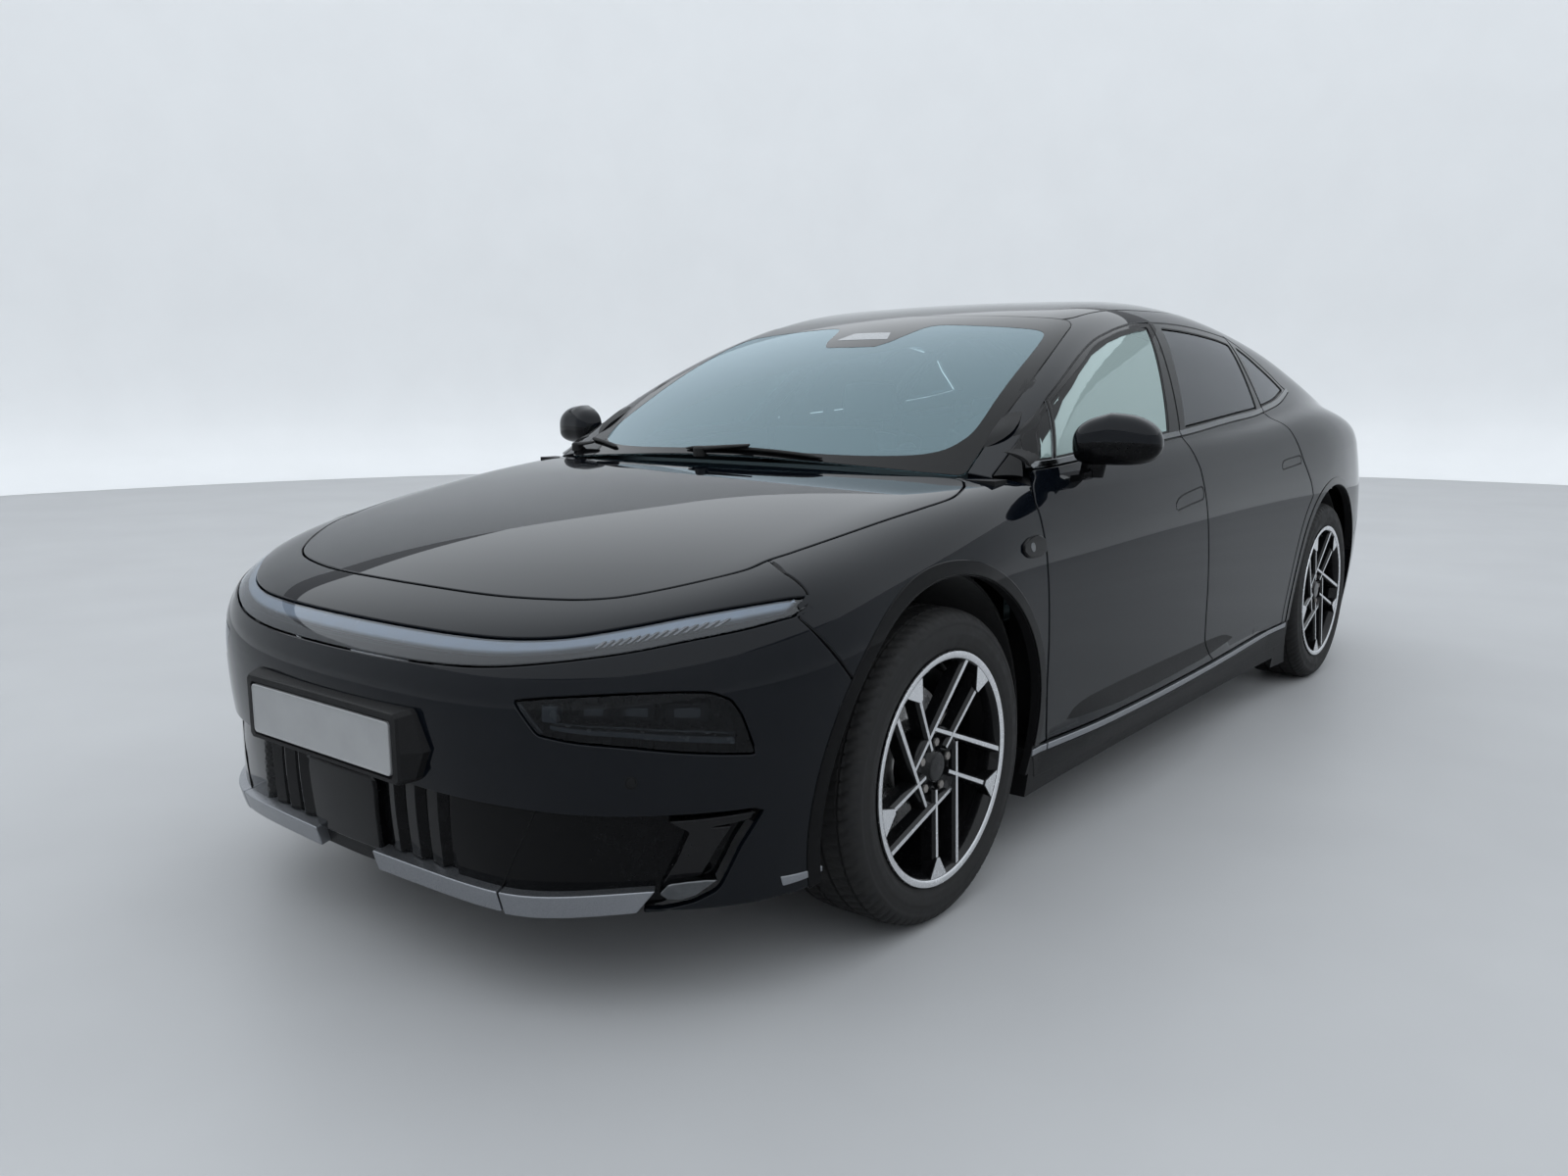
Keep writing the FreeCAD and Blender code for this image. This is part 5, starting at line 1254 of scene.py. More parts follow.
def lathe(prof, y, m=0, seg=180, mats=None, sharp=35, z=.364, modr=None, a0=0.0):
    """Revolve (x, r) points about an axle at y. mats gives a material index per profile edge."""
    pr = A(prof)
    e = pr[1:] - pr[:-1]
    en = np.stack([-e[:, 1], e[:, 0]], 1)
    en /= np.maximum(np.linalg.norm(en, axis=1, keepdims=True), 1e-9)
    # split corners that are sharp
    P, Nn, Em = [], [], []
    n = len(pr)
    groups = [[0]]
    for i in range(1, n - 1):
        ang = math.degrees(math.acos(np.clip(np.dot(en[i - 1], en[i]), -1, 1)))
        if ang > sharp:
            groups[-1].append(i)
            groups.append([i])
        else:
            groups[-1].append(i)
    groups[-1].append(n - 1)
    co, no, f, mi, k = [], [], [], [], 0
    t = np.linspace(0, 2 * math.pi, seg, endpoint=False) + a0
    ct, st = np.cos(t), np.sin(t)
    for g in groups:
        for q, i in enumerate(g):
            if q == 0:
                v = en[i]
            elif q == len(g) - 1:
                v = en[i - 1]
            else:
                v = en[i - 1] + en[i]
                v = v / max(np.linalg.norm(v), 1e-9)
            r_ = np.full(seg, pr[i, 1]) if modr is None else modr(i, pr[i], t)
            co.append(np.stack([np.full(seg, pr[i, 0]), y + r_ * ct, z + r_ * st], 1))
            no.append(np.stack([np.full(seg, v[0]), v[1] * ct, v[1] * st], 1))
        for q in range(len(g) - 1):
            b0, b1 = (k + q) * seg, (k + q + 1) * seg
            for s_ in range(seg):
                s2 = (s_ + 1) % seg
                f.append((b0 + s_, b1 + s_, b1 + s2, b0 + s2))
                mi.append(m if mats is None else mats[g[q]])
        k += len(g)
    co, no = np.vstack(co), np.vstack(no)
    q = f[0]
    w = np.cross(co[q[1]] - co[q[0]], co[q[3]] - co[q[0]])
    if np.dot(w, no[q[0]]) < 0:
        f = [t_[::-1] for t_ in f]
    return co, f, no, mi


def box_part(x0, x1, y0, y1, z0, z1, bev=.002, m=0):
    """Block with bevelled top rim."""
    return prism([(x0, y0), (x1, y0), (x1, y1), (x0, y1)], lambda u, v, d: (u, v, d), z0, z1, m, bev)


def tube(pts, r, seg=10, m=0):
    P = resample(A(pts), .012)
    T = np.gradient(P, axis=0)
    T /= np.maximum(np.linalg.norm(T, axis=1, keepdims=True), 1e-9)
    ref = A([0, 0, 1.]) if abs(T[:, 2]).mean() < .7 else A([1., 0, 0])
    N = ref - T * np.sum(T * ref, 1, keepdims=True)
    N /= np.maximum(np.linalg.norm(N, axis=1, keepdims=True), 1e-9)
    c = [(r * math.cos(2 * math.pi * i / seg), r * math.sin(2 * math.pi * i / seg)) for i in range(seg)]
    return sweep(P, N, c, m=m)


# =====================================================================================
# wheels
# =====================================================================================
WI, WO = .700, .945


def polar(x, r, th, y):
    """Point on the wheel plane; th is measured in degrees from the front, upwards."""
    return A([x, y - r * math.cos(RAD(th)), WZ + r * math.sin(RAD(th))])


def bar_part(y, p, q, wt, wb, xt, xb, mtop=1, mside=0, ch=.0025, n=6):
    """Spoke from (r, th) p to q: widths at the top face and at the root, heights xt and xb at both ends."""
    P0, P1 = polar(0, p[0], p[1], y)[1:], polar(0, q[0], q[1], y)[1:]
    d = (P1 - P0) / np.linalg.norm(P1 - P0)
    s_ = A([-d[1], d[0]])
    rows = []
    for i in range(n + 1):
        t = i / n
        c = P0 * (1 - t) + P1 * t
        a_ = wt[0] * (1 - t) + wt[1] * t
        b_ = wb[0] * (1 - t) + wb[1] * t
        X = xt[0] * (1 - t) + xt[1] * t - .006 * math.sin(math.pi * t) * 0
        Y = xb[0] * (1 - t) + xb[1] * t
        rows.append([(Y, c + s_ * b_), (X - ch * 3.2, c + s_ * (a_ + ch * 1.6)), (X - ch * .9, c + s_ * (a_ + ch * .35)), (X, c + s_ * (a_ - ch * .5)),
                     (X, c - s_ * (a_ - ch * .5)), (X - ch * .9, c - s_ * (a_ + ch * .35)), (X - ch * 3.2, c - s_ * (a_ + ch * 1.6)), (Y, c - s_ * b_)])
    co = A([[x_, c_[0], c_[1]] for r_ in rows for x_, c_ in r_])
    k = 8
    f, mi = [], []
    for i in range(n):
        for j in range(k):
            j2 = (j + 1) % k
            f.append((i * k + j, i * k + j2, (i + 1) * k + j2, (i + 1) * k + j))
            mi.append(mtop if j == 3 else mside)
    f.append(tuple(range(k)))
    f.append(tuple(range(n * k + k - 1, n * k - 1, -1)))
    mi += [mside, mside]
    # top face must look outwards (+x)
    t3 = f[3]
    if _newell(co[list(t3)])[0] < 0:
        f = [t_[::-1] for t_ in f]
    return flatn(co, f, mi)


def wheel_rim(y):
    parts = []
    # outer lip, bead flange and drop centre; black inside, bright turned ring outside
    prof = [(WI + .003, .240), (WI + .003, .262), (WI + .006, .2680), (WI + .012, .2690), (WI + .014, .2535), (WI + .045, .2520), (WI + .060, .2465),
            (WO - .060, .2465), (WO - .045, .2520), (WO - .014, .2535), (WO - .012, .2690), (WO - .0075, .2705), (WO - .004, .2690), (WO - .0035, .2650),
            (WO - .0045, .2585), (WO - .0060, .2535), (WO - .0120, .2490), (WO - .022, .2440), (WO - .050, .2400), (WI + .06, .2390), (WI + .02, .2410), (WI + .003, .2400)]
    mats = [0] * (len(prof) - 1)
    for i in (11, 12, 13, 14):
        mats[i] = 1
    parts.append(lathe(prof, y, mats=mats, seg=240, sharp=50))
    xr, xh = WO - .008, WO - .026
    for i in range(5):
        t = 72 * i
        parts.append(bar_part(y, (.0935, -62 + t), (.2565, 39.5 + t), (.0052, .0068), (.0130, .0150), (xh - .001, xr), (xh - .034, xr - .036)))
        # flared bright end of the long bar at the rim
        parts.append(bar_part(y, (.052, 60 + t), (.222, 60 + t), (.0050, .0060), (.0120, .0140), (xh + .001, xr - .001), (xh - .034, xr - .036)))
        # triangular bright web where the radial bar meets the rim
        tri_ = [(.205, 58.2), (.205, 61.8), (.2535, 66.6), (.2565, 60.0), (.2535, 50.5)]
        pts = [tuple(polar(0, r_, th_ + t, y)[1:]) for r_, th_ in tri_]
        parts.append(prism(pts, lambda u, v, d: (d, u, v), xr - .030, xr + .0012, m=1, bevel=.0016, msides=0))
    # hub: dark dished centre, five bolt holes with bolts, small plain cap
    hp = [(xh - .050, .0960), (xh - .012, .0955), (xh - .004, .0925), (xh - .0015, .086), (xh - .0030, .080), (xh - .012, .0755), (xh - .016, .066),
          (xh - .0165, .050), (xh - .0140, .0405), (xh - .0060, .0370), (xh - .0030, .0345), (xh - .0035, .0335)]
    parts.append(lathe(hp, y, mats=[0] * 3 + [0] * 8, seg=120, sharp=60))
    cap = [(xh - .0120, .0330), (xh - .0040, .0330), (xh - .0020, .0315), (xh - .0012, .028), (xh - .0018, .020), (xh - .0006, .008), (xh - .0005, .0001)]
    parts.append(lathe(cap, y, mats=[0] * 6, seg=72, sharp=60))
    for i in range(5):
        th = 24 + 72 * i
        c = polar(0, .057, th, y)
        for (r0, d0, d1, mm_) in ((.0118, -.0170, -.0105, 0), (.0100, -.0106, -.0060, 2)):
            pg = [(c[1] + r0 * math.cos(RAD(60 * k)), c[2] + r0 * math.sin(RAD(60 * k))) for k in range(6)] if mm_ == 2 else [
                (c[1] + r0 * math.cos(RAD(20 * k)), c[2] + r0 * math.sin(RAD(20 * k))) for k in range(18)]
            parts.append(prism(pg, lambda u, v, d: (d, u, v), xh + d0, xh + d1, m=mm_, bevel=.0008))
    # brake disc: two faces, vented edge and bell
    bell = [(.790, .062), (.790, .0780), (.8000, .0800), (.8010, .110), (.8010, .1760), (.8025, .1780), (.8110, .1780), (.8112, .168), (.8168, .168),
            (.8170, .1780), (.8255, .1780), (.8270, .1760), (.8270, .104), (.8285, .0960), (.8500, .0915), (.8560, .088), (.8580, .080), (.8580, .040)]
    parts.append(lathe(bell, y, mats=[3] * 17, seg=144, sharp=30))
    for i in range(48):
        th = i * 7.5
        a_, b_ = polar(0, .168, th, y), polar(0, .1775, th + 2, y)
        d = (b_ - a_)[1:]
        d /= np.linalg.norm(d)
        s_ = A([-d[1], d[0]]) * .0012
        pg = [tuple(a_[1:] + s_), tuple(a_[1:] - s_), tuple(b_[1:] - s_), tuple(b_[1:] + s_)]
        parts.append(prism(pg, lambda u, v, d_: (d_, u, v), .8105, .8175, m=3))
    # valve stem
    v0 = polar(WO - .040, .238, 96, y)
    v1 = polar(WO - .026, .224, 96, y)
    parts.append(tuple(list(tube([v0, v1], .0042, 10))[:3]) + ([4] * len(tube([v0, v1], .0042, 10)[1]),))
    return merge(parts)


def wheel_tyre(y):
    """Tyre with four main grooves, shoulder blocks and sipes; bare side walls with rings."""
    a, b = WI, WO
    seg = 480
    half = [(.0145, .2535, 0), (.0135, .2570, 0), (.0130, .2640, 0), (.0128, .2710, 0), (.0085, .2755, 0), (.0075, .2800, 0), (.0055, .2850, 0),
            (.0035, .2905, 0), (.0034, .2920, 0), (.0022, .2975, 0), (.0014, .3040, 0), (.0008, .3100, 0), (.0018, .3125, 0), (.0018, .3180, 0),
            (.0030, .3245, 0), (.0040, .3300, 0), (.0036, .3312, 0), (.0046, .3358, 0), (.0062, .3400, 1), (.0094, .3460, 1), (.0140, .3515, 1),
            (.0200, .3558, 1), (.0270, .3592, 1), (.0350, .3612, 1), (.0420, .3622, 1)]
    gro = []
    x = .0420
    w = .0080
    prof = [(a + p, r, k) for p, r, k in half]
    # tread: ribs with deep grooves between
    c = (a + b) / 2
    T = [(-.080, 3), (-.0790, 2), (-.0735, 2), (-.0725, 3), (-.060, 1), (-.045, 1), (-.0330, 3), (-.0320, 2), (-.0240, 2), (-.0230, 3), (-.012, 1), (.0, 1), (.012, 1),
         (.0230, 3), (.0240, 2), (.0320, 2), (.0330, 3), (.045, 1), (.060, 1), (.0725, 3), (.0735, 2), (.0790, 2), (.080, 3)]
    for dx, k in T:
        ax = abs(dx)
        r_ = .3640 - max(0, ax - .050) ** 2 * 1.5
        if k == 2:
            r_ -= .0065
        prof.append((c + dx, r_, 1 if k in (1, 3) else 2))
    prof += [(b - p, r, k) for p, r, k in half[::-1]]
    kinds = [p[2] for p in prof]
    n_ = len(prof)

    def modr(i, p, t):
        r_ = np.full(len(t), p[1])
        dx = p[0] - c
        if kinds[i] == 1:
            ax = abs(dx)
            ph = t / (2 * math.pi) * 80
            if ax > .080:
                fr = (ph + .9 * (ax - .08) / .03 * (1 if dx > 0 else -1)) % 1.0
                r_ = np.where(fr < .17, p[1] - .0045 * min(1, (p[1] - .336) / .012), r_)
            elif ax > .036:
                fr = (ph * 1.0 + dx * 14) % 1.0
                r_ = np.where(fr < .14, p[1] - .0040, r_)
            else:
                fr = (ph + dx * 10) % 1.0
                r_ = np.where((fr < .13) & (ax > .006), p[1] - .0028, r_)
        return r_
    co, f, no, mi = lathe([(p[0], p[1]) for p in prof], y, seg=seg, sharp=180, modr=modr)
    return co, f, None, [0] * len(f)


WHEELS = (("front", FY), ("rear", RY))
for ax_, y_ in WHEELS:
    rp = wheel_rim(y_)
    tp = wheel_tyre(y_)
    for sd, s_ in (("left", 1), ("right", -1)):
        nm = ax_ + "_" + sd
        body = "wheel_" + nm
        c_ = rp[0] * A([s_, 1, 1])
        f_ = rp[1] if s_ > 0 else [t[::-1] for t in rp[1]]
        add("wheel_rim_" + nm, c_, f_, rp[2] * A([s_, 1, 1]), [M["rimblack"], M["machined"], M["iron"], M["disc"], M["rubber"]], body, "rim_alloy", rp[3], ["rim_" + nm])
        c_ = tp[0] * A([s_, 1, 1])
        f_ = tp[1] if s_ > 0 else [t[::-1] for t in tp[1]]
        o_ = add("wheel_tyre_" + nm, c_, f_, None, [M["tyre"]], body, "tyre", None, ["tyre_" + nm])
        o_.data.set_sharp_from_angle(angle=RAD(38))

# =====================================================================================
# front end
# =====================================================================================


def both_sides(part):
    co, fa, no, mi = part
    return merge([part, (co * A([-1., 1, 1]), [t[::-1] for t in fa], no * A([-1., 1, 1]), mi)])


def remat(part, idx):
    return part[0], part[1], part[2], [idx] * len(part[3])


def patch(chart, poly3, **k):
    """Small raised or sunk panel from one closed loop."""
    k.setdefault("du", .012)
    k.setdefault("gap", 0.0)
    k.setdefault("r", .0015)
    k.setdefault("flange", .006)
    k.setdefault("rc", .003)
    k.setdefault("step", .006)
    return build(chart, [poly3 if isinstance(poly3, list) else [(poly3, True)]], **k)


def lerp_curve(a, b, t, x0, x1, n=60):
    """(x, z) curve between two outline curves at fraction t from a to b."""
    xs = np.linspace(x0, x1, n)
    za = np.interp(xs, [p[0] for p in a], [p[1] for p in a])
    zb = np.interp(xs, [p[0] for p in b], [p[1] for p in b])
    return np.stack([xs, za * (1 - t) + zb * t], 1)


def quad_loop(c0, c1, fn=lyf):
    """Closed loop from two curves with the same direction."""
    a_, b_ = fn(c0, sm=False), fn(c1[::-1], sm=False)
    return [(a_, True), (np.stack([a_[-1], b_[0]]), True), (b_, True), (np.stack([b_[-1], a_[0]]), True)]


lb_t = smooth([p for p in LB_TOP], step=.008)
lb_b = smooth(LB_BOT[::-1][:-2] + [(.885, .783)], step=.008)
LX = .872
# deep dark channel, pale upper light band, dark lower band with blocks, ticks at the ends
mid_c = lerp_curve(lb_b, lb_t, .56, -0.0, LX)
full = [lbl[0], lbl[1], lbl[2], lbl[3], lbl[4], lbl[5]]
chan = build(nosec, [full], du=.02, off=-.016, gap=.0010, r=.002, flange=.006, rc=.004, step=.008)
up_c = lerp_curve(lb_b, lb_t, .965, -0.0, LX)
half_up = np.vstack([mid_c[::-1] * A([-1., 1]), mid_c[1:]])
half_up = np.stack([np.concatenate([-mid_c[::-1, 0], mid_c[1:, 0]]), np.concatenate([mid_c[::-1, 1], mid_c[1:, 1]])], 1)
top_full = np.stack([np.concatenate([-up_c[::-1, 0], up_c[1:, 0]]), np.concatenate([up_c[::-1, 1], up_c[1:, 1]])], 1)
band = build(nosec, [quad_loop(half_up, top_full)], du=.008, off=-.0030, gap=.0, r=.006, flange=.010, rc=.003, step=.007)
lo_a, lo_b = lerp_curve(lb_b, lb_t, .05, 0, LX), lerp_curve(lb_b, lb_t, .36, 0, LX)
low_lo = np.stack([np.concatenate([-lo_a[::-1, 0], lo_a[1:, 0]]), np.concatenate([lo_a[::-1, 1], lo_a[1:, 1]])], 1)
low_hi = np.stack([np.concatenate([-lo_b[::-1, 0], lo_b[1:, 0]]), np.concatenate([lo_b[::-1, 1], lo_b[1:, 1]])], 1)
blk = []
for i in range(9):
    x0 = .10 + i * .058
    blk.append(patch(nosec, quad_loop(lerp_curve(lb_b, lb_t, .08, x0, x0 + .040, 8), lerp_curve(lb_b, lb_t, .33, x0 + .004, x0 + .044, 8)),
                     off=-.007, r=.002, flange=.006))
tick = []
for i in range(14):
    x0 = .640 + i * .0125
    tick.append(patch(nosec, quad_loop(lerp_curve(lb_b, lb_t, .36, x0, x0 + .006, 4), lerp_curve(lb_b, lb_t, .62, x0 + .008, x0 + .014, 4)),
                      off=-.0008, r=.0008, flange=.004, step=.004))
low = patch(nosec, quad_loop(low_lo, low_hi), off=-.0022, r=.002, flange=.006, du=.010)
add("light_bar_channel", *chan[:3], [M["piano"]], "root", "gloss_black", None, ["light_bar"])
add("light_bar_band", *band[:3], [M["frost"]], "root", "lamp_clear")
bb = both_sides(merge(blk))
add("light_bar_blocks", *bb[:3], [M["rimblack"]], "root", "lamp_smoke")
tb = both_sides(merge(tick))
add("light_bar_ticks", *tb[:3], [M["frost2"]], "root", "lamp_smoke")
add("light_bar_low_lens", *low[:3], [M["smoke"]], "root", "lamp_smoke")

# headlamps: box, frames, light band, lens
hl_xy = smooth(HEADLAMP, closed=True, step=.006)


def hl_box(x0, x1, t0, t1, n=20):
    """Strip across the lamp between fractions of its height."""
    xs = np.linspace(x0, x1, n)
    top = [(.528, .639), (.596, .650), (.725, .662), (.827, .661), (.860, .650)]
    bot = [(.528, .600), (.576, .580), (.633, .571), (.726, .563), (.804, .550), (.880, .536)]
    zt = np.interp(xs, [p[0] for p in top], [p[1] for p in top])
    zb = np.interp(xs, [p[0] for p in bot], [p[1] for p in bot])
    return np.stack([xs, zb * (1 - t0) + zt * t0], 1), np.stack([xs, zb * (1 - t1) + zt * t1], 1)


hp_ = []
hp_.append(remat(build(nosec, [headl], du=.02, off=-.055, gap=.001, r=.001, flange=.004, rc=.002), 0))
hback = build(nosec, [headl], du=.02, off=-.004, gap=.0015, r=.0, flange=.052, rc=.0)
# keep only the skirt of that piece: walls of the lamp box
nf = [(f, m_) for f, m_ in zip(hback[1], hback[3]) if len(f) == 4]
hp_.append((hback[0], [f[::-1] for f, _ in nf], -hback[2], [0] * len(nf)))
a_, b_ = hl_box(.592, .862, .13, .25)
hp_.append(remat(patch(nosec, quad_loop(a_, b_), off=-.014, r=.003, flange=.020), 1))
a_, b_ = hl_box(.600, .862, .30, .34)
hp_.append(remat(patch(nosec, quad_loop(a_, b_), off=-.018, r=.001, flange=.020), 3))
a_, b_ = hl_box(.575, .606, .30, .80)
hp_.append(remat(patch(nosec, quad_loop(a_, b_), off=-.016, r=.004, flange=.020), 1))
for i in range(3):
    x0 = .640 + i * .070
    a_, b_ = hl_box(x0, x0 + .056, .44, .80, 8)
    hp_.append(remat(patch(nosec, quad_loop(a_, b_), off=-.030, r=.006, flange=.02), 4))
    a_, b_ = hl_box(x0 + .010, x0 + .046, .52, .72, 8)
    hp_.append(remat(patch(nosec, quad_loop(a_, b_), off=-.026, r=.003, flange=.01), 3))
ch = [(.530, .6355), (.537, .6370), (.585, .5815), (.577, .5810)]
hp_.append(remat(patch(nosec, [(lyf(ch + ch[:1], sm=False), True)], off=-.006, r=.0015, flange=.012), 3))
hh = both_sides(merge(hp_))
add("headlamp_inside", *hh[:3], [M["piano"], M["frost2"], M["frost"], M["dchrome"], M["rimblack"]], "root", "lamp_smoke", hh[3], ["headlamps"])
hl_ = build(nosec, [headl], du=.014, off=.0002, gap=.0012, r=.002, flange=.004, rc=.004, step=.007)
hl2 = both_sides(hl_)
add("headlamp_lens", *hl2[:3], [M["smoke"]], "root", "lamp_smoke")
seal_o = smooth(HEADLAMP, closed=True, step=.005)


def ring_loops(xz, w, fn=lyf):
    q = smooth(xz, closed=True, step=.005)
    t = np.roll(q, -1, 0) - np.roll(q, 1, 0)
    t /= np.maximum(np.linalg.norm(t, axis=1, keepdims=True), 1e-9)
    n_ = np.stack([t[:, 1], -t[:, 0]], 1) * (1 if area(q) > 0 else -1)
    a_, b_ = q, q - n_ * w
    return [(fn(np.vstack([a_, a_[:1]]), sm=False), True)], [(fn(np.vstack([b_, b_[:1]]), sm=False), True)]


# lower grille: gloss back, ribs, centre block
def groff(P):
    ax = np.abs(P[:, 0])
    fwd = (LIP(ax) - .006) * np.clip((.432 - P[:, 2]) / .162, 0, 1)
    dep = np.where(ax < .345, -.026, np.where(ax < .357, -.026 + (ax - .345) / .012 * .014, np.where(ax < .74, -.012, -.012 - np.clip((ax - .74) / .02, 0, 1) * .016)))
    return fwd + dep


g1 = smooth(GRILLE + [(.66, .240), (.62, .2600), (.50, .2600), (0, .2600)], step=.008, corner=40)
gl_ = lyf(np.vstack([g1, (g1[::-1] * A([-1., 1]))[1:-1]]), F=FLB, sm=False)
gr = build(nosec, [[(gl_, True)]], du=.009, off=groff, gap=-.002, r=.0, flange=.010, rc=.0, step=.008, thick=.008)
add("grille_back", *gr[:3], [M["piano"]], "root", "gloss_black", None, ["lower_grille"])
ribs = []
for i in range(3):
    x0 = .172 + i * .066
    z = np.linspace(.2695, .4265, 20)
    P_ = lyf(np.stack([np.full(20, x0), z], 1), sm=False)
    N_ = grad(FLB, P_)
    P_ = P_ + N_ * groff(P_)[:, None]
    ribs.append(sweep(P_, N_, [(-.030, -.004), (.030, -.004), (.0300, .001), (.0130, .0125), (.0105, .0130), (-.0250, .0060), (-.0300, .001)], m=0, flatten=True))
rb2 = both_sides(merge(ribs))
add("grille_ribs", *rb2[:3], [M["piano"]], "root", "gloss_black")
blkz = [(-.124, .258), (.124, .258), (.131, .395), (.124, .424), (-.124, .424), (-.131, .395)]
cb = build(nosec, [[(lyf(blkz + blkz[:1], sm=False), True)]], du=.014, off=lambda P: groff(P) + .020, gap=.001, r=.008, flange=.040, rc=.010, step=.008)
add("grille_centre_block", *cb[:3], [M["piano"]], "root", "trim_black")
# diagonal joint and the fin near the corner
dj = lyf([(.551, .419), (.505, .335), (.455, .243)], sm=False)
dj = resample(dj, .01)
dn_ = grad(FLB, dj)
d1 = sweep(dj + dn_ * (groff(dj) + .0004)[:, None], dn_, [(-.0012, -.004), (.0012, -.004), (.0012, .001), (-.0012, .001)])
fin = [(.7723, .4100), (.8740, .4150), (.8680, .3985), (.8228, .3905), (.848, .3894), (.8299, .351), (.8002, .2850), (.745, .2705), (.772, .318), (.7905, .3637), (.798, .3833)]
f1_ = build(nosec, [[(lyf(fin + fin[:1], sm=False), True)]], du=.010, off=lambda P: -.006 - .010 * np.clip((.42 - P[:, 2]) / .15, 0, 1), gap=0, r=.003, flange=.024, rc=.004, step=.006)
scoop = [(.7385, .2600), (.7558, .2800), (.7793, .2829), (.8040, .2837), (.8190, .2815), (.8042, .2681), (.787, .2520), (.7665, .2440), (.7480, .2460)]
f2_ = build(nosec, [[(lyf(scoop + scoop[:1], sm=False), True)]], du=.010, off=lambda P: .004 - .10 * np.clip(P[:, 2] - .262, 0, .05), gap=0, r=.004, flange=.020, rc=.005, step=.006)
fj = both_sides(merge([d1, remat(f1_, 1), remat(f2_, 2)]))
add("grille_corner_fins", *fj[:3], [M["dark"], M["rimblack"], M["dchrome"]], "root", "gloss_black", fj[3])


# silver lip strips and the black chin under them
def lipoff(P):
    return .002 + LIP(np.abs(P[:, 0]))


def lip(x0, x1, s0=0.0, s1=0.0, zt=0.0, h=.036, n=30, cut=0.0):
    xs = np.linspace(x0, x1, n)
    top = .268 + 0 * xs + zt
    bot = top - h + .004 * (xs / .73) ** 2
    t_ = np.stack([xs + s0 * 0, top], 1)
    b_ = np.stack([xs - cut * (xs - x0) / (x1 - x0), bot], 1)
    return quad_loop(b_, t_)


sp = [build(nosec, [lip(.108, .466, h=.046)], du=.010, off=lipoff, gap=0, r=.003, flange=.030, rc=.004, step=.007),
      build(nosec, [lip(.470, .735, cut=.036, h=.050)], du=.010, off=lipoff, gap=0, r=.003, flange=.026, rc=.004, step=.007)]
rs = lx([(-2.087, .2665), (-1.990, .2655), (-1.988, .2535), (-2.079, .2445), (-2.087, .2665)], F=FLB, sm=False)
sp.append(build(side_l, [[(rs, True)]], du=.010, off=.0035, gap=0, r=.002, flange=.006, rc=.002, step=.006))
sp2 = both_sides(merge(sp))
add("front_lip_strips", *sp2[:3], [M["satin"]], "root", "silver_trim")


def chin(P):
    return LIP(np.abs(P[:, 0])) - .022


xs = np.linspace(-.725, .725, 90)
ct = np.stack([xs, np.full(90, .262)], 1)
cb_ = np.stack([xs, .212 + .006 * (xs / .725) ** 2], 1)
chn = build(nosec, [quad_loop(cb_, ct)], du=.012, off=chin, gap=0, r=.008, flange=.03, rc=.006, step=.008, thick=.020)
add("front_chin", *chn[:3], [M["trim"]], "root", "trim_black", None, ["front_splitter"])

# plate with its deep holder (front) and the rear plate; both bare
W2, H0_, H1_ = .2600, .462, .572


def rrect(w, z0, z1, r, n=5):
    out = []
    for cx, cz, a0 in ((w - r, z1 - r, 0), (-w + r, z1 - r, 90), (-w + r, z0 + r, 180), (w - r, z0 + r, 270)):
        for i in range(n + 1):
            t = RAD(a0 + 90 * i / n)
            out.append((cx + r * math.cos(t), cz + r * math.sin(t)))
    return out


def hexo(w, z0, z1, b, r=.006):
    zm = (z0 + z1) / 2 - .01
    out = []
    for x_, z_ in rrect(w, z0, z1, r):
        out.append((x_, z_))
    q = []
    for x_, z_ in out:
        k = 1 - abs(z_ - zm) / ((z1 - z0) / 2)
        q.append((x_ + math.copysign(max(k, 0) * b, x_), z_))
    # index of the outermost side point; it is not used and no points are added
    i_ = max(range(len(q)), key=lambda i: (q[i][0], q[i][1]))
    return q


def ring_solid(rings, mats=None, cap0=True, cap1=True, fl=True):
    n = len(rings[0])
    co = A([p for r_ in rings for p in r_])
    f, mi = [], []
    for r_ in range(len(rings) - 1):
        for i in range(n):
            j = (i + 1) % n
            f.append((r_ * n + i, r_ * n + j, (r_ + 1) * n + j, (r_ + 1) * n + i))
            mi.append(0 if mats is None else mats[r_])
    if cap0:
        f.append(tuple(range(n - 1, -1, -1)))
        mi.append(0)
    if cap1:
        f.append(tuple(range((len(rings) - 1) * n, len(rings) * n)))
        mi.append(0)
    c = co[:n].mean(0) - co[(len(rings) - 1) * n:].mean(0)
    if cap0 and np.dot(_newell(co[list(f[-2 if cap1 else -1])]), c) < 0:
        f = [t[::-1] for t in f]
    return flatn(co, f, mi) if fl else (co, f, None, mi)


def at_y(poly, y):
    return [(x_, y, z_) for x_, z_ in poly]


def mid_points(w, z0, z1, b):
    r_ = .008
    zm = z0 + (z1 - z0) * .45
    return [(-w, z0 + r_), (-w + r_, z0), (w - r_, z0), (w, z0 + r_), (w + b, zm), (w, z1 - r_), (w - r_, z1), (-w + r_, z1), (-w, z1 - r_), (-w - b, zm)]


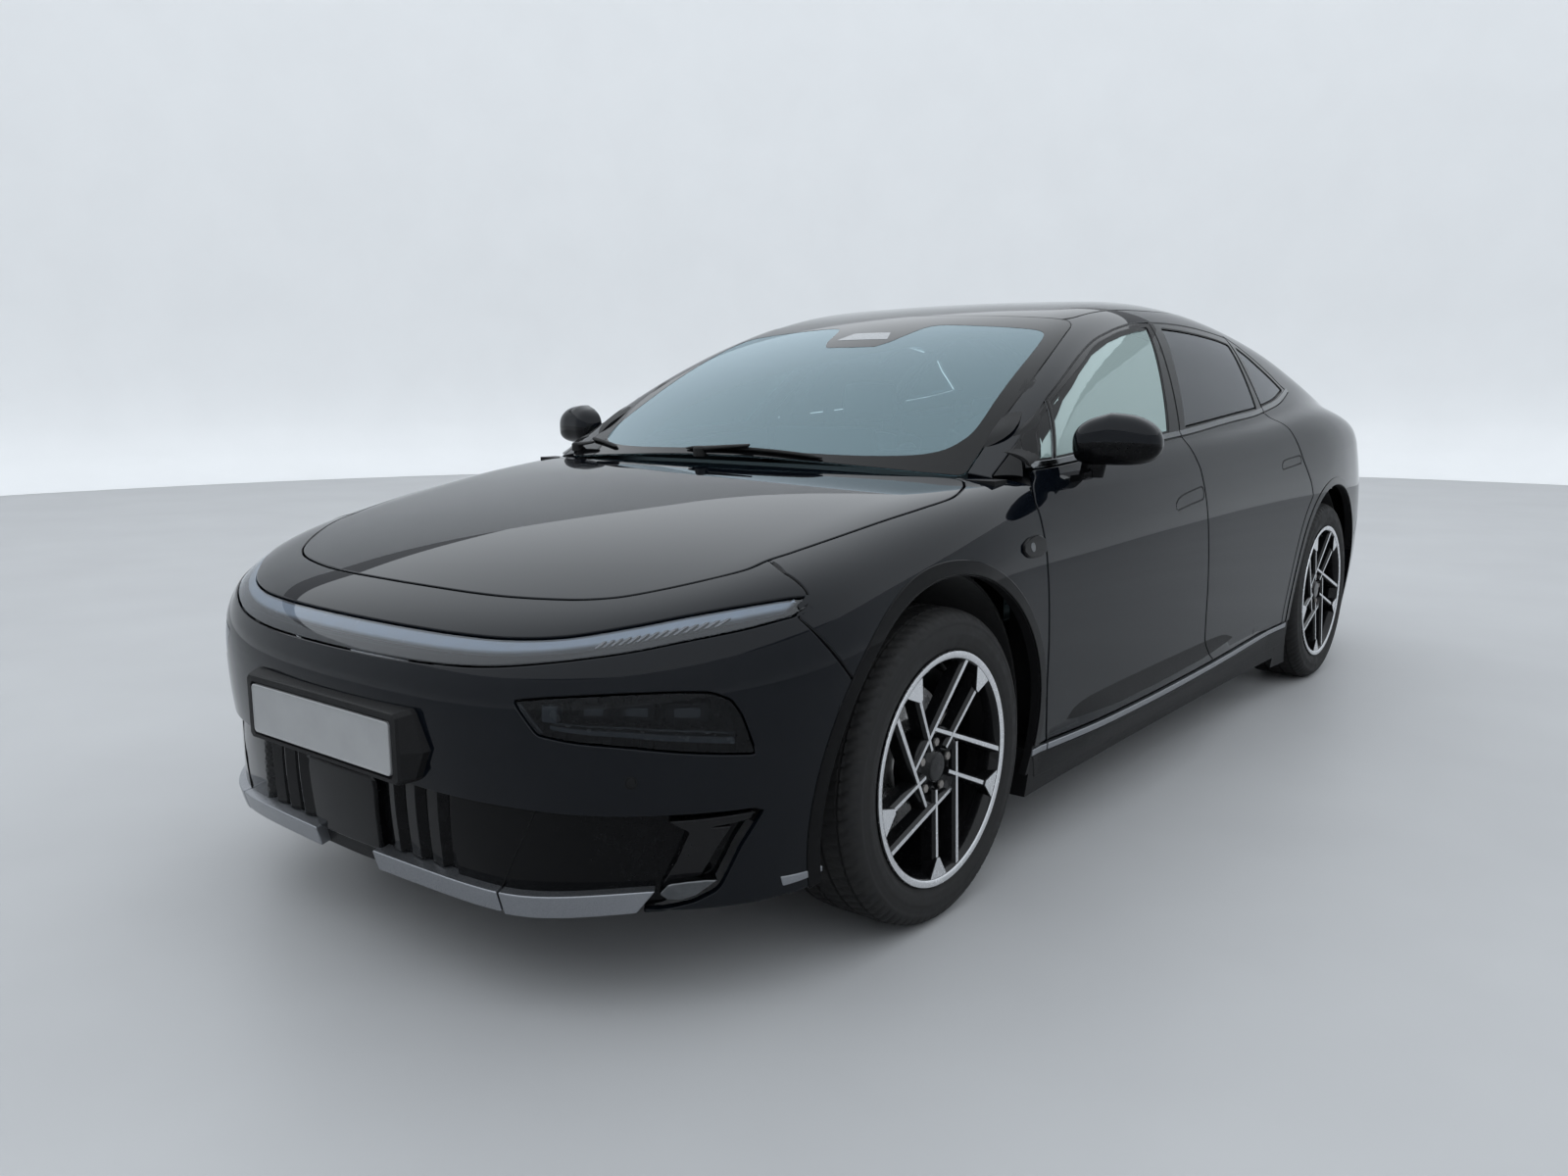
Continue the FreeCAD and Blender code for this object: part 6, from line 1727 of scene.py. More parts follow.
hr = [at_y(mid_points(.300, .452, .600, .036), -2.470), at_y(mid_points(.296, .449, .597, .030), -2.508), at_y(mid_points(.284, .446, .592, .004), -2.534),
      at_y(mid_points(.281, .448, .5895, .0), -2.5385), at_y(mid_points(.2660, .456, .5775, .0), -2.5395), at_y(mid_points(.2640, .458, .5755, .0), -2.5330)]
hold = ring_solid(hr)
add("plate_holder", *hold[:3], [M["trim"]], "root", "trim_black")
pl = ring_solid([at_y(rrect(.2600, .4620, .5720, .010), -2.5330), at_y(rrect(.2600, .4620, .5720, .010), -2.5400), at_y(rrect(.2588, .4632, .5708, .009), -2.5412),
                 at_y(rrect(.2560, .4660, .5680, .008), -2.5412), at_y(rrect(.2552, .4668, .5672, .0075), -2.5402)])
pr_ = ring_solid([at_y(rrect(.2600, .4450, .5550, .010), 2.5120), at_y(rrect(.2600, .4450, .5550, .010), 2.5175), at_y(rrect(.2588, .4462, .5538, .009), 2.5187),
                  at_y(rrect(.2560, .4490, .5510, .008), 2.5187), at_y(rrect(.2552, .4498, .5502, .0075), 2.5178)])
hr2 = ring_solid([at_y(rrect(.272, .434, .566, .012), 2.500), at_y(rrect(.272, .434, .566, .012), 2.5135), at_y(rrect(.2685, .4375, .5625, .010), 2.5150)])
pp = merge([pl, pr_, remat(hr2, 1)])
add("plates_bare", *pp[:3], [M["plate"], M["trim"]], "root", "plate", pp[3], ["number_plates"])

# parking sensors: ring and button on the bumper
sens = []
for x_, z_ in ((.728, .494), (.33, .475)):
    c = lyf([(x_, z_)], sm=False)[0]
    n_ = grad(FLB, c[None])[0]
    u_ = np.cross(n_, A([0, 0, 1.]))
    u_ /= np.linalg.norm(u_)
    v_ = np.cross(u_, n_)
    if abs(x_) > .4:
        cir = lambda r_, d: [tuple(c + u_ * r_ * math.cos(RAD(t)) + v_ * r_ * math.sin(RAD(t)) + n_ * d) for t in range(0, 360, 15)]
        sens.append(ring_solid([cir(.0125, -.004), cir(.0125, .0022), cir(.0108, .0026), cir(.0104, .0014), cir(.0090, .0014), cir(.0082, .0024)]))
c = lx([(-1.969, .593)], F=FLB, sm=False)[0]
n_ = grad(FLB, c[None])[0]
u_ = np.cross(n_, A([0, 0, 1.]))
u_ /= np.linalg.norm(u_)
v_ = np.cross(u_, n_)
cir = lambda r_, d: [tuple(c + u_ * r_ * math.cos(RAD(t)) + v_ * r_ * math.sin(RAD(t)) + n_ * d) for t in range(0, 360, 15)]
sens.append(ring_solid([cir(.0125, -.004), cir(.0125, .0022), cir(.0108, .0026), cir(.0104, .0014), cir(.0090, .0014), cir(.0082, .0024)]))
s2_ = both_sides(merge(sens))
add("parking_sensors", *s2_[:3], [M["trim"]], "root", "trim_black")

# =====================================================================================
# screen, wipers, mirrors
# =====================================================================================
CLEAR = [(0, -1.214), (.20, -1.212), (.40, -1.187), (.56, -1.140), (.63, -1.095), (.660, -1.040), (.668, -.985), (.655, -.86), (.628, -.62),
         (.606, -.50), (.585, -.452), (.545, -.432), (.36, -.424), (.215, -.424), (.175, -.445), (.125, -.585), (.095, -.628), (0, -.632)]
cq = smooth(CLEAR, step=.010, corner=50)
cl = np.vstack([cq, (cq[::-1] * A([-1., 1]))[1:]])
wq = smooth(WINDSCREEN[:5] + SCREEN_SIDE + WINDSCREEN[11:], step=.010)
wfull = np.vstack([wq, (wq[::-1] * A([-1., 1]))[1:]])
fr_ = build(topg, [[(lz(wfull, F=FGH, sm=False), True)], [(lz(cl[:-1], F=FGH, sm=False), True)]], du=.016, off=.0021, gap=.0008, r=.0, flange=.0012, rc=0, step=.012)
win_ = [(-.100, -.565), (.100, -.565), (.070, -.500), (-.070, -.500)]
patch_w = build(topg, [[(lz(win_ + win_[:1], F=FGH, sm=False), True)]], du=.016, off=.0027, gap=.0, r=.0, flange=.0004, rc=.004, step=.008)
fm = merge([fr_, remat(patch_w, 1)])
add("windscreen_frit", *fm[:3], [M["piano"], M["frost2"]], "root", "screen_glass", fm[3])
# sensor housing behind the patch
sh_ = prism([(-.10, -.60), (.10, -.60), (.075, -.44), (-.075, -.44)], lambda u, v, d: (u, v, 1.395 - .33 * (v + .44) * -1 * -1 - d - .0), .015, .060, bevel=.008)
add("camera_housing", *prism([(-.105, -.61), (.105, -.61), (.08, -.40), (-.08, -.40)],
                             lambda u, v, d: (u, v, float(np.interp(v, [-.65, -.38], [1.322, 1.410])) - d), .012, .055, bevel=.008)[:3], [M["dash"]], "root", "dash_plastic")


def on_screen(pts, lift):
    P_ = lz(pts, F=FGH, sm=False)
    n_ = grad(FGH, P_)
    return P_ + n_ * lift, n_


wp = []
for piv, arm_e, bl_a, bl_b in (((-.075, -1.262), (.085, -1.232), (-.16, -1.224), (.335, -1.222)), ((-.742, -1.128), (-.640, -1.150), (-.715, -1.080), (-.50, -1.178))):
    m_ = 14
    t = np.linspace(0, 1, m_)[:, None]
    aa, ee = A(piv), A(arm_e)
    q = aa * (1 - t) + ee * t
    z0 = float(lz([tuple(np.clip(ee, [-.7, -1.24], [.7, 0]))], F=FGH, sm=False)[0, 2])
    base = lz([(float(np.clip(piv[0], -.70, .70)), max(piv[1], -1.235 if abs(piv[0]) < .4 else -1.13))], F=FGH, sm=False)[0, 2]
    P_ = np.stack([q[:, 0], q[:, 1], base + .010 + (z0 + .022 - base - .010) * t[:, 0]], 1)
    N_ = np.tile([0, -.35, .94], (m_, 1))
    wp.append(sweep(P_, N_, [(-.009, -.003), (.009, -.003), (.008, .003), (.004, .006), (-.004, .006), (-.008, .003)], scale=np.linspace(1.25, .7, m_)))
    b0, b1 = A(bl_a), A(bl_b)
    m_ = 30
    t = np.linspace(0, 1, m_)[:, None]
    q = b0 * (1 - t) + b1 * t
    P_, N_ = on_screen(q, .006)
    wp.append(sweep(P_, N_, [(-.0012, -.0062), (.0012, -.0062), (.0025, -.001), (.007, .001), (.0062, .0050), (.0015, .0085), (-.004, .0050), (-.007, .001), (-.0025, -.001)],
                    scale=np.clip(np.minimum(np.linspace(0, 8, m_), np.linspace(8, 0, m_)) + .35, .35, 1)))
    c_ = A([piv[0], piv[1], base + .010])
    cir = lambda r_, d: [tuple(c_ + A([r_ * math.cos(RAD(k)), r_ * math.sin(RAD(k)) * .9, d])) for k in range(0, 360, 15)]
    wp.append(ring_solid([cir(.020, -.020), cir(.020, .002), cir(.016, .007), cir(.008, .009)]))
wm = merge(wp)
add("wipers", *wm[:3], [M["rubber"]], "root", "trim_black")


def mirror_head(s=1.0, zlo=-1.0, zhi=1.0, grow=0.0):
    """Rounded housing, flat at the back where its glass sits."""
    U, K = 40, 48
    rows = []
    for i in range(U + 1):
        u = -1 + 2 * i / U
        u = math.sin(u * math.pi / 2)
        cap_ = max(1 - abs(u) ** (8 if u < 0 else 3.0), 0) ** (1 / 2.3)
        sc = cap_ * float(np.interp(u, [-1, -.5, .2, 1], [.78, .95, 1, 1]))
        up = cap_ * float(np.interp(u, [-1, -.6, -.15, .4, 1], [.58, .82, 1, .93, .80]))
        dn = cap_ * float(np.interp(u, [-1, -.5, 0, 1], [.86, .98, 1, .95]))
        # inner end is fuller than the outer one
        row = []
        for k in range(K):
            a_ = 2 * math.pi * k / K
            cy, cz = math.cos(a_), math.sin(a_)
            e = 2 / 2.5
            yy = -math.copysign(abs(cy) ** e, cy) * .064 * sc
            zz = abs(cz) ** e * .073 * up if cz > 0 else -abs(cz) ** .55 * .062 * dn
            yy = min(yy, .0125)
            row.append((u * (.1145 + grow), yy * (1 + grow * 8), zz * (1 + grow * 8) - .006 * u * u))
        rows.append(row)
    return rows


def place_mirror(p):
    x_, y_, z_ = p
    c, s_ = math.cos(RAD(14)), math.sin(RAD(14))
    return (1.0105 + x_ * c - y_ * s_, -.857 + x_ * s_ + y_ * c, 1.0745 + z_)


rows = mirror_head()
K = len(rows[0])
co = [place_mirror(p) for r_ in rows for p in r_]
f, mi = [], []
for i in range(len(rows) - 1):
    for k in range(K):
        k2 = (k + 1) % K
        f.append((i * K + k, i * K + k2, (i + 1) * K + k2, (i + 1) * K + k))
        zc = (rows[i][k][2] + rows[i][k2][2]) / 2
        xc = rows[i][k][0]
        yc = (rows[i][k][1] + rows[i][k2][1]) / 2
        back = yc > .0115
        mi.append(1 if (zc < -.004 - .02 * xc or back) else 0)
co = A(co)
cen = co.mean(0)
if np.dot(_newell(co[list(f[5 * K + 3])]), co[f[5 * K + 3][0]] - cen) < 0:
    f = [t[::-1] for t in f]
mh = (co, f, None, mi)
gco, gf = [], []
for nm, zs in (("mirror", 0),):
    pts_g = []
    for k in range(40):
        a_ = 2 * math.pi * k / 40
        pts_g.append((math.copysign(abs(math.cos(a_)) ** .7, math.cos(a_)) * .088, math.copysign(abs(math.sin(a_)) ** .8, math.sin(a_)) * .040))
    mg = prism(pts_g, lambda u, v, d: place_mirror((u, d, v - .004)), .0126, .0142, bevel=.0008)
blade = ring_solid([[(.905, -.905, .966), (.905, -.838, .966), (.905, -.838, .982), (.905, -.905, .984)],
                    [(.935, -.905, .972), (.935, -.842, .972), (.935, -.842, .986), (.935, -.905, .989)],
                    [(.962, -.902, .984), (.962, -.850, .984), (.962, -.850, .994), (.962, -.902, .998)]])
postm = ring_solid([[tuple(A(c0) + A([.034 * math.cos(RAD(t)), .020 * math.sin(RAD(t)), 0])) for t in range(0, 360, 20)] for c0 in
                    ((.948, -.876, .980), (.951, -.876, .992), (.954, -.876, 1.004), (.958, -.874, 1.030))], fl=False)
mm_ = merge([(co, f, grad(lambda x, y, z: x, co) * 0 + (co - cen) / np.linalg.norm(co - cen, axis=1, keepdims=True), mi), remat(blade, 1)])
for sd, s_ in (("left", 1), ("right", -1)):
    c_ = co * A([s_, 1, 1])
    f_ = f if s_ > 0 else [t[::-1] for t in f]
    o_ = add("mirror_housing_" + sd, c_, f_, None, [M["paint"], M["piano"]], "front_door_" + sd, "paint", mi, ["mirror_" + sd])
    o_.data.set_sharp_from_angle(angle=RAD(40))
    q = merge([blade, flatn(postm[0], postm[1], postm[3])])
    add("mirror_arm_" + sd, q[0] * A([s_, 1, 1]), q[1] if s_ > 0 else [t[::-1] for t in q[1]], q[2] * A([s_, 1, 1]), [M["piano"]],
        "front_door_" + sd, "gloss_black")
    add("mirror_glass_" + sd, mg[0] * A([s_, 1, 1]), mg[1] if s_ > 0 else [t[::-1] for t in mg[1]], mg[2] * A([s_, 1, 1]), [M["chrome"]],
        "front_door_" + sd, "screen_glass")
# =====================================================================================
# side details
# =====================================================================================


def ring_arc(cy, a0, a1, r0, r1, F, n=90):
    o = lx(arc_pts(cy, WZ, r1, a0, a1, n), F=F, sm=False)
    i = lx(arc_pts(cy, WZ, r0, a1, a0, n), F=F, sm=False)
    return [(o, True), (np.stack([o[-1], i[0]]), True), (i, True), (np.stack([i[-1], o[0]]), True)]


skin("front_arch_lip_{}", side_l, [ring_arc(FY, 197.5, -7.0, AR + .002, AR + .034, FLB)], M["piano"], "root", "trim_black",
     du=.012, off=.0042, gap=0, r=.0025, flange=.014, rc=.002, step=.008)
skin("rear_arch_lip_{}", side, [ring_arc(RY, 187.0, -16.0, AR + .002, AR + .034, FV)], M["piano"], "root", "trim_black",
     du=.012, off=.0042, gap=0, r=.0025, flange=.014, rc=.002, step=.008)


def side_quad(y0, y1, zt, zb, F=FLB, n=60, dy=.0):
    t_ = lx(np.stack([np.linspace(y0, y1, n), np.full(n, zt)], 1), F=F, sm=False)
    b_ = lx(np.stack([np.linspace(y1 - dy, y0 + dy, n), np.full(n, zb)], 1), F=F, sm=False)
    return [(t_, True), (np.stack([t_[-1], b_[0]]), True), (b_, True), (np.stack([b_[-1], t_[0]]), True)]


for nm_, y0, y1 in (("sill_strip_front_{}", -1.128, -1.052), ("sill_strip_{}", -1.046, .972)):
    skin(nm_, side_l, [side_quad(y0, y1, .3015, .284)], M["satin"], "root", "silver_trim", du=.012, off=.0042, gap=0, r=.0022,
         flange=.010, rc=.002, step=.009)
skin("sill_skin_{}", side_l, [side_quad(-1.120, .980, .2805, .214, dy=.03)], M["trim"], "root", "trim_black", du=.018, off=.0025,
     gap=0, r=.004, flange=.012, rc=.006)
pod = [(-1.242, .822), (-1.215, .806), (-1.150, .803), (-1.114, .812), (-1.119, .842), (-1.150, .855), (-1.205, .852), (-1.238, .840)]
skin("side_camera_pod_{}", side_l, [closed(pod, lambda p, **k: lx(p, F=FLB, **k))], M["piano"], "root", "gloss_black", du=.009,
     off=.0080, gap=0, r=.0045, flange=.004, rc=.003, step=.006)
pl_ = [(-1.196 + .012 * math.cos(RAD(20 * i)), .829 + .012 * math.sin(RAD(20 * i))) for i in range(19)]
skin("side_camera_lens_{}", side_l, [[(lx(pl_, F=FLB, sm=False), True)]], M["dchrome"], "root", "gloss_black", du=.006, off=.0096, gap=0,
     r=.0016, flange=.002, rc=0, step=.004)

# black sail in front of the front door and the bar that parts the door's glass
tri3 = [A(p) for p in ((.7952, -.9766, 1.0795), (.7981, -1.0399, 1.0432), (.7993, -1.0921, 1.0136), (.8014, -1.1326, .9906),
                       (.8642, -1.0882, .9889), (.8368, -1.0434, 1.0273))]
tl = []
for i in range(6):
    tl.append((geo(side_g, tri3[i], tri3[(i + 1) % 6], 8), True))
skin("sail_panel_{}", side_g, [tl], M["piano"], "root", "gloss_black", du=.010, off=.0012, gap=.0010, r=.0015, flange=.010, rc=.002,
     step=.006)
dv = geo(side_g, A((.7807, -.8011, 1.1728)), A((.8731, -.9361, 1.0206)), 24)
dvn = grad(FGH, dv)
dpart = merge([sweep(dv - dvn * .002, dvn, [(-.0065, -.004), (.0065, -.004), (.0065, .0030), (.0035, .0045), (-.0035, .0045), (-.0065, .0030)]),
               remat(sweep(dv - dvn * .002, dvn, [(.0068, -.003), (.0088, -.003), (.0088, .0030), (.0068, .0034)]), 1)])
put_pair("front_glass_divider_{}", dpart, [M["piano"], M["dchrome"]], "front_door_{}", "trim_black")

# =====================================================================================
# rear end
# =====================================================================================
half = [(lz([(0, .949), (.25, .949), (.489, .9505)], F=FV, corner=80), True), (GE_, True),
        (lyr(np.stack([np.linspace(XE_, 0, 60), np.full(60, .718)], 1), sm=False), True)]
gate_loop = half + [(flip(s_[0])[::-1], s_[1]) for s_ in half[::-1]]
p1, p2 = sym_xy(REAR_WINDOW)
rw = lz(np.vstack([p1, p2[1:]]), F=FV, sm=False)


def tail_quad(x0, x1, z0, z1, n=70, e=.0):
    a_ = np.stack([np.linspace(x0, x1, n), np.full(n, z0)], 1)
    b_ = np.stack([np.linspace(x0, x1 - e, n), np.full(n, z1)], 1)
    return quad_loop(a_, b_, lyr)


lamp_hole = tail_quad(-.702, .702, .908, .972)
co, fa, no, mi = build(gatec, [gate_loop, [(rw, True)], lamp_hole], du=.020, flange=.026, thick=.029, step=.010)
add("tailgate_skin", co, fa, no, [M["paint"], M["trim"]], "tailgate", "paint", mi, ["tailgate"])
co, fa, no, mi = build(gatec, [[(rw, True)]], du=.022, off=-.0005, gap=.0010, r=.001, flange=.002, rc=.002, step=.010, thick=.004)
add("rear_window_pane", co, fa, no, [M["darkglass"]], "tailgate", "dark_glass", None, ["rear_window"])
q_ = np.vstack([p1, p2[1:]])
t_ = np.roll(q_, -1, 0) - np.roll(q_, 1, 0)
t_ /= np.maximum(np.linalg.norm(t_, axis=1, keepdims=True), 1e-9)
n2_ = np.stack([t_[:, 1], -t_[:, 0]], 1) * (1 if area(q_) > 0 else -1)
rw_in = lz(q_ - n2_ * .038, F=FV, sm=False)
rw_out = lz(q_ + n2_ * .006, F=FV, sm=False)
co, fa, no, mi = build(gatec, [[(rw_out, True)], [(rw_in, True)]], du=.016, off=-.0075, gap=0, r=.0, flange=.003, rc=0, step=.012)
add("rear_window_frit", co, fa, no, [M["piano"]], "tailgate", "gloss_black", None)
hl_p = lz([(-.10, .966), (0, .966), (.10, .966)], F=FV, sm=False)
# full-width lamp: black tray, red light lines, smoked red lens
back = build(gatec, [lamp_hole], du=.02, off=-.020, gap=0, r=.0, flange=.004, rc=0, step=.010, thick=.004)
led = []
for z_ in (.922, .958):
    xs = np.linspace(-.690, .690, 120)
    P_ = lyr(np.stack([xs, np.full(120, z_)], 1), sm=False)
    N_ = grad(FV, P_)
    led.append(sweep(P_ - N_ * .013, N_, [(-.0055, -.006), (.0055, -.006), (.0055, .002), (.003, .005), (-.003, .005), (-.0055, .002)]))
for i in range(44):
    x_ = -.680 + 1.36 * i / 43
    P_ = lyr(np.stack([np.full(5, x_), np.linspace(.930, .950, 5)], 1), sm=False)
    N_ = grad(FV, P_)
    led.append(sweep(P_ - N_ * .016, N_, [(-.0035, -.003), (.0035, -.003), (.0025, .004), (-.0025, .004)]))
lb_ = merge([back] + [remat(q, 1) for q in led])
add("tail_lamp_inside", *lb_[:3], [M["piano"], M["redbody"]], "tailgate", "lamp_red", lb_[3], ["tail_lamp_bar"])
ln_ = build(gatec, [lamp_hole], du=.014, off=.0010, gap=.0012, r=.002, flange=.006, rc=.002, step=.008)
add("tail_lamp_lens", *ln_[:3], [M["redlens"]], "tailgate", "lamp_red")
cl_ = tail_quad(.754, .822, .909, .971, 16, .006)
cb2 = [build(tailc, [cl_], du=.012, off=-.014, gap=0, r=.0, flange=.003, rc=0, step=.006, thick=.003)]
for z_ in (.922, .958):
    P_ = lyr(np.stack([np.linspace(.758, .812, 10), np.full(10, z_)], 1), sm=False)
    N_ = grad(FV, P_)
    cb2.append(remat(sweep(P_ - N_ * .009, N_, [(-.0055, -.005), (.0055, -.005), (.0055, .002), (.003, .004), (-.003, .004), (-.0055, .002)]), 1))
cb3 = both_sides(merge(cb2))
add("corner_lamp_inside", *cb3[:3], [M["piano"], M["redbody"]], "root", "lamp_red", cb3[3], ["rear_corner_lamps"])
cn_ = both_sides(build(tailc, [cl_], du=.010, off=.0010, gap=.0010, r=.0015, flange=.005, rc=.002, step=.006))
add("corner_lamp_lens", *cn_[:3], [M["redlens"]], "root", "lamp_red")

# rear bumper
a_hi = math.degrees(math.asin((.492 - WZ) / AR))
a_lo = -math.degrees(math.asin((WZ - .205) / AR))
rarch = lx(arc_pts(RY, WZ, AR, a_hi, a_lo, 50), F=FV, sm=False)
pe2 = rarch[-1]
ph2 = np.linspace(math.atan2(pe2[0], pe2[1] - 1.45), 0, 70)
rlow = ring_z(tailc, 1.45, .60, ph2, np.interp(np.linspace(0, 1, 70), [0, .3, 1], [.205, .188, .186]), 1)
half = [(lyr(np.stack([np.linspace(0, XE_, 60), np.full(60, .716)], 1), sm=False), True), (RB_LOWB[::-1], True), (RB_LOW[::-1], True),
        (RB_SH, True), (rarch, True), (rlow, True)]
rb_loop = half + [(flip(s_[0])[::-1], s_[1]) for s_ in half[::-1]]
pk = rrect(.278, .437, .563, .012)
pk_l = lyr(pk + pk[:1], sm=False)
co, fa, no, mi = build(tailc, [rb_loop, [(pk_l, True)]], du=.022, flange=.022, thick=.025, step=.010)
add("rear_bumper_skin", co, fa, no, [M["paint"], M["dark"]], "root", "paint", mi, ["rear_bumper"])
pkb = build(tailc, [[(pk_l, True)]], du=.03, off=-.024, gap=-.004, r=.0, flange=.004, rc=0, step=.012, thick=.004)
add("plate_pocket", *pkb[:3], [M["trim"]], "root", "trim_black")
val = [build(tailc, [tail_quad(-.60, .60, .196, .300, 80, 0)], du=.02, off=.0045, gap=0, r=.003, flange=.010, rc=.008, step=.010)]
for x_ in (-.42, -.14, .14, .42):
    P_ = lyr(np.stack([np.full(10, x_), np.linspace(.204, .286, 10)], 1), sm=False)
    N_ = grad(FV, P_)
    val.append(sweep(P_, N_, [(-.006, 0), (.006, 0), (.003, .012), (-.003, .012)], flatten=True))
vm = merge(val)
add("rear_valance", *vm[:3], [M["trim"]], "root", "trim_black")
rf_ = both_sides(patch(tailc, tail_quad(.66, .80, .338, .360, 16, .004), off=.0040, r=.002, flange=.004))
add("rear_reflectors", *rf_[:3], [M["redbody"]], "root", "lamp_red")

# =====================================================================================
# cabin
# =====================================================================================


def unit(v):
    v = A(v, float)
    return v / np.linalg.norm(v)


def pad(c, U, V, W, hu, hv, hw, crown=.30, pull=.045, rnd=.10, chan=(), nu=26, nv=26, edge=6.0, under=.7, pipe=.0030):
    """Crowned closed cushion: U and V span it, W is its face. Sides pull in between the corners, sewn channels sink in, a piping runs round."""
    c, U, V, W = A(c, float), unit(U), unit(V), unit(W)
    s = np.sin(np.linspace(-math.pi / 2, math.pi / 2, nu + 1))
    t = np.sin(np.linspace(-math.pi / 2, math.pi / 2, nv + 1))
    S, T = np.meshgrid(s, t, indexing="ij")
    k = 1 - rnd * S ** 2 * T ** 2
    X = hu * S * k * (1 - pull * (1 - T ** 2))
    Y = hv * T * k * (1 - pull * (1 - S ** 2))
    e = np.clip((1 - np.abs(S) ** edge) * (1 - np.abs(T) ** edge), 0, 1) ** .42
    top = hw * e * (1 + crown * (1 - S ** 2) * (1 - T ** 2))
    for ax, v, w, d in chan:
        top = top - d * e * np.exp(-((((X if ax == 0 else Y) - v) / w) ** 2))
    bot = -hw * under * e
    n1, m1 = nu + 1, nv + 1
    P = c + U * X[..., None] + V * Y[..., None]
    co = [(P + W * top[..., None]).reshape(-1, 3)]
    idx = -np.ones((n1, m1), int)
    idx[0], idx[-1], idx[:, 0], idx[:, -1] = 0, 0, 0, 0
    base = np.arange(n1 * m1).reshape(n1, m1)
    rim = idx == 0
    low_ = np.where(rim, base, 0)
    inner = ~rim
    low_[inner] = n1 * m1 + np.arange(inner.sum())
    co.append((P + W * bot[..., None])[inner])
    co = np.vstack(co)
    f = []
    for i in range(nu):
        for j in range(nv):
            f.append((base[i, j], base[i + 1, j], base[i + 1, j + 1], base[i, j + 1]))
            f.append((low_[i, j], low_[i, j + 1], low_[i + 1, j + 1], low_[i + 1, j]))
    if np.dot(np.cross(U, V), W) < 0:
        f = [q[::-1] for q in f]
    # vertex normals from the faces
    no = np.zeros_like(co)
    for q in f:
        p = co[list(q)]
        w = np.cross(p[2] - p[0], p[3] - p[1])
        for i in q:
            no[i] += w
    no /= np.maximum(np.linalg.norm(no, axis=1, keepdims=True), 1e-12)
    parts = [(co, f, no, [0] * len(f))]
    if pipe:
        ring_i = list(base[:, 0]) + list(base[-1, 1:]) + list(base[-2::-1, -1]) + list(base[0, -2:0:-1])
        R_ = co[ring_i]
        R_ = resample(np.vstack([R_, R_[:1]]), .014)[:-1]
        cc = R_ - c
        Nn = np.tile(W, (len(R_), 1))
        parts.append(remat(sweep(R_, Nn, [(pipe * math.cos(2 * math.pi * i / 7), pipe * math.sin(2 * math.pi * i / 7)) for i in range(7)],
                                 closed_path=True), 1))
    return merge(parts)


def rotx(v, W, deg):
    """Turn two in-plane axes about V so that a bolster leans inwards."""
    a = RAD(deg)
    v, W = unit(v), unit(W)
    return v * math.cos(a) + W * math.sin(a), W * math.cos(a) - v * math.sin(a)


LEA = [M["leather"], M["leather2"]]


def padded(name, part, body="root", both=False, slot="seat_leather", rep=()):
    if both:
        obs = put_pair(name, part, LEA, body, slot, rep)
    else:
        obs = [add(name, *part[:3], LEA, body, slot, part[3], rep)]
    return obs


X1 = A([1., 0, 0])
SX = .37
Vc, Wc = unit((0, .995, -.10)), unit((0, .10, .995))
parts = [pad((SX, -.365, .486), X1, Vc, Wc, .158, .250, .046, chan=[(1, -.15, .007, .010), (1, -.05, .007, .010), (1, .05, .007, .010), (1, .15, .007, .010)])]
for sg in (-1, 1):
    U_, W_ = rotx(X1, Wc, 20 * sg)
    parts.append(pad((SX + sg * .200, -.365, .490), U_, Vc, W_, .050, .245, .050, crown=.25, pull=.03, nu=14))
padded("front_seat_cushion_{}", merge(parts), both=True, rep=())
Vb = unit((0, .309, .951))
Wb = unit((0, -.951, .309))
parts = [pad((SX, -.070, .790), X1, Vb, Wb, .150, .275, .042, chan=[(1, -.16, .007, .010), (1, -.05, .007, .010), (1, .06, .007, .010), (1, .17, .007, .010)])]
for sg in (-1, 1):
    U_, W_ = rotx(X1, Wb, 24 * sg)
    parts.append(pad((SX + sg * .196, -.074, .770), U_, Vb, W_, .048, .250, .050, crown=.25, pull=.03, nu=14))
padded("front_seat_back_{}", merge(parts), both=True)
padded("front_headrest_{}", pad((SX, .024, 1.150), X1, unit((0, .10, .995)), unit((0, -.995, .10)), .122, .078, .042, crown=.35, pull=.06, rnd=.16, nu=20, nv=18),
       both=True)
hard = [pad((SX, -.008, .775), X1, Vb, -Wb, .232, .290, .030, crown=.2, pull=.02, rnd=.12, pipe=0)]
for dx in (-.055, .055):
    hard.append(remat(tube([(SX + dx, .020, 1.02), (SX + dx, .026, 1.10)], .006), 1))
hard.append(remat(prism([(-.53, .300), (-.57, .440), (-.12, .432), (-.10, .360), (-.17, .300)], lambda u, v, d: (d, u, v), SX - .205, SX + .205, bevel=.012), 0))
for dx in (-.175, .175):
    hard.append(remat(prism([(dx - .018, .2795), (dx + .018, .2795), (dx + .018, .2985), (dx + .008, .304), (dx - .008, .304), (dx - .018, .2985)],
                            lambda u, v, d: (SX + u, d, v), -.56, -.10), 1))
hm = merge(hard)
put_pair("front_seat_frame_{}", hm, [M["trim"], M["dchrome"]], "root", "seat_leather", [])
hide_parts("front_seats")

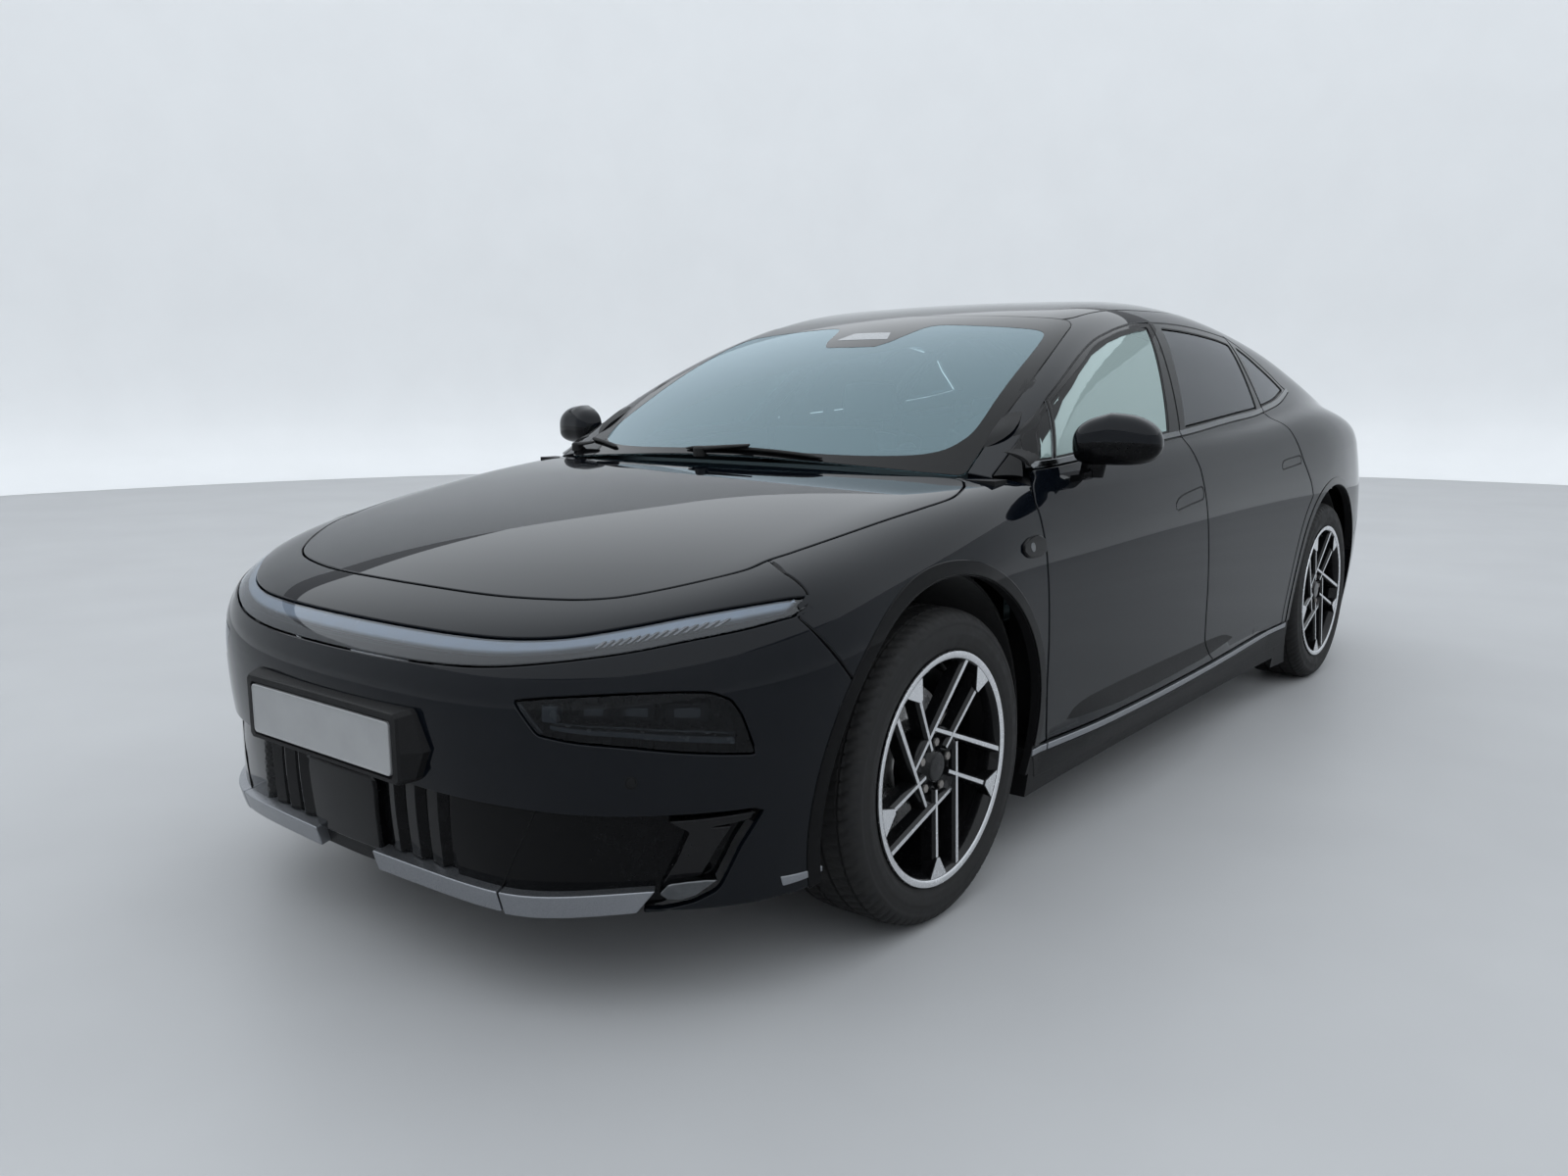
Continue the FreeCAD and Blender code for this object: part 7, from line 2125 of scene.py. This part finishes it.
parts_c, Vr = [], unit((0, .995, -.08))
Wr = unit((0, .08, .995))
Vk, Wk = unit((0, .377, .926)), unit((0, -.926, .377))
for nm_, x_, hu in (("left", .425, .207), ("centre", 0., .205), ("right", -.425, .207)):
    padded("rear_cushion_" + nm_, pad((x_, .640, .494), X1, Vr, Wr, hu, .225, .046, chan=[(1, -.12, .008, .009), (1, 0, .008, .009), (1, .12, .008, .009)]))
    padded("rear_back_" + nm_, pad((x_, .945, .785), X1, Vk, Wk, hu, .262, .042,
                                   chan=[(1, -.15, .008, .009), (1, -.05, .008, .009), (1, .05, .008, .009), (1, .15, .008, .009)]))
    padded("rear_headrest_" + nm_, pad((x_, 1.075, 1.105), X1, unit((0, .2, .98)), unit((0, -.98, .2)), .110, .052, .038, crown=.3, pull=.06, rnd=.16, nu=18, nv=16))
bench = merge([prism([(.425, .302), (.415, .470), (.50, .478), (.86, .460), (.895, .302)], lambda u, v, d: (d, u, v), -.632, .632, bevel=.010),
               prism([(.905, .480), (.875, .505), (1.055, 1.040), (1.075, 1.052), (1.125, 1.052), (1.135, 1.035), (1.130, .995), (.955, .505)],
                     lambda u, v, d: (d, u, v), -.615, .615, bevel=.010)])
add("rear_bench_base", *bench[:3], [M["carpet"]], "root", "seat_leather", bench[3], ["rear_bench"])

# steering wheel
HB, AX = A([.37, -.56, .845]), unit((0, .906, .423))
E2 = unit((0, -.423, .906))
th = np.linspace(0, 2 * math.pi, 96, endpoint=False)
RP = HB + .178 * (np.cos(th)[:, None] * X1 + np.sin(th)[:, None] * E2)
ell = [(.0165 * math.cos(2 * math.pi * i / 14), .0135 * math.sin(2 * math.pi * i / 14)) for i in range(14)]
sw = [sweep(RP, np.tile(AX, (96, 1)), ell, closed_path=True)]
sw.append(remat(pad(HB - AX * .010, X1, E2, AX, .078, .062, .026, crown=.35, pull=.03, rnd=.16, nu=20, nv=18, pipe=0), 1))
for an, w0, w1 in ((0, .022, .013), (180, .022, .013), (270, .026, .016)):
    d_ = math.cos(RAD(an)) * X1 + math.sin(RAD(an)) * E2
    Ps = HB + np.linspace(.060, .166, 10)[:, None] * d_ - AX * .006
    sc_ = np.linspace(1, w1 / w0, 10)
    sw.append(remat(sweep(Ps, np.tile(AX, (10, 1)), [(-w0, -.006), (w0, -.006), (w0, .003), (w0 * .7, .008), (-w0 * .7, .008), (-w0, .003)], scale=sc_), 2 if an == 270 else 1))
sw.append(remat(tube([HB - AX * .12, HB - AX * .03], .030, 18), 1))
swm = merge(sw)
add("steering_wheel_rim", *swm[:3], [M["leather"], M["dash"], M["dchrome"]], "steering_wheel", "wheel_leather", swm[3], ["steering_wheel"])
col = [prism([(SX - .055, -.045), (SX + .055, -.045), (SX + .060, .010), (SX + .040, .040), (SX - .040, .040), (SX - .060, .010)],
             lambda u, v, d: tuple(A([u, 0, 0]) + A([0, -.56, .845]) + E2 * v - AX * (d + .130)), -.0, .16, bevel=0)]
for sg in (-1, 1):
    col.append(remat(tube([A([SX + sg * .05, 0, 0]) + A([0, -.56, .845]) - AX * .150, A([SX + sg * .15, 0, 0]) + A([0, -.56, .845]) - AX * .130 + E2 * .012], .0065, 10), 0))
cm = merge(col)
add("steering_column_cover", *cm[:3], [M["dash"]], "root", "dash_plastic", cm[3])

# dash fittings: tablet, instrument panel, vent slot, light line, console lid and cup holders
dd = []


def slab(cx, cy, cz, w, h, th_, tilt, r=.012, m=0, m2=1):
    """Rounded panel that faces the rear; its screen is a second panel set into the face."""
    V_, W_ = unit((0, -math.sin(RAD(tilt)), math.cos(RAD(tilt)))), unit((0, math.cos(RAD(tilt)), math.sin(RAD(tilt))))
    c_ = A([cx, cy, cz])
    o_ = rrect(w / 2, -h / 2, h / 2, r, 5)
    i_ = rrect(w / 2 - .008, -h / 2 + .008, h / 2 - .008, r * .7, 5)
    fn = lambda u, v, d: tuple(c_ + X1 * u + V_ * v + W_ * d)
    return [remat(prism(o_, fn, -th_, 0, bevel=.002), m), remat(prism(i_, fn, -.001, .0008), m2)]


dd += slab(.02, -.765, .985, .385, .215, .014, 12)
dd += slab(.37, -.815, .990, .250, .085, .016, 14)
dd.append(remat(prism([(-.02, -.03), (.02, -.03), (.014, .03), (-.014, .03)], lambda u, v, d: (.02 + u * 2, -.800 + d, .92 + v), -.02, .018), 0))
vs = [(-.700, -.009), (.700, -.009), (.700, .009), (-.700, .009)]
dd.append(remat(prism(vs, lambda u, v, d: (u, -.727 + d, .895 + v), -.012, .0), 1))
dd.append(remat(prism([(-.700, -.002), (.700, -.002), (.700, .002), (-.700, .002)], lambda u, v, d: (u, -.722 + d, .880 + v), -.006, .002), 2))
for i in range(36):
    x_ = -.68 + i * 1.36 / 35
    dd.append(remat(prism([(x_ - .0012, -.008), (x_ + .0012, -.008), (x_ + .0012, .008), (x_ - .0012, .008)], lambda u, v, d: (u, -.726 + d, .895 + v), -.004, .003), 0))
dd.append(remat(prism(rrect(.088, -.30, -.02, .015), lambda u, v, d: (u, v, .5602 + d), 0, .010, bevel=.004), 0))
for y_ in (-.46, -.37):
    ring = [(.034 * math.cos(RAD(15 * i)), y_ + .034 * math.sin(RAD(15 * i))) for i in range(24)]
    dd.append(remat(prism(ring, lambda u, v, d: (u, v, .5602 + d), 0, .003, bevel=.001), 2))
    ring2 = [(.030 * math.cos(RAD(15 * i)), y_ + .030 * math.sin(RAD(15 * i))) for i in range(24)]
    dd.append(remat(prism(ring2, lambda u, v, d: (u, v, .5602 + d), 0, .0036), 1))
dm = merge(dd)
add("dash_fittings", *dm[:3], [M["trim"], M["screen"], M["dchrome"]], "root", "dash_plastic", dm[3])
ped = []
for x_, w_, z0_, z1_ in ((.28, .030, .36, .50), (.42, .045, .40, .47)):
    ped.append(prism(rrect(w_, -(z1_ - z0_) / 2, (z1_ - z0_) / 2, .008), lambda u, v, d: (x_ + u, -.93 + d - .3 * v, (z0_ + z1_) / 2 + v), -.008, .006, bevel=.002))
    ped.append(tube([(x_, -.94, (z0_ + z1_) / 2), (x_, -1.02, (z0_ + z1_) / 2 + .12)], .008))
pm = merge(ped)
add("pedals", *pm[:3], [M["rubber"]], "root", "dash_plastic")

# belts
bt = []
for x_, y_, zt, yb in ((.632, .115, 1.08, .100), (.60, 1.06, 1.10, .90)):
    P_ = resample(A([(x_, y_, zt), (x_ + .010, y_ - .005, zt - .20), (x_ + .012, yb, .50), (x_ + .006, yb, .34)]), .03)
    bt.append(sweep(P_, np.tile(A([-1., 0, 0]), (len(P_), 1)), [(-.022, -.0010), (.022, -.0010), (.022, .0010), (-.022, .0010)]))
    bt.append(remat(prism([(y_ - .030, zt - .015), (y_ + .030, zt - .015), (y_ + .026, zt + .040), (y_ - .026, zt + .040)], lambda u, v, d: (d, u, v), x_ - .006, x_ + .012, bevel=.003), 1))
put_pair("seat_belt_{}", merge(bt), [M["rubber"], M["trim"]], "root", "seat_leather")

# door cards on the inner faces of the doors
from mathutils.bvhtree import BVHTree


def inner_grid(node, ys, zs, x0=.30):
    o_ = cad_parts[node]
    me = o_.data
    mw = o_.matrix_world
    bv = BVHTree.FromPolygons([mw @ v.co for v in me.vertices], [tuple(p.vertices) for p in me.polygons])
    X = np.full((len(ys), len(zs)), np.nan)
    for i, y_ in enumerate(ys):
        for j, z_ in enumerate(zs):
            h_ = bv.ray_cast(Vector((x0, y_, z_)), Vector((1, 0, 0)), 1.0)
            if h_[0] is not None:
                X[i, j] = h_[0].x
    return X


def card(node, y0f, y1f, z0, z1, nz=22, ny=30):
    zs = np.linspace(z0, z1, nz)
    us = np.linspace(0, 1, ny)
    P = np.zeros((ny, nz, 3))
    for j, z_ in enumerate(zs):
        ys = y0f(z_) + (y1f(z_) - y0f(z_)) * us
        X = inner_row(node, ys, z_)
        P[:, j, 0], P[:, j, 1], P[:, j, 2] = X, ys, z_
    return P


_BV = {}


def inner_row(node, ys, z_):
    if node not in _BV:
        o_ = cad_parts[node]
        mw = o_.matrix_world
        _BV[node] = BVHTree.FromPolygons([mw @ v.co for v in o_.data.vertices], [tuple(p.vertices) for p in o_.data.polygons])
    X = []
    for y_ in ys:
        h_ = _BV[node].ray_cast(Vector((.30, float(y_), float(z_))), Vector((1, 0, 0)), 1.0)
        X.append(h_[0].x if h_[0] is not None else np.nan)
    X = A(X)
    ok = ~np.isnan(X)
    if not ok.any():
        return np.full(len(ys), .84)
    return np.interp(np.arange(len(ys)), np.arange(len(ys))[ok], X[ok])


for node, nm_, y0f, y1f in (("front_door_left", "front", lambda z: np.interp(z, [.36, .6, .9, 1.0], [-1.00, -1.035, -1.04, -1.02]),
                             lambda z: np.interp(z, [.36, .6, .9, 1.0], [.040, -.005, -.050, -.085])),
                            ("rear_door_left", "rear", lambda z: np.interp(z, [.36, .6, .9, 1.0], [.150, .095, .050, .015]),
                             lambda z: np.interp(z, [.36, .46, .6, .75, .9, 1.0], [.850, .860, .900, .960, .930, .880]))):
    P = card(node, y0f, y1f, .365, .985)
    nyy, nzz = P.shape[:2]
    x_in = P[..., 0].copy()
    # hollow-and-swell relief: armrest ledge, pocket, soft upper roll
    zz = P[..., 2]
    uu = np.linspace(0, 1, nyy)[:, None]
    rim_ = np.clip(np.minimum(np.minimum(uu, 1 - uu) / .06, np.minimum(zz - .365, .985 - zz) / .03), 0, 1) ** .5
    rel = .010 + .012 * np.exp(-((zz - .93) / .05) ** 2) + .014 * np.exp(-((zz - .60) / .035) ** 2)
    xf = x_in - rel * rim_ - .0015
    F1 = P.copy()
    F1[..., 0] = xf
    F2 = P.copy()
    F2[..., 0] = x_in - .0008
    n1, m1 = nyy, nzz
    co = np.vstack([F1.reshape(-1, 3), F2.reshape(-1, 3)])
    b_ = np.arange(n1 * m1).reshape(n1, m1)
    f, mi = [], []
    for i in range(n1 - 1):
        for j in range(m1 - 1):
            f.append((b_[i, j], b_[i, j + 1], b_[i + 1, j + 1], b_[i + 1, j]))
            mi.append(1 if P[0, j, 2] > .56 and P[0, j, 2] < .80 else 0)
            k_ = n1 * m1
            f.append((k_ + b_[i, j], k_ + b_[i + 1, j], k_ + b_[i + 1, j + 1], k_ + b_[i, j + 1]))
            mi.append(0)
    ringi = list(b_[:, 0]) + list(b_[-1, 1:]) + list(b_[-2::-1, -1]) + list(b_[0, -2:0:-1])
    k_ = n1 * m1
    for a_, c_ in zip(ringi, ringi[1:] + ringi[:1]):
        f.append((a_, c_, c_ + k_, a_ + k_))
        mi.append(0)
    put_pair(nm_ + "_door_card_{}", (co, f, np.zeros_like(co), mi), [M["dash"], M["leather"]], nm_ + "_door_{}", "dash_plastic")
    for sd in ("left", "right"):
        me = PIECES[f"{nm_}_door_card_{sd}"].data
        bm_n = None
    ym = float((P[0, 9, 1] + P[-1, 9, 1]) / 2)
    xm = float(np.median(x_in[:, 9]))
    ar = pad((xm - .045, ym + .02, .655), (0, 1, 0), (1, 0, 0), (0, 0, 1), .200, .032, .022, crown=.2, pull=.04, rnd=.2, nu=24, nv=12)
    padded(nm_ + "_armrest_{}", ar, nm_ + "_door_{}", both=True)
    hd = [prism(rrect(.045, -.012, .012, .008), lambda u, v, d: (xm - .012 - d, ym - .16 + u, .80 + v), -.012, .012, bevel=.002, m=0)]
    cy_, cz_ = float(P[4, 4, 1]) + .05, .47
    for r_ in (.020, .034, .048, .062, .076):
        c1 = [(cy_ + r_ * math.cos(RAD(12 * i)), cz_ + r_ * math.sin(RAD(12 * i))) for i in range(31)]
        Pp = A([(xm - .017, a_, b2) for a_, b2 in c1])
        hd.append(remat(sweep(Pp[:-1], np.tile(A([-1., 0, 0]), (30, 1)), [(-.002, -.004), (.002, -.004), (.0015, .003), (-.0015, .003)], closed_path=True), 1))
    put_pair(nm_ + "_door_handle_inner_{}", merge(hd), [M["dchrome"], M["trim"]], nm_ + "_door_{}", "dash_plastic")

# points along the cowl below the screen; no trim piece is built from them
cz = lz(A([(-.68, -1.238), (.68, -1.238)]), F=FLB, sm=False)

# =====================================================================================
# floor, light and camera
# =====================================================================================


def stage_mat(name, c, rough, var):
    return mk(name, c, rough, spec=.35, var=var, scale=1.2)


def sheet_mesh(name, co, faces, mat):
    me = bpy.data.meshes.new(name)
    me.from_pydata(co, [], faces)
    me.materials.append(mat)
    for p_ in me.polygons:
        p_.use_smooth = True
    o_ = bpy.data.objects.new(name, me)
    COL.objects.link(o_)
    o_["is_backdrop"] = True
    return o_


floor_m = stage_mat("floor_pale", (.40, .403, .41), .45, (.43, .434, .44))
back_m = stage_mat("backdrop_pale", (.78, .785, .79), .8, (.80, .805, .81))
sheet_mesh("floor", [(-30, -30, 0), (30, -30, 0), (30, 30, 0), (-30, 30, 0)], [(0, 1, 2, 3)], floor_m)
# curved backdrop round the car, open above
nb, RB = 96, 13.0
prof = [(0.0, 0.0), (.25, .02), (.6, .12), (.95, .35), (1.15, .7), (1.25, 1.2), (1.3, 2.2), (1.3, 7.0)]
co_, fa_ = [], []
for i in range(nb):
    a_ = 2 * math.pi * i / nb
    for d_, z_ in prof:
        co_.append(((RB + d_) * math.cos(a_), (RB + d_) * math.sin(a_), z_ + .002))
np_ = len(prof)
for i in range(nb):
    for j in range(np_ - 1):
        a_, b_ = i * np_ + j, ((i + 1) % nb) * np_ + j
        fa_.append((a_, b_, b_ + 1, a_ + 1))
sheet_mesh("backdrop", co_, fa_, back_m)

world = bpy.data.worlds.new("studio")
SC.world = world
world.use_nodes = True
bg = world.node_tree.nodes["Background"]
bg.inputs["Color"].default_value = (.90, .94, 1.0, 1)
bg.inputs["Strength"].default_value = .40


def area_light(name, loc, target, sx, sy, power, color=(1, 1, 1)):
    d = bpy.data.lights.new(name, "AREA")
    d.shape = "RECTANGLE"
    d.size, d.size_y = sx, sy
    d.energy = power
    d.color = color
    o_ = bpy.data.objects.new(name, d)
    COL.objects.link(o_)
    o_.location = loc
    o_.rotation_mode = "QUATERNION"
    o_.rotation_quaternion = (Vector(target) - Vector(loc)).to_track_quat("-Z", "Y")
    o_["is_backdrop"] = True
    return o_


area_light("top", (0, 0, 9.0), (0, 0, 0), 34.0, 34.0, 4000, (.90, .955, 1))
SC.view_settings.view_transform = "Standard"
SC.view_settings.look = "None"
SC.view_settings.exposure = .0

cam = bpy.data.cameras.new("camera")
cam.sensor_width = 36
cam.lens = 27.95
cam.clip_start, cam.clip_end = .05, 100
co_cam = bpy.data.objects.new("camera", cam)
COL.objects.link(co_cam)
Fw, Rt = Vector((-.6151723, .77046106, -.1671909)), Vector((.78179548, .62352671, -.00320516))
Up = Rt.cross(Fw)
from mathutils import Matrix
R3 = Matrix((Rt, Up, -Fw)).transposed()
co_cam.matrix_world = Matrix.Translation((2.304, -3.856, 1.228)) @ R3.to_4x4()
SC.camera = co_cam

lo_b, hi_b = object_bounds()
